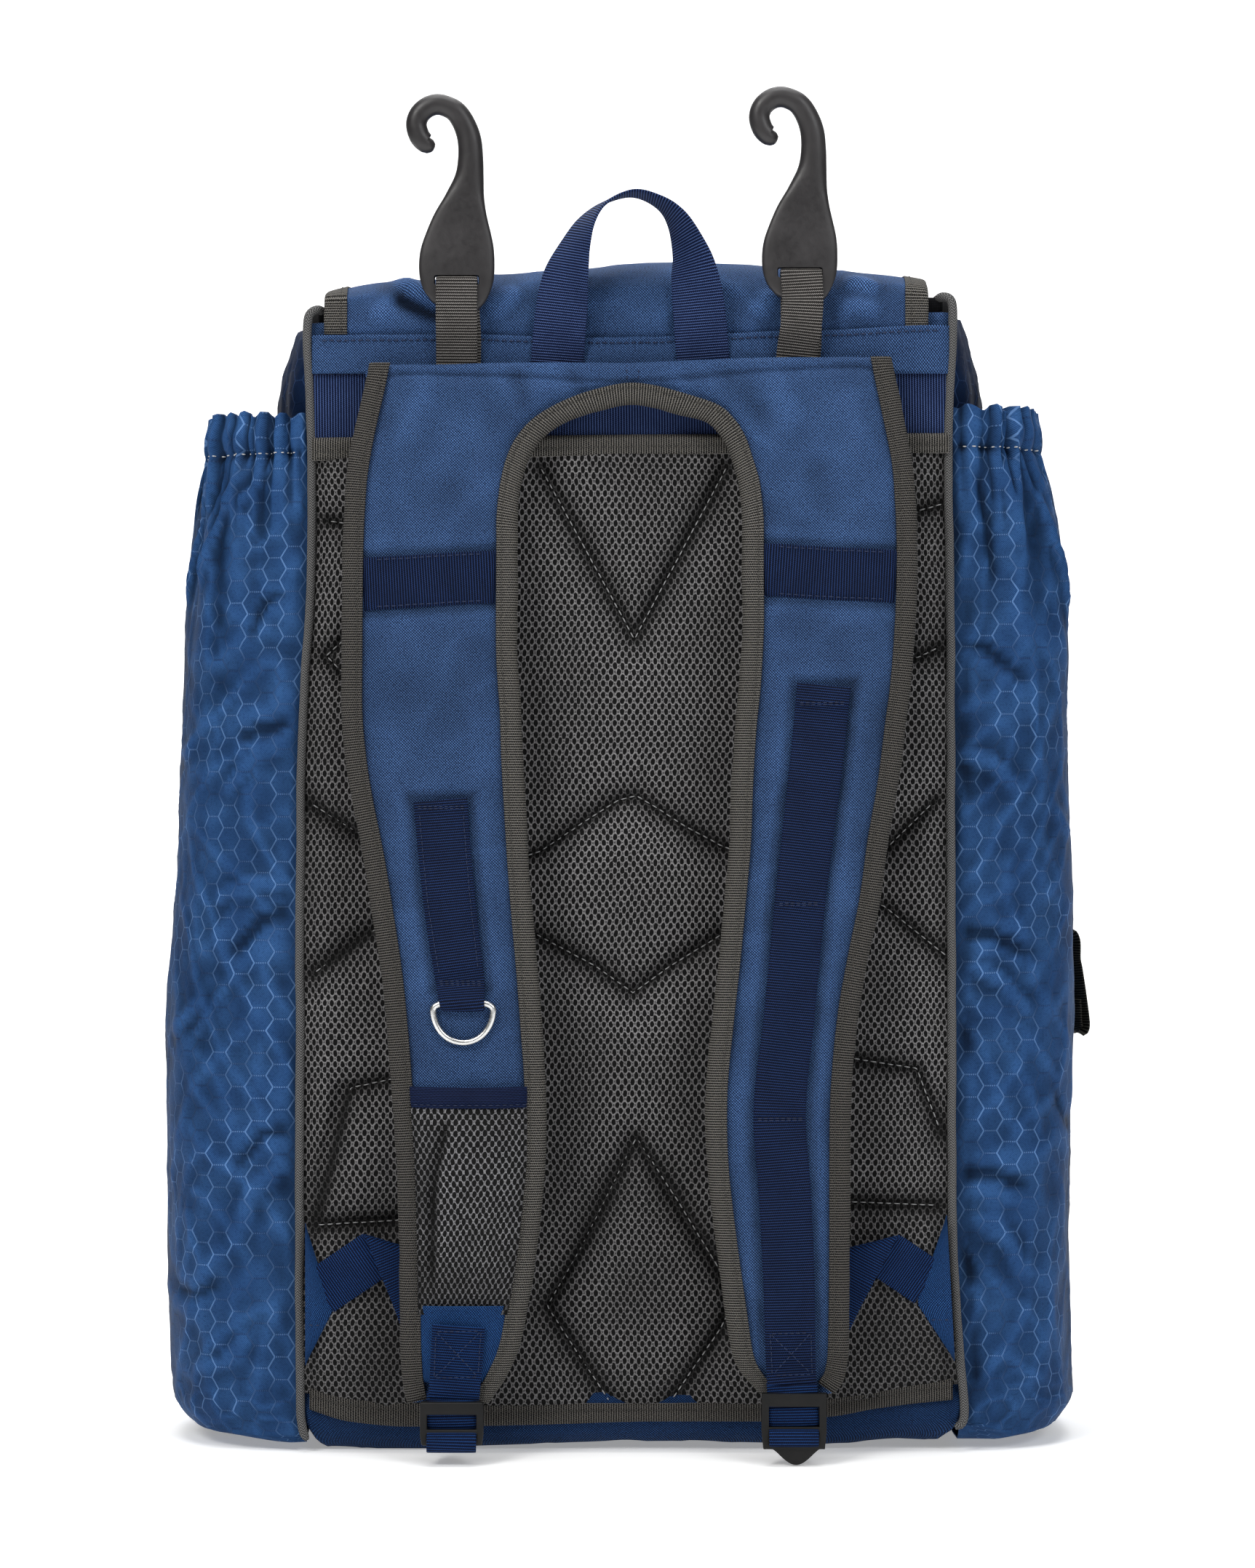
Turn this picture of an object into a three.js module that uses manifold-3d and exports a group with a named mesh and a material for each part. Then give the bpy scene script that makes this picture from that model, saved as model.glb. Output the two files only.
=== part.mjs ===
// Baseball bat backpack, seen from its harness side.
// Millimetres, +Z up, the harness side faces -Y, the plain front faces +Y.
// The origin is the middle of the flat bottom that the bag stands on.
import * as THREE from 'three';
import Module from 'manifold-3d';

const wasm = await Module();
wasm.setup();

// ---------------------------------------------------------------- driving dimensions
const GAP = 0.35;                 // clearance between touching pieces
const BODY_CENTRE_Y = 2;          // middle of the body's depth
const BODY_HALF_DEPTH = 92;       // half depth of the body
const BODY_WALL = 2.2;            // cloth wall of the body
const BODY_RIM = 522;             // height of the body's rim
const RIM_TILT = 0.017;           // the rim is a little higher on the right
const PANEL_Y = BODY_CENTRE_Y - BODY_HALF_DEPTH;      // outside of the back wall
const POCKET_WALL = 1.6;          // cloth wall of the side pockets
const FLAP_WALL = 2.4;
const PAD_THICK = 7.5;            // mesh back pad
const STRAP_THICK = 8;            // padded shoulder straps and yoke
const BIND_WIDTH = 9.8;           // grosgrain binding, width on each face
const BIND_WALL = 0.8;
const WEB_THICK = 1.4;            // webbing
const WEB_WIDE = 25;              // navy webbing
const WEB_NARROW = 20;            // grey hook webbing
const PIPING_R = 1.6;
const HOOK_SCALE = 1;

// ---------------------------------------------------------------- small tables
// body: height, half width at the back corners, half width at mid depth, inset of the whole ring
const BODY_LEVELS = [
  // z, back_half, side_half, inset
  [0, 146, 150, 9],
  [2.5, 147, 152, 4.5],
  [8, 148, 154, 1.5],
  [20, 149, 156, 0],
  [90, 150, 157, 0],
  [230, 150, 157, 0],
  [360, 149.5, 159, 0],
  [440, 149, 163, 0],
  [486, 148, 168, 0],
  [506, 147.5, 163, 0],
  [BODY_RIM, 147, 157, 0],
];
// body plan, from the middle of the back round to the middle of the front
const BODY_PLAN = [
  // share of back_half, share of the bulge, y share
  [0, 0, -1], [0.4, 0, -1], [0.8, 0, -1], [0.985, 0, -1], [1, 0.05, -0.965],
  [1, 0.4, -0.82], [1, 0.78, -0.55], [1, 1, -0.15], [1, 1, 0.3], [1, 0.8, 0.65],
  [0.98, 0.3, 0.88], [0.86, 0, 1], [0.5, 0, 1.03], [0, 0, 1.04],
];
// side pockets: height and how far the cloth stands out on the left and on the right
const POCKET_LEVELS = [
  // z, out_left, out_right, share of the bulge, ruffle
  [4.6, 200, 196, 0.0, 0],
  [4.2, 206, 202, 0.55, 0],
  [7.5, 211, 205, 0.93, 0],
  [20, 215.5, 209, 1, 0],
  [60, 218, 208.8, 1, 0.4],
  [130, 219, 209.5, 1, 0.8],
  [200, 219, 210.3, 1, 0.8],
  [268, 214, 209, 1, 0.8],
  [330, 212.8, 207, 1, 0.8],
  [400, 208.6, 205.4, 1, 1.0],
  [448, 202.5, 198, 1, 1.6],
  [464, 199.5, 193.8, 0.98, 2.2],
  [482, 197, 192, 0.98, 2.8],
];
const POCKET_PLAN = [
  // share of the stand-out, y
  [0, -88.5], [0.3, -87], [0.62, -79], [0.84, -64], [0.96, -44], [1, -22], [1, 2],
  [0.96, 24], [0.84, 43], [0.62, 57], [0.3, 67], [0, 72],
];
// flap, centre line from the seam on the back over the top and down the front
const FLAP_PROFILE = [
  // y, z, share of the side drop
  [-93.2, 509, 0], [-93.6, 526, 0], [-91.6, 537, 0.45], [-81, 544.5, 0.85], [-60, 548, 1],
  [-20, 550, 1], [30, 549.5, 1], [70, 546, 0.95], [91, 540, 0.75], [102.5, 527, 0.35],
  [105.5, 500, 0.1], [106, 430, 0], [105.5, 360, 0], [104.5, 318, 0],
];
const FLAP_ACROSS = [
  // x, drop of the top at this x
  [-139.5, 13], [-122, 9.5], [-90, 6.5], [-45, 3], [0, 0], [45, -1.5], [90, 1], [118, 4], [136, 7],
];
// face of the shoulder straps, left: outer edge, inner edge, face
const STRAP_LEFT = [
  // outer_x, outer_z, inner_x, inner_z, face_y
  [1.0, 501.1, 1.0, 480.5, -109.1], [-21.9, 501.1, -14.6, 477.5, -109.2],
  [-55.1, 500.8, -28.5, 472.6, -109.3], [-84.9, 499.8, -37.8, 466.9, -109.4],
  [-118.8, 498.4, -44.1, 459.2, -109.9], [-121.3, 488.9, -47.7, 450.8, -111.7],
  [-125.1, 472.2, -49.7, 441.7, -114.1], [-128.6, 452.1, -50.6, 432.3, -116.7],
  [-130.0, 436, -50.9, 425.5, -118.3],
  [-130.7, 418.9, -50.8, 418.9, -119.9], [-130.9, 399.0, -50.8, 399.0, -122.6],
  [-131.0, 365.9, -50.7, 365.9, -124.9], [-130.9, 339.6, -49.0, 339.6, -126.4],
  [-129.2, 319.8, -48.4, 319.8, -127.2], [-126.2, 300.1, -47.3, 300.1, -128.0],
  [-120.9, 273.8, -45.7, 273.8, -128.5], [-116.6, 247.5, -43.7, 247.5, -129.1],
  [-112.7, 221.3, -41.4, 221.3, -129.6], [-110.0, 195.0, -39.4, 195.0, -130.0],
  [-108.0, 168.8, -37.8, 168.8, -130.0], [-105.8, 135.9, -38.1, 135.9, -129.7],
  [-104.8, 103.0, -41.1, 103.0, -129.0], [-104.5, 76.6, -45.1, 76.6, -127.8],
  [-104.3, 53.4, -49.4, 53.4, -126.6], [-103.0, 36.9, -54.3, 36.9, -125.8],
  [-100.1, 31.6, -59.3, 31.6, -125.4], [-96.0, 29.4, -63.5, 29.4, -125.2],
];
const STRAP_RIGHT = [
  // outer_x, outer_z, inner_x, inner_z, face_y
  [1.0, 501.1, 1.0, 480.5, -109.1], [24.5, 502.1, 17.9, 477.5, -109.1],
  [57.7, 503.1, 32.8, 472.6, -109.2], [84.3, 503.1, 39.5, 466.9, -109.3],
  [117.8, 502.1, 44.4, 459.9, -109.5], [121.3, 492.3, 47.7, 451.8, -111.2],
  [124.8, 475.5, 49.6, 443.1, -113.7], [128.6, 455.4, 50.6, 432.3, -116.4],
  [130.0, 438, 50.9, 425.5, -118.2],
  [130.7, 418.9, 50.8, 418.9, -119.9], [130.5, 399.0, 50.7, 399.0, -122.6],
  [129.7, 379.1, 50.7, 379.1, -124.0], [127.6, 352.7, 49.3, 352.7, -125.8],
  [125.0, 333.0, 47.3, 333.0, -126.7], [121.6, 306.7, 45.7, 306.7, -127.7],
  [117.0, 280.4, 44.7, 280.4, -128.4], [113.3, 254.1, 42.4, 254.1, -128.9],
  [108.0, 227.9, 40.0, 227.9, -129.5], [103.4, 201.6, 37.1, 201.6, -130.0],
  [100.4, 168.8, 34.1, 168.8, -130.0], [99.8, 135.9, 34.5, 135.9, -129.7],
  [99.8, 103.0, 38.1, 103.0, -129.0], [99.6, 70.0, 42.7, 70.0, -127.5],
  [99.0, 50.1, 45.7, 50.1, -126.5], [97.0, 39.9, 50.7, 39.9, -125.8],
  [92.5, 35.6, 56.3, 35.6, -125.4], [88.5, 33.6, 60.3, 33.6, -125.2],
];
// fence hooks: centre line from the tip round the curl and down the blade
const HOOK_LINE = [
  // x, z above the foot, half width, half thickness
  [-10.3, 77.0, 1.2, 1.2], [-12.0, 76.3, 3.6, 3.2], [-14.0, 76.4, 4.5, 3.9], [-17.0, 79.6, 4.8, 4.2],
  [-18.5, 85.0, 4.8, 4.2], [-17.0, 89.7, 4.8, 4.2], [-13.3, 93.0, 4.8, 4.2], [-9.0, 94.2, 4.8, 4.2],
  [-4.7, 93.3, 4.8, 4.2], [-0.3, 90.7, 5.0, 4.2], [3.3, 85.3, 5.2, 4.2], [5.7, 78.2, 5.5, 4.1],
  [6.3, 69.7, 5.8, 4.0], [5.7, 60.7, 6.7, 3.8], [3.7, 50.7, 9.3, 3.5], [1.8, 40.3, 13.2, 3.2],
  [0.7, 30.0, 16.3, 3.0], [0.0, 22.0, 17.3, 3.0], [0.0, 13.7, 16.8, 3.0], [-0.3, 6.7, 14.3, 3.0],
  [-0.9, 2.2, 10.8, 2.9], [-1.3, 0.4, 8.6, 2.2],
];
const HOOKS = [
  // side, x, y, z of the foot
  ['left', -79.2, -103.6, 524.0],
  ['right', 77.6, -103.6, 527.5],
];
const HOOK_SLOT = { width: 21.6, height: 4.4, z: 13.5 };
// haul handle: one webbing strip, twisted so that its flat lies level at the top
const HANDLE = [
  // x, z, y, twist in degrees (0 faces the harness side)
  [-34.4, 492, -97.2, 0], [-33.3, 503, -97.6, 0], [-31.4, 524, -101.5, 10], [-29.3, 540, -103.4, 30],
  [-25.5, 553, -103.2, 52], [-20.0, 565, -103.0, 68], [-11.5, 573.4, -103, 82], [1.5, 577.6, -103, 90],
  [13.8, 573.2, -103, 98], [21.6, 565, -103.0, 112], [27.0, 552, -103.2, 130], [29.5, 540, -103.4, 152],
  [31.6, 524, -101.5, 171], [33.4, 503, -97.6, 180], [34.5, 492, -97.2, 180],
];
// webbing sewn on the straps: height, left edge, right edge
const D_RING_BAR = 208.3, D_RING_X = -75.2;
const D_RING_WEB = [[300.1, -97.7, -73.4], [280.5, -96, -72.1], [254.3, -93.4, -69.8], [234.6, -90.4, -67.5], [216, -87.2, -65.4], [206, -85.2, -65.6]];
const LONG_WEB = [
  // z, left edge, right edge
  [352, 75.4, 99.7], [319.8, 72.4, 96.4], [280.5, 68.1, 91.4], [253.9, 65.2, 88.1], [201.9, 60.2, 83.1],
  [157, 55.6, 79.2], [123.3, 57.9, 81.5], [83.8, 60, 83.2], [44, 61.4, 83.9],
];
const BOX_WEB_LEFT = [[62.7, -89.2, -65.3], [32.5, -90.8, -67.8]];
// lower webbing from the corner tab, behind the strap, round the foot of the ladder lock
const LOWER_WEB = [
  // x, y, z, width direction x, y, z
  [-141.5, -103.4, 78.5, 0.55, 0, -0.83], [-129, -104.6, 87, 0.35, 0, -0.94], [-119, -105.6, 89.5, 0.1, 0, -1],
  [-111, -106.4, 84, -0.45, 0, -0.89], [-103, -107.4, 72, -0.75, 0, -0.66], [-93, -109.2, 54, -0.9, 0, -0.43],
  [-84.5, -111.5, 34, -0.98, 0, -0.15], [-81.2, -114.6, 17, -1, 0, 0], [-81, -119.4, 6.6, -1, 0, 0],
  [-81, -123.2, 4.6, -1, 0, 0], [-81, -126.0, 6.2, -1, 0, 0], [-81, -127.0, 11, -1, 0, 0], [-81, -127.3, 21.5, -1, 0, 0],
];

// ---------------------------------------------------------------- helpers
const V = (x, y, z) => new THREE.Vector3(x, y, z);
const lerp = (a, b, t) => a + (b - a) * t;
const DEG = Math.PI / 180;

// value of a table's column at a key in its first column
function look(table, key, column) {
  const up = table[0][0] < table[table.length - 1][0];
  const rows = up ? table : [...table].reverse();
  if (key <= rows[0][0]) return rows[0][column];
  for (let i = 1; i < rows.length; i += 1) {
    if (key <= rows[i][0]) {
      return lerp(rows[i - 1][column], rows[i][column], (key - rows[i - 1][0]) / (rows[i][0] - rows[i - 1][0]));
    }
  }
  return rows[rows.length - 1][column];
}

// smooth rows between the rows of a table
function smooth(rows, steps) {
  const out = [];
  for (let i = 0; i < rows.length - 1; i += 1) {
    for (let s = 0; s < steps; s += 1) {
      const t = s / steps;
      out.push(rows[i].map((_, c) => {
        const p0 = rows[Math.max(i - 1, 0)][c], p1 = rows[i][c], p2 = rows[i + 1][c], p3 = rows[Math.min(i + 2, rows.length - 1)][c];
        return 0.5 * (2 * p1 + (p2 - p0) * t + (2 * p0 - 5 * p1 + 4 * p2 - p3) * t * t + (3 * p1 - p0 - 3 * p2 + p3) * t * t * t);
      }));
    }
  }
  out.push(rows[rows.length - 1].slice());
  return out;
}

function geometryOf(points, faces) {
  let volume = 0;
  for (const [a, b, c] of faces) volume += points[a].dot(V().crossVectors(points[b], points[c])) / 6;
  const g = new THREE.BufferGeometry();
  g.setAttribute('position', new THREE.Float32BufferAttribute(points.flatMap((p) => [p.x, p.y, p.z]), 3));
  g.setIndex(faces.flatMap(([a, b, c]) => (volume >= 0 ? [a, b, c] : [a, c, b])));
  return g;
}

// triangles of one end ring, turned the same way as the ring
function capFaces(ring) {
  const n = V(0, 0, 0);
  ring.forEach((p, i) => n.add(V().crossVectors(p, ring[(i + 1) % ring.length])));
  n.normalize();
  const u = Math.abs(n.z) < 0.9 ? V(0, 0, 1).cross(n).normalize() : V(1, 0, 0).cross(n).normalize();
  const w = V().crossVectors(n, u);
  const flat = ring.map((p) => new THREE.Vector2(p.dot(u), p.dot(w)));
  return THREE.ShapeUtils.triangulateShape(flat, []).map(([a, b, c]) => {
    const area = (flat[b].x - flat[a].x) * (flat[c].y - flat[a].y) - (flat[c].x - flat[a].x) * (flat[b].y - flat[a].y);
    return area > 0 ? [a, b, c] : [a, c, b];
  });
}

// a solid through a row of rings; closed = the last ring joins the first
function loft(rings, closed = false) {
  const n = rings[0].length;
  const points = rings.flat();
  const faces = [];
  const count = closed ? rings.length : rings.length - 1;
  for (let r = 0; r < count; r += 1) {
    const next = (r + 1) % rings.length;
    for (let i = 0; i < n; i += 1) {
      const a = r * n + i, b = r * n + ((i + 1) % n), c = next * n + ((i + 1) % n), d = next * n + i;
      faces.push([a, b, c], [a, c, d]);
    }
  }
  if (!closed) {
    capFaces(rings[0]).forEach(([a, b, c]) => faces.push([a, c, b]));
    const last = (rings.length - 1) * n;
    capFaces(rings[rings.length - 1]).forEach(([a, b, c]) => faces.push([last + a, last + b, last + c]));
  }
  return geometryOf(points, faces);
}

// a sheet between two grids of the same size: a front skin and a back skin with a hem all round
function sheet(front, back) {
  const rows = front.length, cols = front[0].length, half = rows * cols;
  const points = [...front.flat(), ...back.flat()];
  const at = (r, c, side) => side * half + r * cols + c;
  const faces = [];
  for (let r = 0; r < rows - 1; r += 1) {
    for (let c = 0; c < cols - 1; c += 1) {
      faces.push([at(r, c, 0), at(r, c + 1, 0), at(r + 1, c + 1, 0)], [at(r, c, 0), at(r + 1, c + 1, 0), at(r + 1, c, 0)]);
      faces.push([at(r, c, 1), at(r + 1, c + 1, 1), at(r, c + 1, 1)], [at(r, c, 1), at(r + 1, c, 1), at(r + 1, c + 1, 1)]);
    }
  }
  const hem = (a, b, c, d) => faces.push([a, c, b], [b, c, d]);
  for (let c = 0; c < cols - 1; c += 1) {
    hem(at(0, c, 0), at(0, c + 1, 0), at(0, c, 1), at(0, c + 1, 1));
    hem(at(rows - 1, c + 1, 0), at(rows - 1, c, 0), at(rows - 1, c + 1, 1), at(rows - 1, c, 1));
  }
  for (let r = 0; r < rows - 1; r += 1) {
    hem(at(r + 1, 0, 0), at(r, 0, 0), at(r + 1, 0, 1), at(r, 0, 1));
    hem(at(r, cols - 1, 0), at(r + 1, cols - 1, 0), at(r, cols - 1, 1), at(r + 1, cols - 1, 1));
  }
  return geometryOf(points, faces);
}

// a flat strip along a path; each row is centre and width direction
function strip(rows, width, thick) {
  const centres = rows.map((r) => V(r[0], r[1], r[2]));
  return loft(rows.map((r, i) => {
    const t = V().subVectors(centres[Math.min(i + 1, rows.length - 1)], centres[Math.max(i - 1, 0)]).normalize();
    const w = V(r[3], r[4], r[5]);
    w.addScaledVector(t, -w.dot(t)).normalize();
    const n = V().crossVectors(t, w).normalize();
    return [[-1, -1], [1, -1], [1, 1], [-1, 1]].map(([a, b]) => centres[i].clone().addScaledVector(w, a * width / 2).addScaledVector(n, b * thick / 2));
  }));
}

// binding folded over an edge: each row is the edge's point, the way in and the face's normal
function binding(rows, half, width = BIND_WIDTH) {
  const out = half + GAP + BIND_WALL, gap = half + GAP, end = -GAP - BIND_WALL;
  const section = [[end, out], [width, out], [width, gap], [-GAP, gap], [-GAP, -gap], [width, -gap], [width, -out], [end, -out]];
  return loft(rows.map(([edge, inward, normal]) => section.map(([u, w]) => edge.clone().addScaledVector(inward, u).addScaledVector(normal, w))));
}

function box(width, depth, height, x, y, z) {
  const g = new THREE.BoxGeometry(width, depth, height);
  g.translate(x, y, z);
  return g;
}

// booleans on closed meshes
function toSolid(g) {
  const p = g.getAttribute('position');
  const keys = new Map(), verts = [], tris = [];
  const index = g.index ? [...g.index.array] : [...Array(p.count).keys()];
  for (const i of index) {
    const key = [p.getX(i), p.getY(i), p.getZ(i)].map((v) => Math.round(v * 1e4)).join();
    if (!keys.has(key)) { keys.set(key, verts.length / 3); verts.push(p.getX(i), p.getY(i), p.getZ(i)); }
    tris.push(keys.get(key));
  }
  return new wasm.Manifold(new wasm.Mesh({ numProp: 3, vertProperties: new Float32Array(verts), triVerts: new Uint32Array(tris) }));
}
function fromSolid(m) {
  const mesh = m.getMesh();
  const g = new THREE.BufferGeometry();
  g.setAttribute('position', new THREE.BufferAttribute(new Float32Array(mesh.vertProperties), 3));
  g.setIndex([...mesh.triVerts]);
  return g;
}
const cut = (g, ...tools) => fromSolid(tools.reduce((m, t) => m.subtract(toSolid(t)), toSolid(g)));
const join = (g, ...more) => fromSolid(more.reduce((m, t) => m.add(toSolid(t)), toSolid(g)));

// ---------------------------------------------------------------- materials and the assembly
const pack = new THREE.Group();
const cloth = (colour, roughness = 0.85) => ({ color: colour, roughness, metalness: 0 });
const NAVY = 0x304c7c, RIPSTOP = 0x233c6e, WEBBING = 0x192a5a, BINDING = 0x4e4a44, MESH = 0x4b4b4b, GREY = 0x5f5c5a, BLACK = 0x161616;
function add(name, geometry, colour, roughness = 0.85, metalness = 0) {
  const mesh = new THREE.Mesh(geometry, new THREE.MeshStandardMaterial({ ...cloth(colour, roughness), metalness }));
  mesh.name = name;
  pack.add(mesh);
  return mesh;
}

// ---------------------------------------------------------------- body, a hollow tub with an open top
function bodyRing(z, inset, extraZ = 0) {
  const back = look(BODY_LEVELS, z, 1), side = look(BODY_LEVELS, z, 2), pull = look(BODY_LEVELS, z, 3) + inset;
  const half = BODY_PLAN.map(([s, k, yn]) => {
    const x = back * s + (side - back) * k, y = BODY_HALF_DEPTH * yn;
    const long = Math.hypot(x / (back - 20), y / (BODY_HALF_DEPTH - 20)) || 1;
    const px = Math.max(0, x - pull * Math.min(1, (s > 0.9 ? 1 : s))), py = y - Math.sign(yn) * pull * (Math.abs(yn) > 0.9 ? 1 : Math.abs(yn)) * (long > 0 ? 1 : 1);
    return [px, BODY_CENTRE_Y + py];
  });
  const right = half, left = half.slice(1, -1).reverse().map(([x, y]) => [-x, y]);
  return [...right, ...left].map(([x, y]) => V(x, y, z + extraZ + (z > 500 ? RIM_TILT * x * (z - 500) / (BODY_RIM - 500) : 0)));
}
const bodyX = (y, z) => {
  const back = look(BODY_LEVELS, z, 1), side = look(BODY_LEVELS, z, 2), pull = look(BODY_LEVELS, z, 3);
  const plan = BODY_PLAN.slice(3).map(([s, k, yn]) => [BODY_CENTRE_Y + BODY_HALF_DEPTH * yn, back * s + (side - back) * k]);
  return look(plan, y, 1) - pull * 0.9;
};
{
  const levels = BODY_LEVELS.map((r) => r[0]);
  const outer = levels.map((z) => bodyRing(z, 0));
  const inner = levels.slice(2).reverse().map((z) => bodyRing(z, BODY_WALL));
  inner.push(bodyRing(2.5, BODY_WALL + 1.5, 0.3));
  add('bag_body', loft([...outer, ...inner]), NAVY);
}

// ---------------------------------------------------------------- dark collar inside the rim
{
  const zs = [486, 506, BODY_RIM];
  const outer = zs.map((z) => bodyRing(z, BODY_WALL + GAP + 1.2));
  const lip = bodyRing(BODY_RIM, BODY_WALL + GAP + 2.6, 5);
  const inLip = bodyRing(BODY_RIM, BODY_WALL + GAP + 4.4, 5);
  const inner = [...zs].reverse().map((z) => bodyRing(z, BODY_WALL + GAP + 3.0));
  add('top_collar', loft([...outer, lip, inLip, ...inner], true), BLACK, 0.95);
}

// ---------------------------------------------------------------- flap over the top and down the front
function flapGrid(offset) {
  return FLAP_PROFILE.map(([y, z, share], i) => {
    const a = FLAP_PROFILE[Math.max(i - 1, 0)], b = FLAP_PROFILE[Math.min(i + 1, FLAP_PROFILE.length - 1)];
    const ty = b[0] - a[0], tz = b[1] - a[1], l = Math.hypot(ty, tz);
    const ny = -tz / l, nz = ty / l;
    return FLAP_ACROSS.map(([x, drop]) => V(x, y + ny * offset, z - drop * share + nz * offset));
  });
}
{
  const front = flapGrid(FLAP_WALL / 2), back = flapGrid(-FLAP_WALL / 2);
  add('top_flap', sheet(front, back), NAVY);
  for (const [side, c, inward] of [['left', 0, 1], ['right', FLAP_ACROSS.length - 1, -1]]) {
    const rows = front.map((row, i) => {
      const a = row[c], b = back[i][c];
      const drop = V().subVectors(row[c + inward], a).normalize();
      return [a.clone().lerp(b, 0.5), drop, V().subVectors(a, b).normalize()];
    });
    add(`flap_binding_${side}`, binding(rows, FLAP_WALL / 2 + 0.4, 9), BINDING);
  }
  const hem = front[front.length - 1].map((p, i) => {
    const b = back[back.length - 1][i];
    return [p.clone().lerp(b, 0.5), V(0, 0, 1), V().subVectors(p, b).normalize()];
  }).slice(1, -1);
  add('flap_binding_front', binding(hem, FLAP_WALL / 2, 9), BINDING);
}

// ---------------------------------------------------------------- webbing band, mesh pad and their bindings on the back
{
  const y = PANEL_Y - GAP - WEB_THICK / 2;
  add('top_webbing_band', box(292, WEB_THICK, 31, 0, y, 483), WEBBING);
  const padX = [-146, -120, -80, -40, 0, 40, 80, 120, 146];
  const padZ = [37, 60, 110, 180, 250, 320, 390, 440, 462];
  const bulge = (x, z) => PAD_THICK * Math.min(1, (147.5 - Math.abs(x)) / 14 + 0.35) * Math.min(1, (z - 35) / 22 + 0.45, (464 - z) / 22 + 0.45);
  const front = padZ.map((z) => padX.map((x) => V(x, PANEL_Y - GAP - bulge(x, z), z)));
  const back = padZ.map((z) => padX.map((x) => V(x, PANEL_Y - GAP, z)));
  add('back_pad', sheet(front, back), MESH, 0.95);
  add('back_binding_top', box(292, 3.6, 3.2, 0, PANEL_Y - GAP - 1.8, 464.2), BINDING);
  add('back_binding_bottom', box(292, 3.8, 9.5, 0, PANEL_Y - GAP - 1.9, 31.5), BINDING);
}

// ---------------------------------------------------------------- corded piping down both back corners
const PIPING = [
  // z, x on the left, x on the right
  [7, -149.2, 148.2], [40, -151.2, 151.4], [95, -151.6, 149.4], [200, -151.6, 148.6], [307, -151.2, 148],
  [385, -147.6, 147.4], [440, -146.6, 146.6], [485, -147.6, 147.8], [516, -148.4, 149.2], [526, -146.4, 150.4],
];
for (const [side, column] of [['left', 1], ['right', 2]]) {
  const sign = side === 'left' ? -1 : 1;
  const rows = PIPING.map((r) => [Math.abs(r[column]), r[0] + (side === 'right' && r[0] > 500 ? 4 : 0)]);
  add(`piping_${side}`, loft(rows.map(([x, z]) => {
    const ring = [];
    const cx = sign * (look(BODY_LEVELS, z, 1) + 2.0), cy = PANEL_Y - PIPING_R - 0.6;
    for (let i = 0; i < 8; i += 1) {
      ring.push(V(cx + PIPING_R * Math.cos(i * 45 * DEG), cy + PIPING_R * Math.sin(i * 45 * DEG), z));
    }
    return ring;
  })), GREY);
}

// ---------------------------------------------------------------- side pockets, hollow and open at the top
for (const [side, column, sign] of [['left', 1, -1], ['right', 2, 1]]) {
  const skin = (inset) => POCKET_LEVELS.map((row, r) => POCKET_PLAN.map(([k, y], c) => {
    const z = row[0], out = row[column], share = row[3];
    const zz = r === 0 && inset ? z + inset : r === 1 && inset ? z + inset : r === 2 && inset ? z + inset * 0.8 : z;
    const ends = c === 0 ? 1 : c === POCKET_PLAN.length - 1 ? -1 : 0;
    const foot = bodyX(y + ends * inset, Math.max(z, 4)) + (z < 8 ? 2.0 : 1.3);
    const ruffle = row[4] * Math.sin(c * 2.1 + 0.6) * Math.sin(Math.PI * c / (POCKET_PLAN.length - 1));
    const edge = Math.min(c, POCKET_PLAN.length - 1 - c);
    const along = edge === 0 ? 0 : k;
    let x = foot + (out - foot) * along * share + ruffle;
    let yy = y;
    if (inset && edge > 0 && share > 0) {
      const a = POCKET_PLAN[c - 1], b = POCKET_PLAN[c + 1];
      const dx = (b[0] - a[0]) * (out - foot), dy = b[1] - a[1], l = Math.hypot(dx, dy);
      x -= inset * dy / l * (share > 0.9 ? 1 : 0.2);
      yy += inset * dx / l * (share > 0.9 ? 1 : 0.2);
    } else if (inset && edge === 0 && share > 0.5) {
      yy += ends * inset;
    }
    return V(sign * x, yy, zz);
  }));
  add(`side_pocket_${side}`, sheet(skin(0), skin(POCKET_WALL)), RIPSTOP, 0.45);
}

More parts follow.
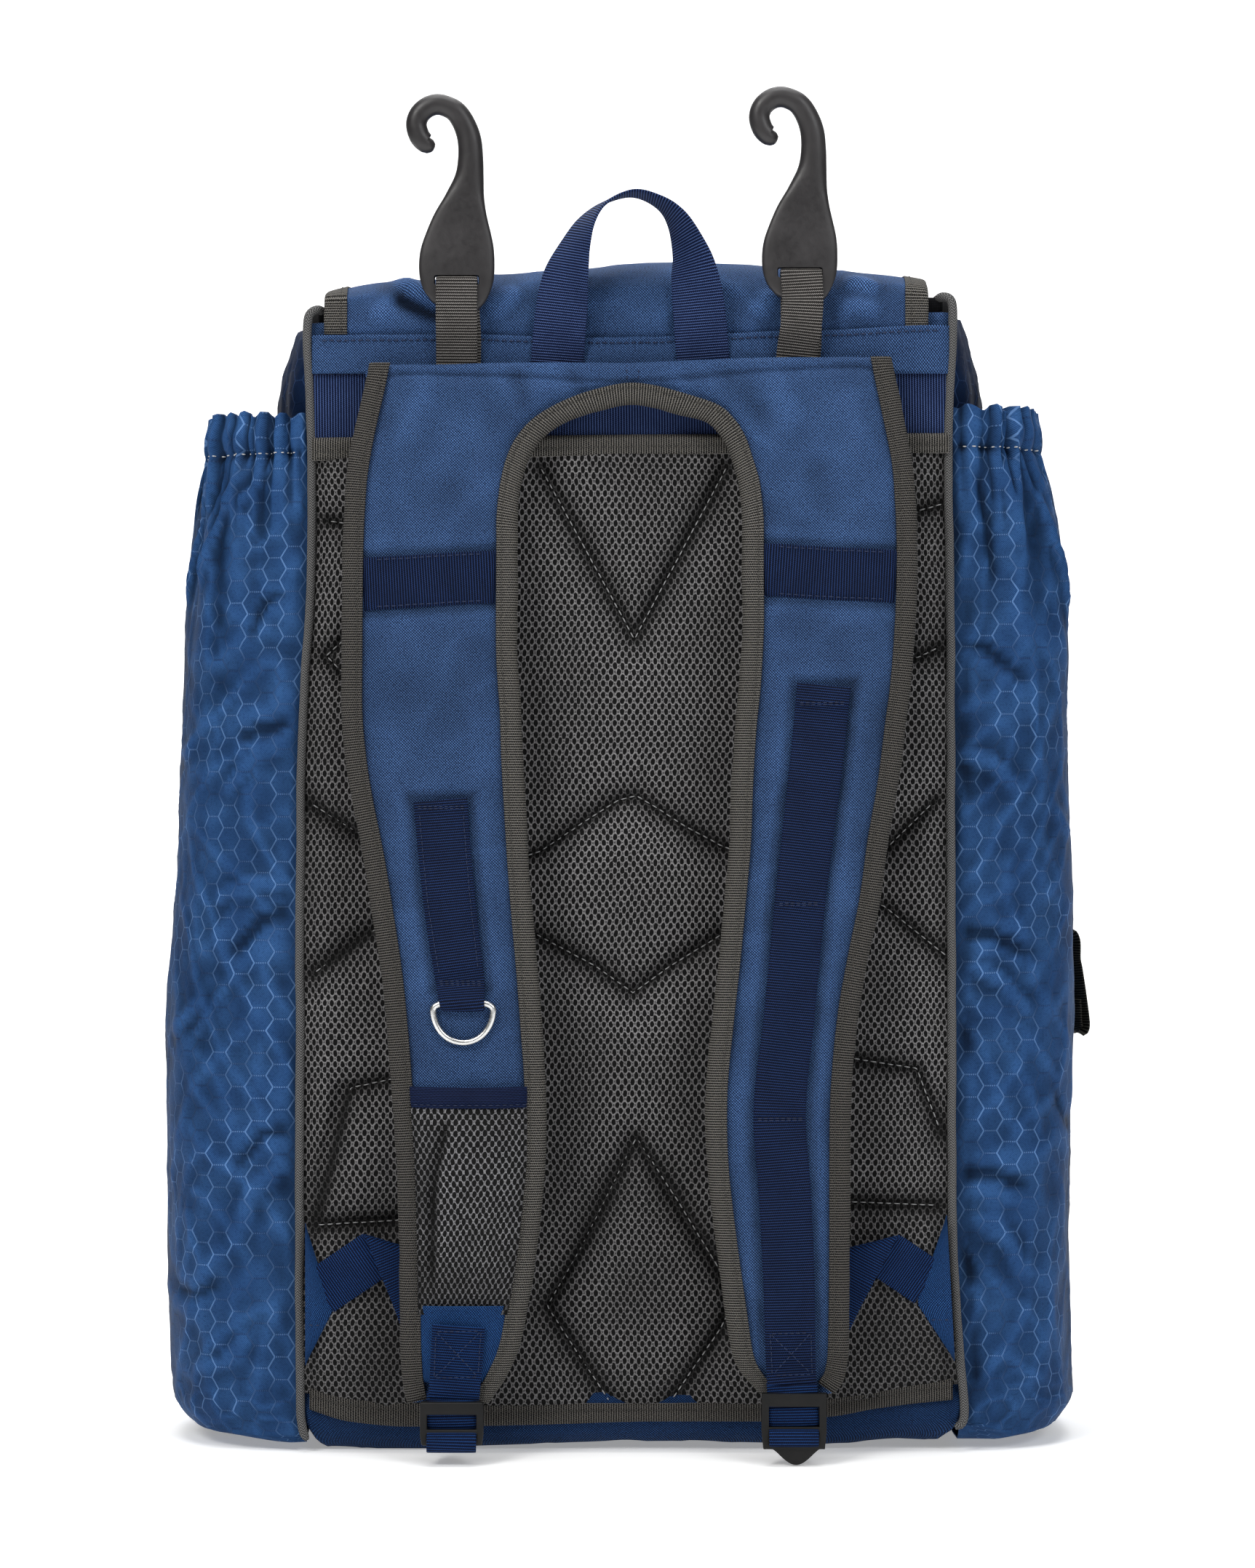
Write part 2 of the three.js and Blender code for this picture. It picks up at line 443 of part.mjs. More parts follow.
// ---------------------------------------------------------------- harness: one padded yoke with two shoulder straps
const strapTable = (side) => (side === 'left' ? STRAP_LEFT : STRAP_RIGHT);
const HARNESS = [...[...STRAP_LEFT].reverse(), ...STRAP_RIGHT.slice(1)];
const EDGE = GAP + BIND_WALL;
const harnessFrame = HARNESS.map(([ox, oz, ix, iz, y]) => {
  const e = V(ix - ox, 0, iz - oz), width = e.length();
  return { outer: V(ox, y, oz), inner: V(ix, y, iz), e: e.normalize(), width };
});
{
  const T = STRAP_THICK;
  add('harness_yoke', loft(harnessFrame.map(({ outer, e, width }) => {
    const s = [[EDGE, 1.2], [EDGE, T - 1.2], [EDGE + 1.6, T], [width - EDGE - 1.6, T], [width - EDGE, T - 1.2], [width - EDGE, 1.2], [width - EDGE - 1.6, 0], [EDGE + 1.6, 0]];
    return s.map(([u, d]) => outer.clone().addScaledVector(e, u).add(V(0, d, 0)));
  })), NAVY);
  const toward = V(0, -1, 0), half = T / 2, n = HARNESS.length, mid = STRAP_LEFT.length - 1;
  const outerRow = (f) => [f.outer.clone().addScaledVector(f.e, EDGE).add(V(0, half, 0)), f.e, toward];
  const innerRow = (f) => [f.inner.clone().addScaledVector(f.e, -EDGE).add(V(0, half, 0)), f.e.clone().negate(), toward];
  add('strap_binding_left', binding(harnessFrame.slice(0, mid - 3).map(outerRow), half), BINDING);
  add('strap_binding_right', binding(harnessFrame.slice(mid + 4, n).map(outerRow), half), BINDING);
  add('strap_binding_arch', binding(harnessFrame.map(innerRow), half), BINDING);
}

// face of a strap at a height, and pieces sewn flat on it
function strapAt(side, z) {
  const rows = strapTable(side).slice(9).map((r) => [r[1], r[0], r[2], r[4]]);
  return { outer: look(rows, z, 1), inner: look(rows, z, 2), y: look(rows, z, 3) };
}
const strapHeights = (side, low, high) => strapTable(side).slice(9).map((r) => r[1]).filter((z) => z > low + 0.5 && z < high - 0.5);
function onStrap(side, edges, lift, thick) {
  const top = edges[0][0], foot = edges[edges.length - 1][0];
  const zs = [...new Set([top, ...edges.map((r) => r[0]), ...strapHeights(side, foot, top), foot])].sort((a, b) => b - a);
  return loft(zs.map((z) => {
    const y = strapAt(side, z).y - GAP - lift, xl = look(edges, z, 1), xr = look(edges, z, 2);
    return [V(xl, y, z), V(xr, y, z), V(xr, y - thick, z), V(xl, y - thick, z)];
  }));
}
// crossbars between the bindings; left and right ends lie at slightly different heights
for (const [side, sign] of [['left', -1], ['right', 1]]) {
  const inset = BIND_WIDTH + EDGE + GAP;
  add(`crossbar_${side}`, loft([412.6, 399, 388.4].map((z) => {
    const s = strapAt(side, z), y = s.y - GAP;
    const xs = [s.outer - sign * inset, s.inner + sign * inset].sort((a, b) => a - b);
    return [V(xs[0], y, z), V(xs[1], y, z), V(xs[1], y - WEB_THICK, z), V(xs[0], y - WEB_THICK, z)];
  })), WEBBING);
}
add('long_webbing', onStrap('right', LONG_WEB, 0, WEB_THICK), WEBBING);

// ---------------------------------------------------------------- ring webbing and its ring
const ringFace = strapAt('left', D_RING_BAR).y;
const RING_Y = ringFace - 3.9;
{
  const path = [
    // z, lift of the strip's centre off the strap
    [300.1, 1.1], [273.8, 1.1], [247.5, 1.1], [224, 1.1], [217, 3.2], [211.5, 5.9], [D_RING_BAR, 6.45],
    [D_RING_BAR - 2.0, 5.6], [D_RING_BAR - 2.7, 3.9], [D_RING_BAR - 2.0, 2.2], [D_RING_BAR, 1.35], [213.5, 1.15],
  ];
  add('d_ring_webbing', loft(path.map(([z, lift], i) => {
    const a = path[Math.max(i - 1, 0)], b = path[Math.min(i + 1, path.length - 1)];
    const yAt = (r) => strapAt('left', r[0]).y - r[1];
    const ty = yAt(b) - yAt(a), tz = b[0] - a[0], l = Math.hypot(ty, tz);
    const ny = -tz / l * 0.6, nz = ty / l * 0.6, y = yAt(path[i]);
    const xl = look(D_RING_WEB, z, 1), xr = look(D_RING_WEB, z, 2);
    return [V(xl, y - ny, z - nz), V(xr, y - ny, z - nz), V(xr, y + ny, z + nz), V(xl, y + ny, z + nz)];
  })), WEBBING);
  const route = [];
  const half = 13.6, wire = 1.5, low = 17.6;
  for (const t of [-0.7, 0, 0.7]) route.push([t * half, 0]);
  for (let i = 0; i <= 12; i += 1) {
    const a = Math.PI * i / 12;
    route.push([half * Math.cos(a), -2.4 - (low - 2.4) * Math.sin(a) ** 0.92]);
  }
  const centres = route.map(([x, z]) => V(D_RING_X + x, RING_Y, D_RING_BAR + z));
  add('d_ring', loft(centres.map((p, i) => {
    const t = V().subVectors(centres[(i + 1) % centres.length], centres[(i + centres.length - 1) % centres.length]).normalize();
    const n = V().crossVectors(t, V(0, 1, 0)).normalize();
    return [...Array(8).keys()].map((k) => p.clone().addScaledVector(n, wire * Math.cos(k * 45 * DEG)).add(V(0, wire * Math.sin(k * 45 * DEG), 0)));
  }), true), 0xc8c8c8, 0.35, 1);
}

// ---------------------------------------------------------------- mesh pocket on the left strap, open at its top
{
  const inset = BIND_WIDTH + EDGE + GAP;
  const zs = [167, 160.5, 157.5, 135.9, 103, 76.6, 69];
  const lifts = [7.2, 7.0, 6.9, 6.6, 5.8, 2.6, 0];
  const across = [0, 0.08, 0.3, 0.5, 0.7, 0.92, 1];
  const grid = (rows, extra) => rows.map((z) => {
    const s = strapAt('left', z), lift = look(zs.map((v, i) => [v, lifts[i]]), z, 1);
    return across.map((t) => {
      const crown = Math.min(1, Math.sin(Math.PI * t) * 1.35);
      return V(lerp(s.outer + inset, s.inner - inset, t), s.y - GAP - lift * crown - extra, z);
    });
  });
  const mesh = zs.slice(2);
  add('strap_pocket_mesh', sheet(grid(mesh, 1.6), grid(mesh, 0)), MESH, 0.95);
  const band = [167, 160.5, 157.9];
  add('strap_pocket_band', sheet(grid(band, 1.9), grid(band, 0)), WEBBING);
  const patch = [[68.6, 0, 0], [53.4, 0, 0], [38.5, 0, 0]].map(([z]) => { const s = strapAt('left', z); return [z, s.outer + inset, s.inner - inset]; });
  add('strap_lower_patch', onStrap('left', patch, 0, 1.0), NAVY);
  add('box_webbing_left', onStrap('left', BOX_WEB_LEFT, 1.0 + GAP, WEB_THICK), WEBBING);
}

// ---------------------------------------------------------------- ladder locks at the strap ends
function ladderLock(x, z, wide, tall, tab) {
  const y = -131.9, deep = 5.6;
  const frame = box(wide, deep, tall, x, y, z - tall / 2);
  const window = wide - 6.4;
  let g = cut(frame, box(window, 12, 7.2, x, y, z - 5.6 - 3.6), box(window, 12, tall - 5.6 - 7.2 - 2.6 - 2.2, x, y, z - 5.6 - 7.2 - 2.6 - (tall - 5.6 - 7.2 - 2.6 - 2.2) / 2));
  if (tab) {
    const lip = new THREE.Shape();
    lip.moveTo(-11, 1); lip.lineTo(12, 1); lip.lineTo(9.5, -2.4); lip.quadraticCurveTo(1, -9.6, -7, -2.6); lip.closePath();
    const e = new THREE.ExtrudeGeometry(lip, { depth: 2.8, bevelEnabled: false, curveSegments: 5 });
    e.rotateX(Math.PI / 2);
    e.translate(x, y + 1.2, z - tall);
    g = join(g, e);
  }
  return g;
}
add('ladder_lock_left', ladderLock(-80.4, 28.8, 28.4, 19.6, false), BLACK, 0.5);
add('ladder_lock_right', ladderLock(73.9, 32.4, 29, 25.4, true), BLACK, 0.5);

// ---------------------------------------------------------------- lower webbing and corner tabs
for (const [side, sign] of [['left', -1], ['right', 1]]) {
  const shift = side === 'left' ? 0 : -7.0;
  const rows = LOWER_WEB.map(([x, y, z, wx, wy, wz], i) => {
    const t = Math.min(1, Math.max(0, (i - 2) / 5));
    const rise = side === 'right' && i > 8 ? 2.5 : 0;
    return [sign < 0 ? x : -x + shift * t - (1 - t) * 4.5, y, z + rise, sign < 0 ? wx : -wx, wy, wz];
  });
  add(`lower_webbing_${side}`, strip(smooth(rows, 1), WEB_WIDE * 0.9, WEB_THICK), WEBBING);
  const outline = side === 'left' ? [[-149.4, 105.8], [-134.8, 66.6], [-149.4, 38.5]] : [[148.4, 110], [131.0, 70.5], [149.6, 44]];
  const y = -101.2;
  add(`corner_tab_${side}`, loft([0, 1.6].map((d) => outline.map(([x, z]) => V(x, y + d, z)))), NAVY);
}

// ---------------------------------------------------------------- fence hooks and their webbing
for (const [side, x, y, z] of HOOKS) {
  const line = HOOK_LINE.map((r) => V(x + r[0] * HOOK_SCALE, y, z + r[1] * HOOK_SCALE));
  const rings = HOOK_LINE.map(([, , w, d], i) => {
    const t = V().subVectors(line[Math.min(i + 1, line.length - 1)], line[Math.max(i - 1, 0)]).normalize();
    const n = V().crossVectors(t, V(0, 1, 0)).normalize();
    const round = w > 7 ? 0.55 : 0.95;
    return [...Array(10).keys()].map((k) => {
      const a = (k + 0.5) * 36 * DEG, c = Math.cos(a), s = Math.sin(a);
      return line[i].clone().addScaledVector(n, w * Math.sign(c) * Math.abs(c) ** round).add(V(0, d * Math.sign(s) * Math.abs(s) ** round, 0));
    });
  });
  const slot = box(HOOK_SLOT.width, 20, HOOK_SLOT.height, x, y, z + HOOK_SLOT.z);
  add(`fence_hook_${side}`, cut(loft(rings), slot), BLACK, 0.6);
  const front = y - 3.0 - GAP - WEB_THICK / 2 - 0.1, behind = y + 3.0 + GAP + WEB_THICK / 2 + 0.1, s = z + HOOK_SLOT.z;
  const path = [
    [front + 9.2, 491], [front + 8.9, 503], [front + 3.5, 513], [front + 0.2, z - 2], [front, s - 2.2], [front + 0.7, s + 0.2], [y, s + 0.3],
    [behind - 0.7, s + 0.2], [behind, s - 2.2], [behind, z - 1], [behind - 0.3 + 1.0, 509], [front + 11.2, 500], [front + 11.2, 491],
  ];
  add(`hook_webbing_${side}`, strip(path.map(([py, pz]) => [x - (s - pz) * 0.02, py, pz, 1, 0, 0]), WEB_NARROW - 0.4, WEB_THICK), GREY);
}

// ---------------------------------------------------------------- haul handle
{
  const rows = smooth(HANDLE, 2).map(([x, z, y, twist]) => [x, y, z, twist]);
  const centre = rows.map((r) => V(r[0], r[1], r[2]));
  add('haul_handle', strip(rows.map(([x, y, z, twist], i) => {
    const t = V().subVectors(centre[Math.min(i + 1, rows.length - 1)], centre[Math.max(i - 1, 0)]).normalize();
    const flat = V().crossVectors(t, V(0, 1, 0)).normalize();
    const w = flat.multiplyScalar(Math.cos(twist * DEG)).add(V(0, Math.sin(twist * DEG), 0));
    return [x, y, z, w.x, w.y, w.z];
  }), WEB_WIDE - 1, WEB_THICK), WEBBING);
}

// ---------------------------------------------------------------- black webbing tail on the right pocket
{
  const path = [[211.6, 236], [212.6, 229], [214.6, 216], [217.4, 203], [220.2, 190.6], [221.4, 187.4], [222.8, 187.6], [223.2, 190.6], [220.6, 204], [218.4, 216]];
  add('side_strap_tail', strip(path.map(([x, z]) => [x, 14, z, 0, 1, 0]), 22, 1.3), BLACK, 0.9);
}

export default pack;
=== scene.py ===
# Baseball bat backpack seen from its harness side. Metres, +Z up; tables are in millimetres.
import math

import bpy
import numpy as np
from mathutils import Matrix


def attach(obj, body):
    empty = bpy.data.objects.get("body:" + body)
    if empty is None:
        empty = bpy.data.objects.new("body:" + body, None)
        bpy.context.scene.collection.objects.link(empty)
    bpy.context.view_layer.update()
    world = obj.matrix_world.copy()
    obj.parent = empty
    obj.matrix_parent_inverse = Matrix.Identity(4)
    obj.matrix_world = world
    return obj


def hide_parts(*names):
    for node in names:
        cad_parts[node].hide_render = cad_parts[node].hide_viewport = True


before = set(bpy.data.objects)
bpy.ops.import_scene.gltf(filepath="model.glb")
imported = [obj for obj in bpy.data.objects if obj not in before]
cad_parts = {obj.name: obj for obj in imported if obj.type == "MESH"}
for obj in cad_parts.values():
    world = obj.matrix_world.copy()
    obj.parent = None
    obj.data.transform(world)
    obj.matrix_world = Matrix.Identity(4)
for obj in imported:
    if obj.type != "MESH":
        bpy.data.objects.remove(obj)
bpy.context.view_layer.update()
MM = 0.001

# ------------------------------------------------------------------ sizes and tables, as in the frame
CY, HALF_D = 2.0, 92.0
PANEL_Y = CY - HALF_D
RIM, RIM_TILT = 522.0, 0.017
STRAP_T = 8.0
BODY_LEVELS = np.array([
    # z, back_half, side_half, inset
    [0, 146, 150, 9], [2.5, 147, 152, 4.5], [8, 148, 154, 1.5], [20, 149, 156, 0], [90, 150, 157, 0], [230, 150, 157, 0],
    [360, 149.5, 159, 0], [440, 149, 163, 0], [486, 148, 168, 0], [506, 147.5, 163, 0], [RIM, 147, 157, 0]])
BODY_PLAN = np.array([
    # share of back_half, share of the bulge, y share
    [0, 0, -1], [0.4, 0, -1], [0.8, 0, -1], [0.985, 0, -1], [1, 0.05, -0.965], [1, 0.4, -0.82], [1, 0.78, -0.55],
    [1, 1, -0.15], [1, 1, 0.3], [1, 0.8, 0.65], [0.98, 0.3, 0.88], [0.86, 0, 1], [0.5, 0, 1.03], [0, 0, 1.04]])
POCKET_LEVELS = np.array([
    # z, out_left, out_right, share of the bulge
    [4.6, 200, 196, 0.0], [4.2, 206, 202, 0.55], [7.5, 211, 205, 0.93], [20, 215.5, 209, 1], [60, 218, 208.8, 1],
    [130, 219, 209.5, 1], [200, 219, 210.3, 1], [268, 214, 209, 1], [330, 212.8, 207, 1], [400, 208.6, 205.4, 1],
    [448, 202.5, 198, 1], [464, 199.5, 193.8, 0.98], [482, 197, 192, 0.98]])
POCKET_PLAN = np.array([
    # share of the stand-out, y
    [0, -88.5], [0.3, -87], [0.62, -79], [0.84, -64], [0.96, -44], [1, -22], [1, 2], [0.96, 24], [0.84, 43], [0.62, 57],
    [0.3, 67], [0, 72]])
FLAP_PROFILE = np.array([
    # y, z, share of the side drop
    [-93.2, 509, 0], [-93.6, 526, 0], [-91.6, 537, 0.45], [-81, 544.5, 0.85], [-60, 548, 1], [-20, 550, 1], [30, 549.5, 1],
    [70, 546, 0.95], [91, 540, 0.75], [102.5, 527, 0.35], [105.5, 500, 0.1], [106, 430, 0], [105.5, 360, 0], [104.5, 318, 0]])
FLAP_ACROSS = np.array([
    # x, drop of the top
    [-139.5, 13], [-122, 9.5], [-90, 6.5], [-45, 3], [0, 0], [45, -1.5], [90, 1], [118, 4], [136, 7]])
STRAP_LEFT = [
    # outer_x, outer_z, inner_x, inner_z, face_y
    [1.0, 501.1, 1.0, 480.5, -109.1], [-21.9, 501.1, -14.6, 477.5, -109.2], [-55.1, 500.8, -28.5, 472.6, -109.3],
    [-84.9, 499.8, -37.8, 466.9, -109.4], [-118.8, 498.4, -44.1, 459.2, -109.9], [-121.3, 488.9, -47.7, 450.8, -111.7],
    [-125.1, 472.2, -49.7, 441.7, -114.1], [-128.6, 452.1, -50.6, 432.3, -116.7], [-130.0, 436, -50.9, 425.5, -118.3],
    [-130.7, 418.9, -50.8, 418.9, -119.9], [-130.9, 399.0, -50.8, 399.0, -122.6], [-131.0, 365.9, -50.7, 365.9, -124.9],
    [-130.9, 339.6, -49.0, 339.6, -126.4], [-129.2, 319.8, -48.4, 319.8, -127.2], [-126.2, 300.1, -47.3, 300.1, -128.0],
    [-120.9, 273.8, -45.7, 273.8, -128.5], [-116.6, 247.5, -43.7, 247.5, -129.1], [-112.7, 221.3, -41.4, 221.3, -129.6],
    [-110.0, 195.0, -39.4, 195.0, -130.0], [-108.0, 168.8, -37.8, 168.8, -130.0], [-105.8, 135.9, -38.1, 135.9, -129.7],
    [-104.8, 103.0, -41.1, 103.0, -129.0], [-104.5, 76.6, -45.1, 76.6, -127.8], [-104.3, 53.4, -49.4, 53.4, -126.6],
    [-103.6, 39.0, -55.5, 39.0, -125.8], [-102.6, 32.5, -59.8, 32.5, -125.4], [-101.4, 27.2, -63.2, 27.2, -125.2]]
STRAP_RIGHT = [
    [1.0, 501.1, 1.0, 480.5, -109.1], [24.5, 502.1, 17.9, 477.5, -109.1], [57.7, 503.1, 32.8, 472.6, -109.2],
    [84.3, 503.1, 39.5, 466.9, -109.3], [117.8, 502.1, 44.4, 459.9, -109.5], [121.3, 492.3, 47.7, 451.8, -111.2],
    [124.8, 475.5, 49.6, 443.1, -113.7], [128.6, 455.4, 50.6, 432.3, -116.4], [130.0, 438, 50.9, 425.5, -118.2],
    [130.7, 418.9, 50.8, 418.9, -119.9], [130.5, 399.0, 50.7, 399.0, -122.6], [129.7, 379.1, 50.7, 379.1, -124.0],
    [127.6, 352.7, 49.3, 352.7, -125.8], [125.0, 333.0, 47.3, 333.0, -126.7], [121.6, 306.7, 45.7, 306.7, -127.7],
    [117.0, 280.4, 44.7, 280.4, -128.4], [113.3, 254.1, 42.4, 254.1, -128.9], [108.0, 227.9, 40.0, 227.9, -129.5],
    [103.4, 201.6, 37.1, 201.6, -130.0], [100.4, 168.8, 34.1, 168.8, -130.0], [99.8, 135.9, 34.5, 135.9, -129.7],
    [99.8, 103.0, 38.1, 103.0, -129.0], [99.6, 70.0, 42.7, 70.0, -127.5], [99.2, 50.1, 45.7, 50.1, -126.5],
    [98.2, 42.0, 49.0, 42.0, -125.8], [96.6, 36.5, 53.5, 36.5, -125.4], [93.2, 31.4, 58.0, 31.4, -125.2]]
HOOK_LINE = np.array([
    # x, z above the foot, half width, half thickness
    [-10.3, 77.0, 1.2, 1.2], [-12.0, 76.3, 3.6, 3.2], [-14.0, 76.4, 4.5, 3.9], [-17.0, 79.6, 4.8, 4.2], [-18.5, 85.0, 4.8, 4.2],
    [-17.0, 89.7, 4.8, 4.2], [-13.3, 93.0, 4.8, 4.2], [-9.0, 94.2, 4.8, 4.2], [-4.7, 93.3, 4.8, 4.2], [-0.3, 90.7, 5.0, 4.2],
    [3.3, 85.3, 5.2, 4.2], [5.7, 78.2, 5.5, 4.1], [6.3, 69.7, 5.8, 4.0], [5.7, 60.7, 6.7, 3.8], [3.7, 50.7, 9.3, 3.5],
    [1.8, 40.3, 13.2, 3.2], [0.7, 30.0, 16.3, 3.0], [0.0, 22.0, 17.3, 3.0], [0.0, 13.7, 16.8, 3.0], [-0.3, 6.7, 14.3, 3.0],
    [-0.9, 2.2, 10.8, 2.9], [-1.3, 0.4, 8.6, 2.2]])
HOOKS = [("left", -79.2, -103.6, 524.0), ("right", 77.6, -103.6, 527.5)]
SLOT_Z = 13.5
HANDLE = np.array([
    # x, z, y, twist in degrees
    [-34.4, 486, -97.2, 0], [-33.3, 503, -97.6, 0], [-31.4, 524, -101.5, 10], [-29.3, 540, -103.4, 30], [-25.5, 553, -103.2, 52],
    [-20.0, 565, -103.0, 68], [-11.5, 573.4, -103, 82], [1.5, 577.6, -103, 90], [13.8, 573.2, -103, 98], [21.6, 565, -103.0, 112],
    [27.0, 552, -103.2, 130], [29.5, 540, -103.4, 152], [31.6, 524, -101.5, 171], [33.4, 503, -97.6, 180], [34.5, 486, -97.2, 180]])
D_RING_BAR, D_RING_X = 208.3, -75.2
D_RING_WEB = [[300.1, -97.7, -73.4], [280.5, -96, -72.1], [254.3, -93.4, -69.8], [234.6, -90.4, -67.5], [216, -87.2, -65.4], [206, -85.2, -65.6]]
LONG_WEB = [[352, 75.4, 99.7], [319.8, 72.4, 96.4], [280.5, 68.1, 91.4], [253.9, 65.2, 88.1], [201.9, 60.2, 83.1],
            [157, 55.6, 79.2], [123.3, 57.9, 81.5], [83.8, 60, 83.2], [44, 61.4, 83.9], [34, 62.2, 84.4]]

def photo_to_panel(points, y=-98.0):
    """Places on the back panel, from their places in the 1725 x 2156 frame."""
    m = (2000.0 + y + 100.0) / 2000.0
    return [((px - 862.5) / 3 * m - 1.17, 307.33 + (1078 - py) / 3 * m) for px, py in points]


# sewn channels of the mesh back
QUILT = [photo_to_panel(q) for q in [
    [(742, 640), (872, 878), (1000, 640)],
    [(426, 1105), (495, 1147), (620, 1212), (744, 1170), (800, 1132), (850, 1100), (875, 1094), (905, 1112), (940, 1135), (990, 1162), (1110, 1210), (1219, 1167), (1288, 1099)],
    [(430, 1339), (512, 1281), (620, 1212), (740, 1287), (820, 1330), (870, 1366), (920, 1330), (985, 1290), (1110, 1210), (1216, 1246), (1302, 1315)],
    [(450, 715), (471, 718), (560, 800), (447, 901)], [(447, 901), (467, 921), (620, 1010)],
    [(1299, 691), (1264, 701), (1180, 790), (1261, 904), (1290, 890)],
    [(436, 1676), (481, 1497), (540, 1484), (700, 1484)], [(433, 1686), (543, 1680), (700, 1640)],
    [(1171, 1456), (1261, 1470), (1295, 1559)], [(1040, 1640), (1171, 1654), (1288, 1659)], [(1040, 1470), (1171, 1456)],
    [(875, 1565), (800, 1715), (752, 1798), (838, 1930)], [(875, 1565), (930, 1650), (985, 1740), (1010, 1790), (990, 1830), (925, 1925)]]]


# ------------------------------------------------------------------ numbers
def catmull(rows, t):
    """Smooth values between equally spaced rows, at t from 0 to len(rows) - 1."""
    rows = np.asarray(rows, float)
    k = len(rows)
    t = np.clip(np.asarray(t, float), 0, k - 1 - 1e-9)
    i = t.astype(int)
    f = (t - i)[:, None]
    p0, p1, p2, p3 = rows[np.maximum(i - 1, 0)], rows[i], rows[np.minimum(i + 1, k - 1)], rows[np.minimum(i + 2, k - 1)]
    return 0.5 * (2 * p1 + (p2 - p0) * f + (2 * p0 - 5 * p1 + 4 * p2 - p3) * f ** 2 + (3 * p1 - p0 - 3 * p2 + p3) * f ** 3)


def hermite(xs, ys, x):
    """Smooth table without overshoot between its rows."""
    xs, ys, x = np.asarray(xs, float), np.asarray(ys, float), np.asarray(x, float)
    if xs[0] > xs[-1]:
        xs, ys = xs[::-1], ys[::-1]
    d = np.diff(ys) / np.diff(xs)
    m = np.zeros_like(ys)
    m[1:-1] = np.where(d[:-1] * d[1:] > 0, 2 * d[:-1] * d[1:] / (d[:-1] + d[1:] + 1e-12 * np.sign(d[:-1] + d[1:] + 1e-30)), 0)
    m[0], m[-1] = d[0], d[-1]
    x = np.clip(x, xs[0], xs[-1])
    i = np.clip(np.searchsorted(xs, x) - 1, 0, len(xs) - 2)
    h = xs[i + 1] - xs[i]
    t = (x - xs[i]) / h
    return ((2 * t ** 3 - 3 * t ** 2 + 1) * ys[i] + (t ** 3 - 2 * t ** 2 + t) * h * m[i]
            + (-2 * t ** 3 + 3 * t ** 2) * ys[i + 1] + (t ** 3 - t ** 2) * h * m[i + 1])


_rng = np.random.RandomState(11)
_perm = np.concatenate([_rng.permutation(256)] * 3)
_grad = _rng.normal(size=(256, 3))
_grad /= np.linalg.norm(_grad, axis=1)[:, None]


def noise3(p):
    """Gradient noise, about -0.7 to 0.7."""
    p = np.asarray(p, float)
    i = np.floor(p).astype(int)
    f = p - i
    u = f * f * f * (f * (f * 6 - 15) + 10)
    i &= 255
    out = np.zeros(p.shape[:-1])
    for dx in (0, 1):
        for dy in (0, 1):
            for dz in (0, 1):
                g = _grad[_perm[_perm[_perm[(i[..., 0] + dx) & 255] + ((i[..., 1] + dy) & 255)] + ((i[..., 2] + dz) & 255)]]
                off = f - np.array([dx, dy, dz])
                w = (u[..., 0] if dx else 1 - u[..., 0]) * (u[..., 1] if dy else 1 - u[..., 1]) * (u[..., 2] if dz else 1 - u[..., 2])
                out += w * (g * off).sum(-1)
    return out * 1.5


def n2(a, b, scale, seed=0.0):
    a, b = np.broadcast_arrays(np.asarray(a, float), np.asarray(b, float))
    return noise3(np.stack([a / scale + seed * 3.7, b / scale + seed * 1.3, np.full(a.shape, seed * 7.1 + 0.37)], -1))


def ridge(a, b, scale, seed=0.0):
    return (1 - np.minimum(1, np.abs(n2(a, b, scale, seed)) * 2.6)) ** 2


def smoothstep(a, b, x):
    t = np.clip((np.asarray(x, float) - a) / (b - a), 0, 1)
    return t * t * (3 - 2 * t)


def normals_of(P, closed=False):
    """Unit normals of a grid of points."""
    du = np.gradient(P, axis=0)
    if closed:
        dv = (np.roll(P, -1, 1) - np.roll(P, 1, 1)) / 2
    else:
        dv = np.gradient(P, axis=1)
    n = np.cross(du, dv)
    return n / (np.linalg.norm(n, axis=-1, keepdims=True) + 1e-12)


def painted_fold_shade(d, gain, passes=14, low=-0.35, high=0.8):
    """Painted shade for a displaced grid: how far each point sits down in its folds, against its smoothed neighbours;
    below 0 on crests, a painted highlight.
    """
    b = np.array(d, float)
    for _ in range(passes):
        b = (np.pad(b, ((1, 1), (0, 0)), "edge")[:-2] + 2 * b + np.pad(b, ((1, 1), (0, 0)), "edge")[2:]) / 4
        b = (np.pad(b, ((0, 0), (1, 1)), "edge")[:, :-2] + 2 * b + np.pad(b, ((0, 0), (1, 1)), "edge")[:, 2:]) / 4
    return np.clip((b - d) * gain, low, high)


def lengths(P, axis):
    d = np.linalg.norm(np.diff(P, axis=axis), axis=-1)
    d = d.mean(1 - axis) if d.ndim == 2 else d
    return np.concatenate([[0], np.cumsum(d)])


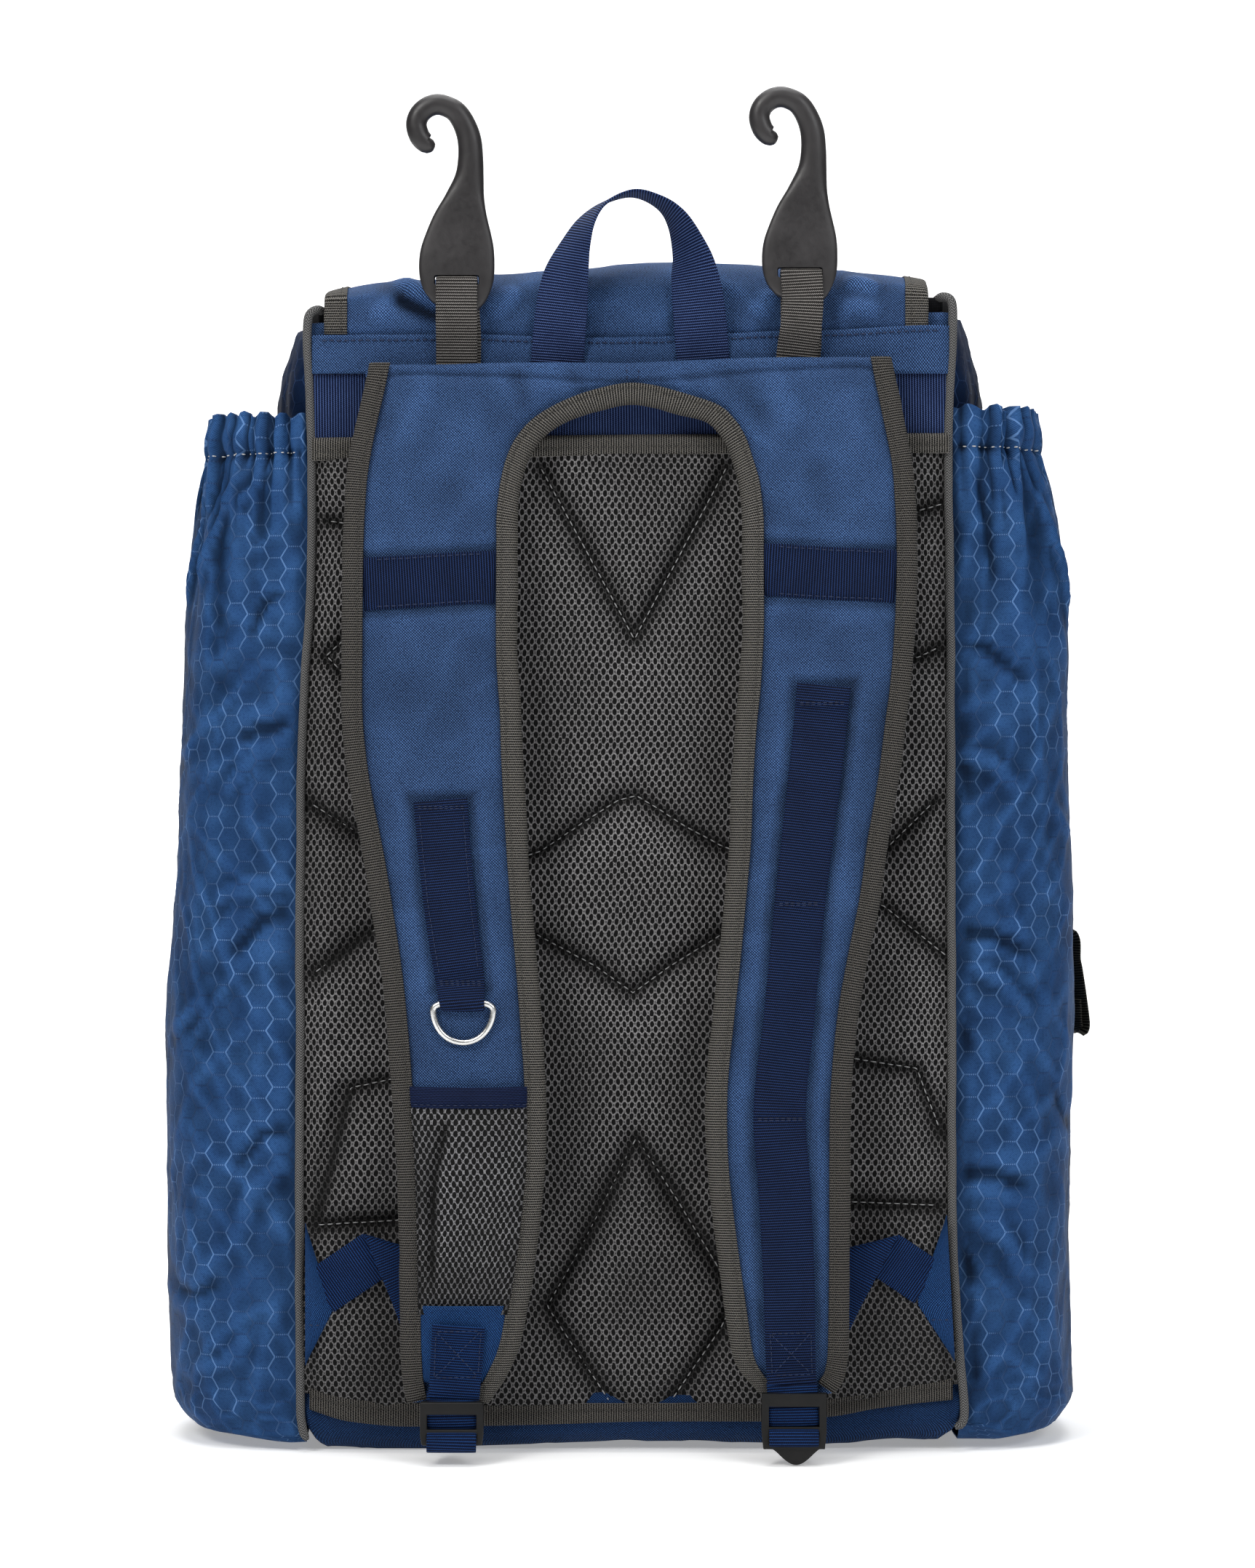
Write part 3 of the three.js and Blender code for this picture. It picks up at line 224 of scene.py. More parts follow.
# ------------------------------------------------------------------ meshes
class Builder:
    """Collects grids of quads, with cloth coordinates in millimetres on every corner, into one object."""

    def __init__(self):
        self.v, self.f, self.c, self.k, self.m, self.n = [], [], [], [], [], 0

    def grid(self, P, s=None, t=None, closed=False, ring=False, mat=0, flip=False, painted_shading=None):
        """P is rows x columns x 3. ring joins the last column to the first, closed the last row to the first.
        The last argument is painted shade on each point, 0 to 1, the share by which its colour is darkened in a fold;
        below 0, on a crest, it is a painted highlight."""
        P = np.asarray(P, float)
        R, C = P.shape[:2]
        s = lengths(P, 0) if s is None else np.asarray(s, float)
        if t is None:
            t = lengths(P, 1)
        t = np.asarray(t, float)
        cols = C if ring else C - 1
        rows = R if closed else R - 1
        if s.ndim == 1:
            s = np.repeat(s[:, None], C + 1, 1)
        if t.ndim == 1:
            t = np.repeat(t[None], R, 0)
        if t.shape[1] == C:
            t = np.concatenate([t, t[:, -1:] + np.linalg.norm(P[:, :1] - P[:, -1:], axis=-1)], 1)
        if s.shape[1] == C:
            s = np.concatenate([s, s[:, :1]], 1)
        if closed:
            step = np.linalg.norm(P[:1] - P[-1:], axis=-1).mean()
            s = np.concatenate([s, s[-1:] + step], 0)
            t = np.concatenate([t, t[:1]], 0)
        r, c = np.meshgrid(np.arange(rows), np.arange(cols), indexing="ij")
        r, c = r.ravel(), c.ravel()
        r2, c2 = (r + 1) % R, (c + 1) % C
        quad = np.stack([r * C + c, r * C + c2, r2 * C + c2, r2 * C + c], 1) + self.n
        uv = np.stack([np.stack([s[r, c], t[r, c]], -1), np.stack([s[r, c + 1], t[r, c + 1]], -1),
                       np.stack([s[r + 1, c + 1], t[r + 1, c + 1]], -1), np.stack([s[r + 1, c], t[r + 1, c]], -1)], 1)
        corner_shading = np.zeros(quad.shape)
        if painted_shading is not None:
            D = np.asarray(painted_shading, float)
            corner_shading = np.stack([D[r, c], D[r, c2], D[r2, c2], D[r2, c]], 1)
        if flip:
            quad, uv, corner_shading = quad[:, ::-1], uv[:, ::-1], corner_shading[:, ::-1]
        self.k.append(corner_shading.ravel())
        self.v.append(P.reshape(-1, 3))
        self.f.extend(quad.tolist())
        self.c.append(uv.reshape(-1, 2))
        if np.isscalar(mat):
            self.m.append(np.full(len(quad), mat))
        else:
            self.m.append(np.asarray(mat)[r, c])
        base = self.n
        self.n += R * C
        return base

    def polygon(self, ids, uv=None, mat=0):
        self.f.append([int(i) for i in ids])
        self.c.append(np.zeros((len(ids), 2)) if uv is None else np.asarray(uv, float))
        self.k.append(np.zeros(len(ids)))
        self.m.append(np.array([mat]))

    def loft(self, rings, s=None, t=None, closed=False, cap=True, mat=0, flip=False, painted_shading=None):
        """A solid through rings of points."""
        rings = np.asarray(rings, float)
        R, C = rings.shape[:2]
        base = self.grid(rings, s, t, closed=closed, ring=True, mat=mat, flip=flip, painted_shading=painted_shading)
        if cap and not closed:
            m = mat if np.isscalar(mat) else 0
            a, b = list(range(base, base + C)), list(range(base + (R - 1) * C, base + R * C))
            self.polygon(a if flip else a[::-1], mat=m)
            self.polygon(b[::-1] if flip else b, mat=m)
        return base

    def sheet(self, F, B, s=None, t=None, mat=0, back_mat=None, flip=False, painted_shading=None):
        """Front and back skins with a hem all round."""
        F, B = np.asarray(F, float), np.asarray(B, float)
        R, C = F.shape[:2]
        a = self.grid(F, s, t, mat=mat, flip=flip, painted_shading=painted_shading)
        b = self.grid(B, s, t, mat=mat if back_mat is None else back_mat, flip=not flip, painted_shading=painted_shading)
        m = mat if np.isscalar(mat) else 0
        top = [(a + c, b + c) for c in range(C)]
        right = [(a + r * C + C - 1, b + r * C + C - 1) for r in range(R)]
        foot = [(a + (R - 1) * C + c, b + (R - 1) * C + c) for c in range(C - 1, -1, -1)]
        left = [(a + r * C, b + r * C) for r in range(R - 1, -1, -1)]
        S = lengths(F, 0) if s is None else np.asarray(s, float)
        for line in (top, right, foot, left):
            for (p, q), (p2, q2) in zip(line, line[1:]):
                ids = [p, q, q2, p2]
                self.polygon(ids[::-1] if flip else ids, mat=m)
        return a

    def object(self, name, mats, slot=None, ride="root", smooth=True, sharp=None):
        v = np.concatenate(self.v) * MM
        mesh = bpy.data.meshes.new(name)
        mesh.from_pydata(v.tolist(), [], self.f)
        c = np.concatenate(self.c)
        # the third value of cl is the painted shade of each corner, below 0 a painted highlight
        a = mesh.attributes.new("cl", "FLOAT_VECTOR", "CORNER")
        a.data.foreach_set("vector", np.concatenate([c, np.concatenate(self.k)[:, None]], 1).ravel())
        for m in mats:
            mesh.materials.append(m)
        mesh.polygons.foreach_set("material_index", np.concatenate(self.m).astype(int))
        mesh.polygons.foreach_set("use_smooth", [smooth] * len(mesh.polygons))
        if sharp is not None:
            mesh.set_sharp_from_angle(angle=math.radians(sharp))
        mesh.update()
        o = bpy.data.objects.new(name, mesh)
        bpy.context.scene.collection.objects.link(o)
        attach(o, ride)
        return o


def signed_volume(o):
    m = o.data
    m.calc_loop_triangles()
    co = np.empty(len(m.vertices) * 3)
    m.vertices.foreach_get("co", co)
    co = co.reshape(-1, 3)
    tri = np.empty(len(m.loop_triangles) * 3, dtype=np.int32)
    m.loop_triangles.foreach_get("vertices", tri)
    a, b, c = (co[tri.reshape(-1, 3)[:, k]] for k in range(3))
    return float((a * np.cross(b, c)).sum() / 6)


def outward(o):
    """Turns a closed mesh's faces outwards."""
    if signed_volume(o) < 0:
        o.data.flip_normals()
    return o


def apply_modifiers(o):
    dg = bpy.context.evaluated_depsgraph_get()
    mesh = bpy.data.meshes.new_from_object(o.evaluated_get(dg), preserve_all_data_layers=True, depsgraph=dg)
    o.modifiers.clear()
    old = o.data
    o.data = mesh
    mesh.name = o.name
    bpy.data.meshes.remove(old)
    return o


# ------------------------------------------------------------------ materials
def srgb(r, g, b):
    return tuple(((v / 255) / 12.92 if v / 255 <= 0.04045 else ((v / 255 + 0.055) / 1.055) ** 2.4) for v in (r, g, b)) + (1.0,)


class Shade:
    """A node material with short names for its maths."""

    def __init__(self, name, rough=0.8, **sockets):
        self.mat = bpy.data.materials.new(name)
        self.mat.use_nodes = True
        self.t = self.mat.node_tree
        self.p = self.t.nodes["Principled BSDF"]
        self.p.inputs["Roughness"].default_value = rough
        for k, v in sockets.items():
            self.p.inputs[k.replace("_", " ")].default_value = v
        self._cl = None

    def node(self, kind, **props):
        n = self.t.nodes.new(kind)
        for k, v in props.items():
            setattr(n, k, v)
        return n

    def put(self, socket, value):
        if isinstance(value, bpy.types.NodeSocket):
            self.t.links.new(value, socket)
        else:
            socket.default_value = value

    def cl(self):
        if self._cl is None:
            a = self.node("ShaderNodeAttribute", attribute_name="cl")
            s = self.node("ShaderNodeSeparateXYZ")
            self.t.links.new(a.outputs["Vector"], s.inputs[0])
            v = self.node("ShaderNodeCombineXYZ")
            self.t.links.new(s.outputs[0], v.inputs[0])
            self.t.links.new(s.outputs[1], v.inputs[1])
            self._cl = (s.outputs[0], s.outputs[1], v.outputs[0])
            # third value: painted shade, below 0 painted highlight
            self._painted_shading = s.outputs[2]
        return self._cl

    def obj(self):
        """Object coordinates in millimetres."""
        c = self.node("ShaderNodeTexCoord")
        v = self.node("ShaderNodeVectorMath", operation="SCALE")
        self.t.links.new(c.outputs["Object"], v.inputs[0])
        v.inputs["Scale"].default_value = 1000.0
        return v.outputs[0]

    def split(self, vec):
        s = self.node("ShaderNodeSeparateXYZ")
        self.t.links.new(vec, s.inputs[0])
        return s.outputs[0], s.outputs[1], s.outputs[2]

    def m(self, op, a, b=None, c=None, clamp=False):
        n = self.node("ShaderNodeMath", operation=op, use_clamp=clamp)
        self.put(n.inputs[0], a)
        if b is not None:
            self.put(n.inputs[1], b)
        if c is not None:
            self.put(n.inputs[2], c)
        return n.outputs[0]

    def step(self, lo, hi, x, out0=0.0, out1=1.0):
        n = self.node("ShaderNodeMapRange", interpolation_type="SMOOTHSTEP")
        self.put(n.inputs["Value"], x)
        for k, v in (("From Min", lo), ("From Max", hi), ("To Min", out0), ("To Max", out1)):
            self.put(n.inputs[k], v)
        return n.outputs["Result"]

    def wave(self, x, pitch, phase=0.0):
        """0 to 1, one crest each pitch."""
        return self.m("MULTIPLY_ADD", self.m("COSINE", self.m("MULTIPLY_ADD", x, 2 * math.pi / pitch, phase)), 0.5, 0.5)

    def noise(self, vec, scale, detail=2.0, rough=0.5):
        n = self.node("ShaderNodeTexNoise")
        self.t.links.new(vec, n.inputs["Vector"])
        n.inputs["Scale"].default_value = scale
        n.inputs["Detail"].default_value = detail
        n.inputs["Roughness"].default_value = rough
        return n.outputs["Fac"]

    def mix(self, fac, a, b, blend="MIX"):
        n = self.node("ShaderNodeMix", data_type="RGBA", blend_type=blend)
        self.put(n.inputs[0], fac)
        self.put(n.inputs[6], a)
        self.put(n.inputs[7], b)
        return n.outputs[2]

    def mixf(self, fac, a, b):
        n = self.node("ShaderNodeMix", data_type="FLOAT")
        self.put(n.inputs[0], fac)
        self.put(n.inputs[2], a)
        self.put(n.inputs[3], b)
        return n.outputs[0]

    def bump(self, height, distance, strength=1.0, under=None):
        n = self.node("ShaderNodeBump")
        n.inputs["Strength"].default_value = strength
        n.inputs["Distance"].default_value = distance * MM
        self.put(n.inputs["Height"], height)
        if under is not None:
            self.t.links.new(under, n.inputs["Normal"])
        return n.outputs[0]

    def finish(self, colour=None, normal=None, rough=None):
        if colour is not None and self._cl is not None:
            # painted shade darkens the folds, painted highlight lightens the crests
            v = self.node("ShaderNodeVectorMath", operation="SCALE")
            self.put(v.inputs[0], colour if isinstance(colour, bpy.types.NodeSocket) else tuple(colour)[:3])
            self.put(v.inputs["Scale"], self.m("SUBTRACT", 1.0, self._painted_shading))
            colour = v.outputs[0]
        if colour is not None:
            self.put(self.p.inputs["Base Color"], colour)
        if normal is not None:
            self.t.links.new(normal, self.p.inputs["Normal"])
        if rough is not None:
            self.put(self.p.inputs["Roughness"], rough)
        return self.mat


def polyester(name, light, dark, pitch=1.24):
    """Close twill: beads of thread in a diagonal lattice, one diagonal stronger than the other."""
    g = Shade(name, 0.72, Specular_IOR_Level=0.1)
    x, y, vec = g.cl()
    wander = g.m("MULTIPLY", g.noise(vec, 0.35, 2.0), 0.5)
    one = g.wave(g.m("ADD", g.m("ADD", x, y), wander), pitch)
    two = g.wave(g.m("SUBTRACT", x, y), pitch * 1.06)
    weave = g.m("MULTIPLY", g.m("MULTIPLY_ADD", one, 0.8, 0.2), g.m("MULTIPLY_ADD", two, 0.65, 0.35))
    yarn = g.noise(vec, 1.1, 2.0, 0.6)
    cloudy = g.noise(vec, 0.045, 3.0)
    c = g.mix(g.step(0.08, 0.8, weave), dark, light)
    c = g.mix(g.step(0.42, 0.72, yarn, 0.0, 0.6), c, dark)
    c = g.mix(g.step(0.35, 0.7, cloudy, 0.0, 0.14), c, dark)
    b = g.bump(g.m("ADD", weave, g.m("MULTIPLY", yarn, 0.4)), 0.3, 0.85)
    b = g.bump(g.noise(vec, 0.09, 3.0), 0.8, 0.35, b)
    return g.finish(c, b)


def ripstop(name, base, dark, line):
    g = Shade(name, 0.58, Specular_IOR_Level=0.04)
    x, y, vec = g.cl()
    warp = g.noise(vec, 0.02, 2.0)
    r = 5.2
    w, h = r / 0.8660254 * 3, r * 2

    def cell(ox, oy):
        cx = g.m("SUBTRACT", g.m("MODULO", g.m("ADD", x, 3000 + ox), w), w / 2)
        cy = g.m("SUBTRACT", g.m("MODULO", g.m("ADD", y, 3000 + oy), h), h / 2)
        ax, ay = g.m("ABSOLUTE", cx), g.m("ABSOLUTE", cy)
        slanted = g.m("ADD", g.m("MULTIPLY", ax, 0.8660254), g.m("MULTIPLY", ay, 0.5))
        return g.m("MAXIMUM", ay, slanted), ay, slanted

    d1, v1, s1 = cell(0, 0)
    d2, v2, s2 = cell(w / 2, h / 2)
    first = g.m("LESS_THAN", d1, d2)
    d = g.m("MINIMUM", d1, d2)
    flat = g.mixf(first, g.m("GREATER_THAN", v2, s2), g.m("GREATER_THAN", v1, s1))
    edge = g.step(r - 0.5, r - 0.16, d)
    dash = g.wave(x, 0.95)
    # fine lustre of the ground weave, its hatching turned from cell to cell
    fine_a, fine_b = g.wave(g.m("ADD", x, y), 0.85), g.wave(g.m("SUBTRACT", x, y), 0.85)
    side = g.mixf(first, g.m("GREATER_THAN", g.m("MODULO", g.m("ADD", x, 3000 + w / 2), w), w / 2), g.m("GREATER_THAN", g.m("MODULO", g.m("ADD", x, 3000), w), w / 2))
    hatch = g.mixf(side, fine_a, fine_b)
    patch = g.noise(vec, 0.05, 2.0)
    ground = g.mix(g.step(0.3, 0.75, patch, 0.55, 1.0), dark, base)
    ground = g.mix(g.m("MULTIPLY", hatch, 0.62), ground, dark)
    ground = g.mix(g.step(0.45, 0.75, g.noise(vec, 0.9, 2.0, 0.6), 0.0, 0.4), ground, dark)
    ground = g.mix(g.m("MULTIPLY", g.step(r - 0.95, r - 0.5, d), 0.14), ground, dark)
    shine = g.noise(vec, 0.03, 1.0)
    tint = g.mix(g.step(0.38, 0.58, shine, 0.22, 1.0), dark, line)
    horizontal = g.mix(dash, dark, tint)
    edge_c = g.mix(flat, tint, g.mix(0.85, tint, horizontal))
    c = g.mix(g.m("MULTIPLY", edge, 0.7), ground, edge_c)
    b = g.bump(g.m("ADD", g.m("MULTIPLY", edge, 1.0), g.m("MULTIPLY", hatch, 0.5)), 0.16, 0.65)
    b = g.bump(g.noise(vec, 0.12, 3.0, 0.55), 1.3, 0.3, b)
    rough = g.step(0.0, 1.0, g.noise(vec, 0.1, 2.0), 0.52, 0.62)
    return g.finish(c, b, rough)


def webbing(name, light, dark, pitch=1.4, across=0.95, rough=0.68):
    g = Shade(name, rough, Specular_IOR_Level=0.1)
    x, y, vec = g.cl()
    rib = g.wave(x, pitch)
    thread = g.wave(g.m("ADD", y, g.m("MULTIPLY", g.m("FLOOR", g.m("DIVIDE", x, pitch)), across * 0.5)), across)
    h = g.m("MULTIPLY", rib, g.m("MULTIPLY_ADD", thread, 0.55, 0.45))
    fuzz = g.noise(vec, 1.8, 2.0, 0.6)
    c = g.mix(g.step(0.3, 0.92, h), dark, light)
    c = g.mix(g.step(0.46, 0.75, fuzz, 0.0, 0.6), c, dark)
    c = g.mix(g.step(0.4, 0.7, g.noise(vec, 0.06, 2.0), 0.0, 0.2), c, dark)
    b = g.bump(g.m("ADD", h, g.m("MULTIPLY", fuzz, 0.2)), 0.5, 0.85)
    return g.finish(c, b)


def grosgrain(name, light, dark, fleck):
    g = Shade(name, 0.82, Specular_IOR_Level=0.2)
    x, y, vec = g.cl()
    rib = g.wave(x, 1.15)
    thread = g.wave(g.m("ADD", y, g.m("MULTIPLY", g.m("FLOOR", g.m("DIVIDE", x, 1.15)), 0.45)), 1.0)
    h = g.m("MULTIPLY", rib, g.m("MULTIPLY_ADD", thread, 0.65, 0.35))
    fuzz = g.noise(vec, 1.5, 3.0, 0.6)
    c = g.mix(g.step(0.15, 0.85, h), dark, light)
    c = g.mix(g.m("MULTIPLY", g.step(0.5, 0.75, fuzz), 0.45), c, fleck)
    c = g.mix(g.step(0.5, 0.25, fuzz, 0.0, 0.6), c, dark)
    b = g.bump(g.m("ADD", h, g.m("MULTIPLY", fuzz, 0.4)), 0.5, 0.85)
    return g.finish(c, b)


def spacer_mesh(name, strand, light, hole, px=3.42, pz=2.62):
    """Knitted mesh: rows of oval holes, half a pitch to the side in every other row, each ringed by a raised ring of
    lighter yarn, its lightness partly a painted highlight.
    """
    g = Shade(name, 0.85, Specular_IOR_Level=0.2)
    x, y, vec = g.cl()
    sway = g.m("MULTIPLY", g.m("SUBTRACT", g.noise(vec, 0.02, 1.0), 0.5), 5.0)
    x2 = g.m("ADD", x, sway)
    y2 = g.m("ADD", y, g.m("MULTIPLY", g.m("SUBTRACT", g.noise(vec, 0.013, 1.0), 0.5), 6.0))

    def cell(ox, oy):
        cx = g.m("SUBTRACT", g.m("MODULO", g.m("ADD", x2, 3600 + ox), px), px / 2)
        cy = g.m("SUBTRACT", g.m("MODULO", g.m("ADD", y2, 3660 + oy), 2 * pz), pz)
        a = g.m("MULTIPLY", cx, 1.0 / 1.04)
        b = g.m("MULTIPLY", cy, 1.0 / 1.62)
        return g.m("SQRT", g.m("ADD", g.m("MULTIPLY", a, a), g.m("MULTIPLY", b, b)))

    ragged = g.m("MULTIPLY", g.m("SUBTRACT", g.noise(vec, 0.55, 2.0, 0.6), 0.5), 0.75)
    d = g.m("ADD", g.m("MINIMUM", cell(0, 0), cell(px / 2, pz)), ragged)
    open_ = g.step(0.98, 0.76, d)
    # the raised ring round each hole: lighter yarn and a painted highlight in one mask
    cord_and_highlight = g.m("MULTIPLY", g.step(0.88, 1.08, d), g.step(1.5, 1.2, d))
    fuzz = g.noise(vec, 1.4, 3.0, 0.65)
    twist = g.wave(g.m("ADD", x, g.m("MULTIPLY", y, 1.3)), 0.75)
    c = g.mix(g.m("MULTIPLY_ADD", cord_and_highlight, 0.75, 0.0), strand, light)
    c = g.mix(g.m("MULTIPLY", g.step(0.42, 0.68, fuzz), 0.7), c, hole)
    c = g.mix(g.m("MULTIPLY", twist, 0.4), c, strand)
    c = g.mix(open_, c, hole)
    hgt = g.m("SUBTRACT", g.m("ADD", g.m("MULTIPLY", cord_and_highlight, 0.5), g.m("MULTIPLY", fuzz, 0.25)), g.m("MULTIPLY", open_, 1.3))
    b = g.bump(hgt, 0.75, 0.75)
    return g.finish(c, b)


def herringbone(name, light, dark):
    g = Shade(name, 0.8, Specular_IOR_Level=0.2)
    x, y, vec = g.cl()
    tri = g.m("PINGPONG", y, 1.3)
    h = g.wave(g.m("ADD", x, g.m("MULTIPLY", tri, 1.1)), 1.25)
    gap = g.step(0.0, 0.25, g.m("ABSOLUTE", g.m("SUBTRACT", tri, 0.65)))
    c = g.mix(g.step(0.2, 0.85, h), dark, light)
    c = g.mix(g.m("MULTIPLY", g.step(0.5, 0.8, g.noise(vec, 1.6, 2.0)), 0.4), c, dark)
    b = g.bump(g.m("ADD", h, g.m("MULTIPLY", gap, 0.2)), 0.35, 0.7)
    return g.finish(c, b)


def plastic(name, colour, lift, rough, grain, gloss=0.45):
    g = Shade(name, rough, Specular_IOR_Level=gloss)
    vec = g.obj()
    n = g.noise(vec, grain, 3.0, 0.6)
    c = g.mix(g.step(0.35, 0.75, g.noise(vec, 0.06, 2.0)), colour, lift)
    c = g.mix(g.m("MULTIPLY", n, 0.25), c, lift)
    b = g.bump(n, 0.09, 0.35)
    r = g.step(0.2, 0.8, g.noise(vec, 0.4, 3.0), rough - 0.05, rough + 0.07)
    return g.finish(c, b, r)


def steel(name):
    g = Shade(name, 0.24, Metallic=1.0)
    vec = g.obj()
    n = g.noise(vec, 1.2, 3.0)
    c = g.mix(n, srgb(196, 196, 194), srgb(232, 232, 230))
    return g.finish(c, g.bump(g.noise(vec, 0.9, 2.0), 0.012, 0.2), g.step(0.2, 0.8, n, 0.24, 0.32))


def thread(name, colour, pale):
    g = Shade(name, 0.6, Specular_IOR_Level=0.4)
    x, y, vec = g.cl()
    h = g.wave(g.m("ADD", x, g.m("MULTIPLY", y, 1.2)), 0.45)
    return g.finish(g.mix(h, colour, pale), g.bump(h, 0.06, 0.5))


def lining(name):
    g = Shade(name, 0.9, Specular_IOR_Level=0.05)
    x, y, vec = g.cl()
    h = g.m("MULTIPLY", g.wave(x, 0.8), g.wave(y, 0.8))
    c = g.mix(h, (0.004, 0.004, 0.005, 1), (0.016, 0.016, 0.018, 1))
    return g.finish(c, g.bump(h, 0.1, 0.5))


NAVY_LIGHT, NAVY_DARK = srgb(82, 118, 172), srgb(7, 20, 46)
POLY = polyester("navy_polyester", NAVY_LIGHT, NAVY_DARK)
# darker copy of the navy polyester: painted shade on the body's underside and lowest strip
POLY_SHADED_FOOT = polyester("navy_polyester_foot_painted_shade", srgb(36, 72, 122), srgb(2, 11, 32))
# darker, more saturated copy of the navy polyester: painted shade on the strap's lower patch and the corner tabs
POLY_SHADED_LOW = polyester("navy_polyester_lower_painted_shade", srgb(42, 88, 146), srgb(3, 16, 46))
# darker copy of the ripstop: painted shade on the body's gusset, seen at a grazing angle
RIP_SHADE = ripstop("hexagon_ripstop_gusset_painted_shade", srgb(18, 38, 70), srgb(6, 16, 36), srgb(40, 64, 104))
RIP = ripstop("hexagon_ripstop", srgb(50, 86, 132), srgb(10, 31, 66), srgb(88, 122, 168))
WEB = webbing("navy_webbing", srgb(42, 68, 122), srgb(3, 9, 28), 1.2)
# lighter copy of the navy webbing: painted light on the webbing band and the haul handle at the top
WEB_LIT_TOP = webbing("navy_webbing_upper_painted_light", srgb(88, 114, 172), srgb(8, 18, 46), 1.25)
WEB_LOW = webbing("navy_webbing_lower", srgb(34, 76, 140), srgb(2, 11, 36), 1.2)
WEB_GREY = webbing("grey_webbing", srgb(160, 156, 152), srgb(34, 32, 31), 1.35, 0.9)
WEB_BLACK = webbing("black_webbing", srgb(92, 91, 84), srgb(18, 18, 16), 1.25)
BIND = grosgrain("charcoal_grosgrain", srgb(134, 131, 127), srgb(11, 10, 10), srgb(120, 114, 98))
# darker copy of the grosgrain: painted shade on the strap side bindings and the binding below the mesh
BIND_SHADED_LOW = grosgrain("charcoal_grosgrain_lower_painted_shade", srgb(112, 109, 106), srgb(9, 8, 8), srgb(104, 98, 84))
# the second colour is the lighter yarn of the rings round the holes, partly painted highlight
MESH = spacer_mesh("charcoal_spacer_mesh", srgb(62, 61, 63), srgb(150, 148, 148), (0.0012, 0.0011, 0.0011, 1))
MESH_LIGHT = spacer_mesh("grey_pocket_mesh", srgb(62, 62, 65), srgb(150, 149, 151), (0.0022, 0.0021, 0.0021, 1), 3.0, 2.45)
CORD = herringbone("grey_piping", srgb(112, 112, 112), srgb(48, 47, 47))
HOOK = plastic("hook_plastic", srgb(34, 32, 33), srgb(46, 44, 45), 0.4, 2.2)
BUCKLE = plastic("buckle_plastic", srgb(7, 7, 7), srgb(15, 14, 14), 0.48, 1.6, 0.28)
STEEL = steel("satin_steel")
THREAD_NAVY = thread("navy_thread", srgb(8, 14, 34), srgb(34, 52, 92))
THREAD_DARK = thread("dark_thread", srgb(26, 25, 24), srgb(70, 68, 64))
THREAD_PALE = thread("pale_thread", srgb(150, 152, 158), srgb(222, 222, 222))
THREAD_GREY = thread("grey_thread", srgb(104, 104, 106), srgb(176, 176, 176))
LINING = lining("black_lining")


# ------------------------------------------------------------------ stitches
def along(points, step):
    """Points every step along a polyline, with where each lies along it."""
    P = np.asarray(points, float)
    L = lengths(P[:, None], 0) if P.ndim == 2 else None
    L = np.concatenate([[0], np.cumsum(np.linalg.norm(np.diff(P, axis=0), axis=1))])
    at = np.arange(step / 2, L[-1], step)
    return np.stack([np.interp(at, L, P[:, k]) for k in range(3)], 1), at, L, P


def stitch_line(b, points, normal, length=2.5, gap=1.1, r=0.3, lift=0.1, mat=0, seed=1, jitter=0.15):
    """Short thread arcs along a line on a surface. normal is one vector or one for each point."""
    P = np.asarray(points, float)
    L = np.concatenate([[0], np.cumsum(np.linalg.norm(np.diff(P, axis=0), axis=1))])
    N = np.asarray(normal, float)
    N = np.repeat(N[None], len(P), 0) if N.ndim == 1 else N
    rng = np.random.RandomState(seed)
    pos = gap
    while pos + length < L[-1]:
        rows = []
        ts = np.array([0, 0.22, 0.5, 0.78, 1.0])
        high = np.array([-0.9, 0.35, 0.75, 0.35, -0.9]) * r + lift
        wide = np.array([0.55, 0.95, 1.0, 0.95, 0.55]) * r
        off = (rng.rand() - 0.5) * jitter
        C = np.stack([np.interp(pos + ts * length, L, P[:, k]) for k in range(3)], 1)
        n = np.stack([np.interp(pos + ts * length, L, N[:, k]) for k in range(3)], 1)
        n /= np.linalg.norm(n, axis=1)[:, None]
        d = C[-1] - C[0]
        d /= np.linalg.norm(d) + 1e-9
        s = np.cross(d, n)
        s /= np.linalg.norm(s, axis=1)[:, None] + 1e-9
        C = C + n * high[:, None] + s * off
        ang = np.arange(5) * math.pi / 2.5
        ring = C[:, None] + wide[:, None, None] * (np.cos(ang)[None, :, None] * s[:, None] + np.sin(ang)[None, :, None] * n[:, None])
        b.loft(ring, mat=mat)
        pos += length + gap
    return b


def made(o, *nodes):
    outward(o)
    if nodes:
        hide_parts(*nodes)
    return o


# ------------------------------------------------------------------ shapes along lines
def dense(rows, step, sub=20):
    """Rows resampled smoothly, evenly spaced by their first three columns."""
    rows = np.asarray(rows, float)
    D = catmull(rows, np.linspace(0, len(rows) - 1, (len(rows) - 1) * sub + 1))
    L = np.concatenate([[0], np.cumsum(np.linalg.norm(np.diff(D[:, :3], axis=0), axis=1))])
    at = np.linspace(0, L[-1], max(3, int(L[-1] / step) + 1))
    return np.stack([np.interp(at, L, D[:, k]) for k in range(D.shape[1])], 1)


def unit(v):
    return v / (np.linalg.norm(v, axis=-1, keepdims=True) + 1e-12)


def frames(C, W):
    T = unit(np.gradient(C, axis=0))
    W = unit(W - (W * T).sum(1, keepdims=True) * T)
    return T, W, unit(np.cross(T, W))


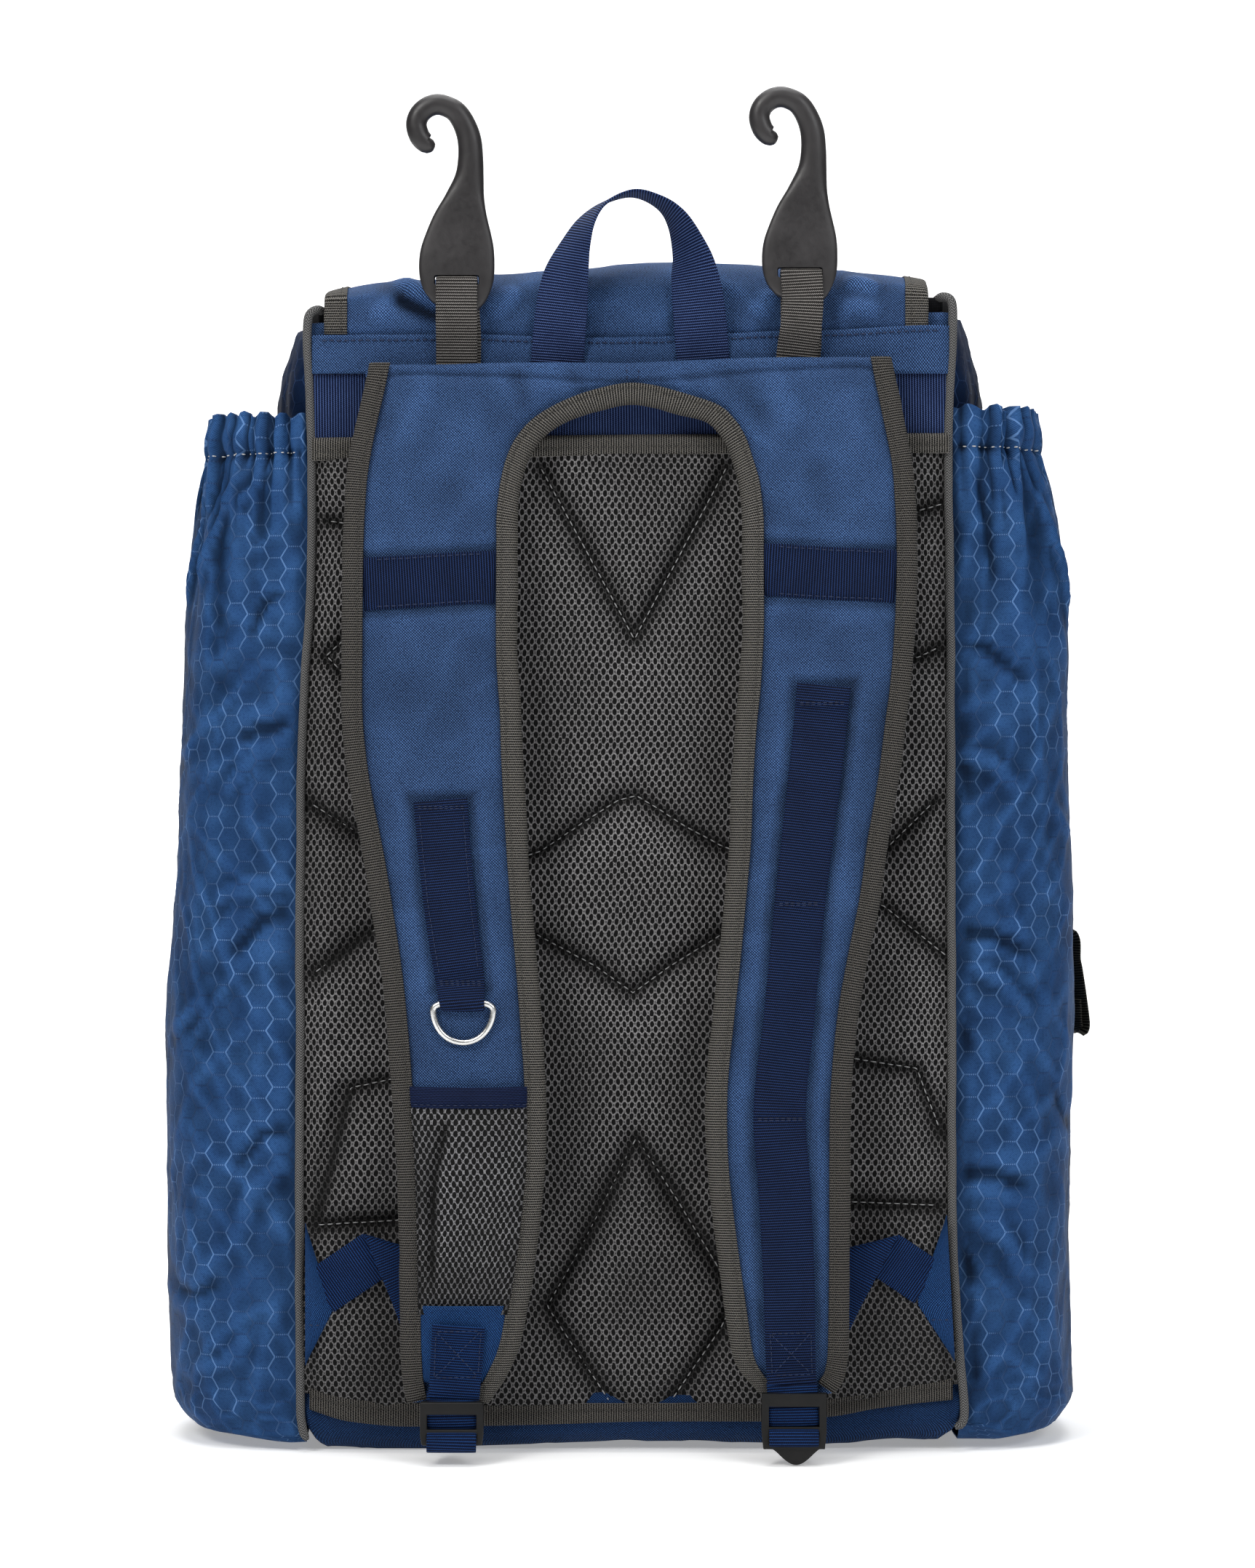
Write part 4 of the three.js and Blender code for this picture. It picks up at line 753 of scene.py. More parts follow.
def strip(b, C, W, width, thick, n=11, mat=0, crown=0.0, wave=0.0, seed=1, s0=0.0, lift=None):
    """A woven strip along C, with its width along W. Its edges are thinner than its middle."""
    C, W = np.asarray(C, float), np.asarray(W, float)
    W = np.repeat(W[None], len(C), 0) if W.ndim == 1 else W
    T, W, N = frames(C, W)
    width = np.broadcast_to(np.asarray(width, float), (len(C),))
    u = np.sin(np.linspace(-math.pi / 2, math.pi / 2, n))
    prof = (1 - np.abs(u) ** 6) ** 0.5 * 0.85 + 0.15
    s = np.concatenate([[0], np.cumsum(np.linalg.norm(np.diff(C, axis=0), axis=1))]) + s0
    mid = crown * (1 - u ** 2)[None] + wave * n2(s[:, None], u[None] * width[:, None] / 2, 22, seed)
    if lift is not None:
        mid = mid + lift
    front = C[:, None] + W[:, None] * (u[None] * width[:, None] / 2)[..., None] + N[:, None] * (mid + prof[None] * thick / 2)[..., None]
    back = C[:, None] + W[:, None] * (u[None] * width[:, None] / 2)[..., None] + N[:, None] * (mid - prof[None] * thick / 2)[..., None]
    rings = np.concatenate([front, back[:, ::-1]], 1)
    t = np.concatenate([u, u[::-1]])[None] * width[:, None] / 2
    b.loft(rings, s, np.concatenate([t, t[:, :1]], 1), mat=mat)
    return C, T, W, N, s


def tube(b, C, r, n=12, mat=0, closed=False, up=(0, 1, 0)):
    C = np.asarray(C, float)
    if closed:
        T = unit(np.roll(C, -1, 0) - np.roll(C, 1, 0))
    else:
        T = unit(np.gradient(C, axis=0))
    U = np.array(up, float)
    A = unit(np.cross(T, U[None]))
    B = unit(np.cross(T, A))
    a = np.arange(n) * 2 * math.pi / n
    r = np.broadcast_to(np.asarray(r, float), (len(C),))
    rings = C[:, None] + r[:, None, None] * (np.cos(a)[None, :, None] * A[:, None] + np.sin(a)[None, :, None] * B[:, None])
    s = np.concatenate([[0], np.cumsum(np.linalg.norm(np.diff(C, axis=0), axis=1))])
    t = np.concatenate([a, [2 * math.pi]])[None] * r[:, None]
    b.loft(rings, s, t, closed=closed, mat=mat)


def rolled(b, edge, inward, normal, half, width=9.8, wall=0.9, round_=4.2, mat=0, seed=1, back_width=None, sag=0.0):
    """Grosgrain folded over an edge, rolled round the outside."""
    edge, inward, normal = (np.asarray(a, float) for a in (edge, inward, normal))
    normal = np.repeat(normal[None], len(edge), 0) if normal.ndim == 1 else normal
    s = np.concatenate([[0], np.cumsum(np.linalg.norm(np.diff(edge, axis=0), axis=1))])
    H = half + wall
    u, w = [], []
    for q in (1.0, 0.965, 0.93, 0.8, 0.72, 0.65, 0.52, 0.42):
        u.append(width * q)
        w.append(H * (0.86 if q > 0.98 else 0.985 if q > 0.95 else 1.0 if q > 0.9 else 0.985 if q > 0.75 else 0.955 if q > 0.7 else 0.985 if q > 0.6 else 1.02))
    for a in np.linspace(0, math.pi / 2, 8)[1:-1]:
        u.append(round_ - (round_ + 1.0) * math.sin(a) ** 0.85)
        w.append(H * math.cos(a) ** 0.7)
    u, w = np.array(u), np.array(w)
    U = np.concatenate([u, [-1.0], u[::-1]])
    Wn = np.concatenate([w, [0.0], -w[::-1]])
    iu = np.array([width, width * 0.6, round_, 1.2, 0.3])
    iw = np.array([half, half, half, half * 0.8, 0.0])
    IU = np.concatenate([iu[::-1][:-1][::-1], [0.3], iu[:-1][::-1]])
    IW = np.concatenate([iw[:-1], [0.0], -iw[:-1][::-1]])
    SU = np.concatenate([U, IU[::-1]])
    SW = np.concatenate([Wn, IW[::-1]])
    wob = 0.25 * n2(s[:, None], SW[None] * 0.6 + SU[None] * 0.4, 9, seed) + 0.35 * n2(s[:, None], SW[None] * 0.1, 26, seed + 3)
    outer = np.concatenate([np.ones(len(U)), np.zeros(len(IU))])
    pts = edge[:, None] + inward[:, None] * (SU[None] - wob * outer[None] * (np.abs(SU[None]) < 3))[..., None] + normal[:, None] * (SW[None] * (1 + 0.05 * wob * outer[None]) - sag)[..., None]
    t = np.concatenate([[0], np.cumsum(np.hypot(np.diff(SU), np.diff(SW)))])
    t = np.concatenate([t, [t[-1] + 1]])
    b.loft(pts, s, np.repeat(t[None], len(edge), 0), mat=mat)
    return s


def seg_distance(X, Z, line):
    """Distance to a polyline, and how far along it, in the x-z plane."""
    line = np.asarray(line, float)
    best = np.full(X.shape, 1e9)
    along_ = np.zeros(X.shape)
    run = 0.0
    for (ax, az), (bx, bz) in zip(line, line[1:]):
        dx, dz = bx - ax, bz - az
        L = math.hypot(dx, dz) + 1e-9
        t = np.clip(((X - ax) * dx + (Z - az) * dz) / L ** 2, 0, 1)
        d = np.hypot(X - ax - t * dx, Z - az - t * dz)
        near = d < best
        best = np.where(near, d, best)
        along_ = np.where(near, run + t * L, along_)
        run += L
    return best, along_, run


def crease(X, Z, line, width, depth, ends=0.35):
    """A soft fold along a line, fading to its ends."""
    d, a, total = seg_distance(X, Z, line)
    f = a / total
    fade = smoothstep(0, ends, f) * smoothstep(0, ends, 1 - f)
    return depth * np.exp(-(d / width) ** 2) * fade


def catmull_points(points, n=12):
    p = np.asarray(points, float)
    return catmull(p, np.linspace(0, len(p) - 1, (len(p) - 1) * n + 1))


NAVY_ST, DARK_ST, PALE_ST, GREY_ST = Builder(), Builder(), Builder(), Builder()
FRONT = np.array([0.0, -1.0, 0.0])


def flat_line(xz, y, step=2.0):
    """Points of a line in the x-z plane, at a depth given as a number or a function of x and z."""
    p = np.asarray(xz, float)
    L = np.concatenate([[0], np.cumsum(np.linalg.norm(np.diff(p, axis=0), axis=1))])
    at = np.linspace(0, L[-1], max(2, int(L[-1] / step) + 1))
    x, z = np.interp(at, L, p[:, 0]), np.interp(at, L, p[:, 1])
    yy = y(x, z) if callable(y) else np.full(len(x), float(y))
    return np.stack([x, yy, z], 1)


# ------------------------------------------------------------------ the corded corners settle the back's outline
PIPE_LEFT = photo_to_panel([(431, 426), (424.5, 434), (422, 460), (423.5, 500), (426.5, 560), (428, 620), (429, 700), (428, 780), (424.5, 860), (419, 940), (414, 1060), (412.5, 1300), (412, 1600), (412, 1900), (415, 1960), (422, 1980)], -92.2)
PIPE_RIGHT = photo_to_panel([(1302, 408), (1308.5, 417), (1309, 460), (1305, 540), (1303, 600), (1304, 700), (1306, 800), (1307, 1060), (1308, 1400), (1310, 1700), (1319, 1856), (1325, 1945), (1312, 1963)], -92.2)


def corner_x(side, z):
    """Half width of the back panel at a height."""
    p = np.array(PIPE_LEFT[1:-1] if side < 0 else PIPE_RIGHT[1:-1])[::-1]
    z = np.asarray(z, float)
    k = np.interp(z, p[:, 1], np.abs(p[:, 0]))
    return k


FOOT = np.array(photo_to_panel([(428, 1980), (445, 1990), (480, 1993), (560, 1996), (660, 1990), (760, 1984), (860, 1978), (940, 1979), (1050, 1982), (1135, 1984), (1180, 1980), (1240, 1974), (1290, 1973), (1305, 1965), (1312, 1962)], -90))


def body_ring(z, inset, plan, extra=0.0, fine=True):
    """One level of the body. plan holds plan rows 0 to 13 for the right half, middle of back to middle of front."""
    side_half = float(hermite(BODY_LEVELS[:, 0], BODY_LEVELS[:, 2], z))
    pull = float(hermite(BODY_LEVELS[:, 0], BODY_LEVELS[:, 3], z)) + inset
    cad_back = float(hermite(BODY_LEVELS[:, 0], BODY_LEVELS[:, 1], z))
    out = []
    for sgn in (1, -1):
        s, k, yn = plan[:, 0], plan[:, 1], plan[:, 2]
        back = float(corner_x(sgn, z)) - 0.9
        mixy = smoothstep(-0.95, -0.3, yn)
        half = back * (1 - mixy) + cad_back * mixy
        half = np.where(yn <= -0.95, float(corner_x(sgn, z)) - 0.9, half)
        x = half * s + (side_half - half) * k
        y = HALF_D * yn
        px = np.maximum(0, x - pull * np.minimum(1, np.where(s > 0.9, 1, s)))
        py = y - np.sign(yn) * pull * np.where(np.abs(yn) > 0.9, 1, np.abs(yn))
        out.append(np.stack([sgn * px, CY + py, np.full(len(px), z) + extra + (RIM_TILT * sgn * px * max(0.0, (z - 500) / (RIM - 500)))], 1))
    right, left = out
    return np.concatenate([right, left[1:-1][::-1]], 0)


def plan_rows(counts):
    """Rows of the plan table at fractional indices."""
    idx = []
    for (a, b_), n in counts:
        idx += list(np.linspace(a, b_, n, endpoint=False))
    idx.append(13.0)
    idx = np.array(idx)
    base = np.arange(14.0)
    return idx, np.stack([hermite(base, BODY_PLAN[:, k], idx) for k in range(3)], 1)


# ------------------------------------------------------------------ body
def make_body():
    idx, plan = plan_rows([((0, 3), 44), ((3, 5), 16), ((5, 10), 44), ((10, 13), 34)])
    nh = len(idx)
    ring_idx = np.concatenate([idx, idx[1:-1][::-1]])
    ring_side = np.concatenate([np.ones(nh), -np.ones(nh - 2)])
    zs = np.concatenate([np.arange(0.0, 12, 1.5), np.arange(12, 44, 2.5), np.arange(44, 470, 6.5), np.arange(470, RIM, 2.6), [RIM]])
    outer = np.array([body_ring(z, 0.0, plan) for z in zs])
    N = normals_of(outer, closed=True)
    c = outer.reshape(-1, 3).mean(0)
    if ((outer[20] - c) * N[20]).sum() < 0:
        N = -N
    X, Y, Z = outer[..., 0], outer[..., 1], outer[..., 2]
    back = smoothstep(3.7, 3.2, ring_idx)[None]
    gus = (smoothstep(3.9, 4.6, ring_idx) * smoothstep(10.4, 9.6, ring_idx))[None]
    fro = smoothstep(10.0, 10.8, ring_idx)[None]
    d = back * (0.5 * n2(X, Z, 26, 1) + 0.25 * ridge(X, Z * 1.4, 34, 2))
    d = d + gus * (1.6 * n2(Y * 1.6, Z * 0.5, 24, 3) + 0.9 * (ridge(Y * 1.4, Z * 0.55, 20, 4) - 0.3) + 0.35 * ridge(Y, Z, 9, 5)) * smoothstep(2, 30, Z)
    d = d + fro * (2.4 * n2(X, Z * 0.8, 75, 6) + 1.0 * (ridge(X, Z, 55, 7) - 0.3) + 0.4 * n2(X, Z, 20, 8)) * smoothstep(2, 30, Z)
    # seams where the panels meet
    for seam, w in ((4.0, 0.10), (10.0, 0.16)):
        d = d - 0.9 * np.exp(-((ring_idx - seam) / w) ** 2)[None]
    # fold pressed in below the back binding
    low_back = back * smoothstep(36, 26, Z) * smoothstep(0, 8, Z)
    d = d + low_back * 2.0 * np.sin(np.clip(Z / 32, 0, 1) * math.pi) - back * 1.2 * np.exp(-((Z - 31) / 5.0) ** 2)
    d = d + back * smoothstep(40, 20, Z) * (0.9 * n2(X, Z * 2.2, 30, 9) + 0.35 * ridge(X, Z * 2, 16, 10))
    outer = outer + N * d[..., None]
    # the foot of the back lifts a little towards the right
    order = np.argsort(FOOT[:, 0])
    lift = np.interp(X, FOOT[order, 0], FOOT[order, 1])
    outer[..., 2] += 0.75 * np.clip(lift, 0, 9) * np.clip((-30 - Y) / 60, 0, 1) * smoothstep(34, 2, Z)
    outer[..., 2] = np.maximum(outer[..., 2], 0.0)
    # flat underside
    under = []
    for f, lo in ((0.02, 0.3), (0.3, 0.4), (0.6, 0.4), (0.85, 0.2), (0.95, 0.0), (0.985, 0.0)):
        r = outer[0].copy()
        r[:, 0] *= f
        r[:, 1] = CY + (r[:, 1] - CY) * f
        r[:, 2] = lo * (outer[0][:, 2] < 0.5) + outer[0][:, 2] * max(0.0, 1 - (1 - f) * 1.45)
        under.append(r)
    inner_z = [RIM, 510, 490, 440, 360, 250, 140, 60, 30, 17]
    inner = [body_ring(z, 2.2, plan, extra=(0.6 if z == RIM else 0)) for z in inner_z]
    floor = []
    for f in (0.96, 0.7, 0.35, 0.02):
        r = inner[-1].copy()
        r[:, 0] *= f
        r[:, 1] = CY + (r[:, 1] - CY) * f
        r[:, 2] = 14.0
        floor.append(r)
    rings = np.concatenate([np.array(under), outer, np.array(inner), np.array(floor)], 0)
    nrow = len(rings)
    sz = np.concatenate([[0], np.cumsum(np.linalg.norm(np.diff(rings[:, 30], axis=0), axis=1))])
    mid = len(under) + len(zs) // 2
    tt = np.concatenate([[0], np.cumsum(np.linalg.norm(np.diff(rings[mid], axis=0), axis=1))])
    mat = np.zeros((nrow, len(ring_idx)), int)
    is_gus = (ring_idx >= 4.0) & (ring_idx < 9.98)
    # the gusset takes the darker ripstop: painted shade
    mat[len(under):len(under) + len(zs)] = is_gus.astype(int)[None]
    low_rows = len(under) + int((zs < 30).sum())
    # the underside and the lowest 30 mm of back and front take the darker polyester: painted shade
    mat[:low_rows] = np.where(is_gus[None], mat[:low_rows], 3)
    mat[:len(under)] = 3
    mat[len(under) + len(zs):] = 2
    b = Builder()
    S = np.repeat(sz[:, None], len(ring_idx), 1)
    S[len(under):len(under) + len(zs)] = zs[:, None]
    T_ = np.repeat(tt[None], nrow, 0)
    b.loft(rings, np.concatenate([T_, T_[:, -1:] + 3], 1), np.concatenate([S, S[:, :1]], 1), mat=mat)
    o = b.object("bag_body_cloth", [POLY, RIP_SHADE, LINING, POLY_SHADED_FOOT], "navy_polyester")
    made(o, "bag_body")
    return outer, zs


BODY_OUT, BODY_ZS = make_body()


def make_collar():
    idx, plan = plan_rows([((0, 3), 30), ((3, 5), 10), ((5, 10), 34), ((10, 13), 26)])
    spec = [(486, 3.9, 0), (498, 3.9, 0), (508, 3.9, 0), (516, 3.8, 0), (RIM, 3.2, 0.4), (RIM, 2.8, 3.0), (RIM, 2.8, 5.6), (RIM, 3.6, 7.6), (RIM, 5.6, 7.4),
            (RIM, 6.9, 3), (RIM, 6.2, 0), (514, 6.0, 0), (500, 6.0, 0), (486, 6.0, 0)]
    rings = np.array([body_ring(z, i, plan, extra=e) for z, i, e in spec])
    s = np.concatenate([[0], np.cumsum(np.linalg.norm(np.diff(rings[0], axis=0), axis=1))])
    ruffle = 0.9 * np.sin(s / 6.5 + 1.6 * n2(s, 0 * s, 40, 12)) + 0.6 * n2(s, 0 * s, 9, 13)
    top = np.array([smoothstep(500, RIM + 4, z + e) for z, i, e in spec])
    c = np.array([0, CY, 0.0])
    out = unit((rings - c) * np.array([1, 1, 0.0]))
    rings = rings - out * ((0.2 + 0.45 * np.abs(ruffle))[None] * top[:, None])[..., None]
    rings[..., 2] += top[:, None] * 0.8 * n2(s, 0 * s, 14, 14)[None]
    b = Builder()
    b.grid(rings, closed=True, ring=True)
    made(b.object("top_collar_cloth", [LINING], "black_lining"), "top_collar")


make_collar()


# ------------------------------------------------------------------ flap
FLAP_ROWS = 190


def flap_surface(rows=FLAP_ROWS, x0=-139.5, x1=136.0, cols=118, start=0.0):
    r = np.linspace(start, 13, rows)
    prof = np.stack([hermite(np.arange(14.0), FLAP_PROFILE[:, k], r) for k in range(3)], 1)
    prof[:, :2] = catmull(FLAP_PROFILE, r)[:, :2]
    x = np.linspace(x0, x1, cols)
    drop = hermite(FLAP_ACROSS[:, 0], FLAP_ACROSS[:, 1], x)
    P = np.zeros((rows, cols, 3))
    P[..., 0] = x[None]
    P[..., 1] = prof[:, 0][:, None]
    P[..., 2] = prof[:, 1][:, None] - drop[None] * prof[:, 2][:, None]
    return P, r


def make_flap():
    P, r = flap_surface()
    N = normals_of(P)
    if N[60, 60, 2] < 0:
        N = -N
    X, Y, Z = P[..., 0], P[..., 1], P[..., 2]
    L = np.concatenate([[0], np.cumsum(np.linalg.norm(np.diff(P[:, 60], axis=0), axis=1))])[:, None] + 0 * X
    back = smoothstep(70, 25, L)
    top = smoothstep(25, 60, L) * smoothstep(250, 215, L)
    front = smoothstep(215, 260, L)
    edge = smoothstep(0, 14, X + 139.5) * smoothstep(0, 14, 136 - X)
    d = back * (0.8 * n2(X, L * 1.5, 34, 21) + 0.5 * (ridge(X, L * 1.2, 30, 22) - 0.3))
    d = d + top * (2.2 * n2(X, L, 80, 23) + 0.9 * (ridge(X, L * 0.7, 46, 24) - 0.3))
    d = d + front * (2.0 * n2(X, L * 0.8, 85, 25) + 0.8 * (ridge(X * 0.8, L, 60, 26) - 0.3))
    d = d * (0.4 + 0.6 * edge)
    # measured folds round the hooks and the handle
    for line, w, dep in [
        ([(-114, 538), (-103, 536), (-90, 529), (-74, 524)], 3.2, 1.9), ([(-120, 530), (-104, 529), (-88, 523), (-76, 518)], 4.0, -1.4),
        ([(-108, 536), (-112, 526), (-118, 518)], 4, 0.9), ([(-50, 536), (-60, 528), (-66, 520)], 4, 1.1),
        ([(66, 536), (62, 528), (58, 520)], 4, 1.0), ([(96, 538), (106, 537), (116, 533)], 2.8, 1.3), ([(92, 524), (104, 527), (118, 524)], 4, 0.9),
        ([(-28, 530), (-24, 522), (-22, 514)], 3.5, -0.9), ([(26, 530), (24, 522), (22, 514)], 3.5, -0.9)]:
        d = d + crease(X, Z, line, w * 1.1, dep * 2.4) * smoothstep(64, 36, L)
    # the cloth dives behind the folded edge of the back
    P = P + N * d[..., None]
    low = smoothstep(10, 2, L)
    P[..., 1] += low * 1.2
    thick = 0.75
    N2 = normals_of(P)
    if N2[60, 60, 2] < 0:
        N2 = -N2
    b = Builder()
    s = np.concatenate([[0], np.cumsum(np.linalg.norm(np.diff(P[:, 60], axis=0), axis=1))])
    # painted shade in the flap's folds and painted highlight on its crests
    b.sheet(P + N2 * thick, P - N2 * thick, s, P[0, :, 0], mat=0, back_mat=1, painted_shading=painted_fold_shade(d, 0.55, 20))
    o = b.object("top_flap_cloth", [POLY, LINING], "navy_polyester")
    made(o, "top_flap")
    # bindings down both sides
    for side, col, sgn in (("left", 0, 1), ("right", -1, -1)):
        e = P[:, col]
        inward = unit(P[:, col + sgn * 5 if col == 0 else -6] - e)
        n = N2[:, col]
        keep = slice(4, None)
        bb = Builder()
        rolled(bb, e[keep], inward[keep], n[keep], 0.95, width=9.6, wall=0.75, round_=1.6, seed=30 + col)
        made(bb.object(f"flap_binding_{side}_tape", [BIND], "binding"), f"flap_binding_{side}")
        line = e + inward * 6.8 + n * 1.75
        stitch_line(DARK_ST, line[6:], n[6:], 2.2, 1.0, 0.22, 0.0, seed=31)
    e = P[-1, 2:-2]
    n = N2[-1, 2:-2]
    bb = Builder()
    rolled(bb, e, np.repeat([[0, 0, 1.0]], len(e), 0), n, 0.95, width=9.2, wall=0.75, round_=1.6, seed=33)
    made(bb.object("flap_binding_front_tape", [BIND], "binding"), "flap_binding_front")
    line = e + np.array([0, 0, 6.6]) + n * 1.75
    stitch_line(DARK_ST, line, n, 2.2, 1.0, 0.22, 0.0, seed=34)
    # cut 276 mm wide, and long enough to reach from the seam over the top and down the front
    return P


FLAP = make_flap()


# ------------------------------------------------------------------ folded upper edge of the back, in front of the flap
def make_top_strip():
    top = np.array(photo_to_panel([(428, 461), (480, 461), (560, 460), (640, 459), (700, 461), (780, 464), (850, 464), (900, 463), (960, 460), (1010, 458), (1060, 456), (1120, 455), (1180, 452), (1240, 448), (1296, 447)], -95.5))
    x = np.linspace(-146.2, 146.6, 150)
    zt = np.interp(x, top[:, 0], top[:, 1])
    zt = zt + 0.3 * n2(x, 0 * x, 12, 41)
    v = np.linspace(0, 1, 14)
    Z = zt[None] + (496.0 - zt[None]) * v[:, None]
    X = np.repeat(x[None], len(v), 0)
    down = zt[None] - Z
    belly = 0.45 * np.exp(-(down / 2.0) ** 2) - 0.35 * np.exp(-((down - 2.6) / 1.1) ** 2) + 0.35 * np.sin(np.clip(down / 16, 0, 1) * math.pi)
    wave = 0.55 * n2(X, Z * 1.6, 22, 42) + 0.25 * ridge(X, Z * 1.5, 15, 43)
    ends = smoothstep(146.8, 141.0, np.abs(X))
    Yf = -95.9 - belly - wave * 0.8 * ends
    Yf = Yf + (1 - ends) * 2.2
    F = np.stack([X, Yf, Z], -1)
    B = np.stack([X, np.minimum(Yf + 1.3, -92.6), Z], -1)
    b = Builder()
    b.sheet(F, B, Z[:, 0], x, mat=0)
    o = b.object("back_top_edge", [POLY], "navy_polyester")
    made(o)
    line = np.stack([x[2:-2], Yf[3, 2:-2] - 0.25, zt[2:-2] - 2.6], 1)
    stitch_line(NAVY_ST, line, FRONT, 2.4, 0.9, 0.34, 0.15, seed=44)


make_top_strip()


# ------------------------------------------------------------------ webbing band and bindings of the back
def make_band():
    x = np.arange(-146.0, 146.1, 1.4)
    rise = np.interp(x, [-146, 146], [-1.4, 1.4])
    C = np.stack([x, np.full(len(x), -92.6), 482.6 + rise], 1)
    b = Builder()
    C, T, W, N, s = strip(b, C, np.array([0, 0, 1.0]), 31.8, 1.5, n=15, wave=0.5, seed=51)
    made(b.object("top_webbing_band_weave", [WEB_LIT_TOP], "navy_webbing"), "top_webbing_band")
    for k, seed in ((14.3, 52),):
        line = C + np.array([0, -1.0, k])
        stitch_line(NAVY_ST, line, FRONT, 2.3, 1.0, 0.28, 0.1, seed=seed)


make_band()


BOTTOM_BIND = np.array(photo_to_panel([(420, 1907), (480, 1920), (560, 1927), (720, 1930), (900, 1930), (1040, 1928), (1145, 1920), (1200, 1912), (1260, 1902), (1313, 1895)], -94))


def channels(X, Z):
    d = np.full(X.shape, 1e9)
    for q in QUILT:
        dist, _, _ = seg_distance(X, Z, q)
        d = np.minimum(d, dist)
    return d


def pad_depth(X, Z):
    """How far the quilted mesh stands off the back panel."""
    edge_x = np.minimum(X + 147.5, 147.5 - X)
    base = 7.0 * smoothstep(-2, 13, edge_x) * (0.35 + 0.65 * smoothstep(20, 46, Z)) * (0.5 + 0.5 * smoothstep(468, 446, Z))
    d = channels(X, Z)
    channel = np.exp(-(d / 3.0) ** 2) * 0.62 + np.exp(-(d / 11.0) ** 2) * 0.38
    puff = 1.6 * (1 - np.exp(-(d / 22) ** 2))
    und = 1.0 * n2(X, Z, 42, 61) + 0.35 * n2(X, Z, 15, 62)
    return np.maximum(0.6, (base + puff + und * 0.7) - 6.4 * channel * smoothstep(0, 10, edge_x))


def make_pad():
    xs = np.linspace(-147.0, 147.4, 186)
    zs = np.linspace(23.0, 463.0, 266)
    Z, X = np.meshgrid(zs, xs, indexing="ij")
    D = pad_depth(X, Z)
    # the edge follows the corded corners
    left, right = -corner_x(-1, zs) + 1.2, corner_x(1, zs) - 1.2
    u = (xs - xs[0]) / (xs[-1] - xs[0])
    X = left[:, None] + (right - left)[:, None] * u[None]
    # and its foot the bowed binding
    Z = Z + (np.interp(X, BOTTOM_BIND[:, 0], BOTTOM_BIND[:, 1]) - 3.0 - 23.0) * smoothstep(60, 23, Z)
    F = np.stack([X, PANEL_Y - 0.3 - D, Z], -1)
    cd = channels(X, Z)
    # painted shade: darker along the quilted channels, with a painted highlight beside them, darker at the side edges
    # and towards the bottom, with noise
    painted_shading = 0.7 * np.exp(-((cd - 0.6) / 1.9) ** 2) + 0.3 * np.exp(-(cd / 6.5) ** 2) - 0.16 * np.exp(-((cd - 14) / 8) ** 2)
    painted_shading = painted_shading + 0.3 * n2(X, Z, 38, 64) + 0.22 * smoothstep(9, 1, np.minimum(X + 147.5, 147.5 - X)) + 0.3 * smoothstep(210, 60, Z)
    painted_shading = np.clip(painted_shading, -0.3, 0.85)
    b = Builder()
    R, C = F.shape[:2]
    base = b.grid(F, Z, None, mat=0, painted_shading=painted_shading)
    # cloth coordinates: across, up
    b.c[-1] = b.c[-1][:, ::-1].copy()
    border = [(0, c) for c in range(C)] + [(r, C - 1) for r in range(1, R)] + [(R - 1, c) for c in range(C - 2, -1, -1)] + [(r, 0) for r in range(R - 2, 0, -1)]
    ring = np.array([F[r, c] for r, c in border])
    ring[:, 1] = PANEL_Y - 0.25
    start = b.n
    b.v.append(ring)
    b.n += len(ring)
    ids = [base + r * C + c for r, c in border]
    for i in range(len(ids)):
        j = (i + 1) % len(ids)
        b.polygon([ids[j], ids[i], start + i, start + j])
    b.polygon([start + i for i in range(len(ids))][::1])
    o = b.object("back_pad_mesh", [MESH], "spacer_mesh")
    made(o, "back_pad")
    for k, q in enumerate(QUILT):
        line = flat_line(q, lambda x, z: PANEL_Y - 0.3 - pad_depth(x, z), 1.2)
        stitch_line(GREY_ST, line, FRONT, 2.6, 1.3, 0.3, 0.75, seed=70 + k)


make_pad()


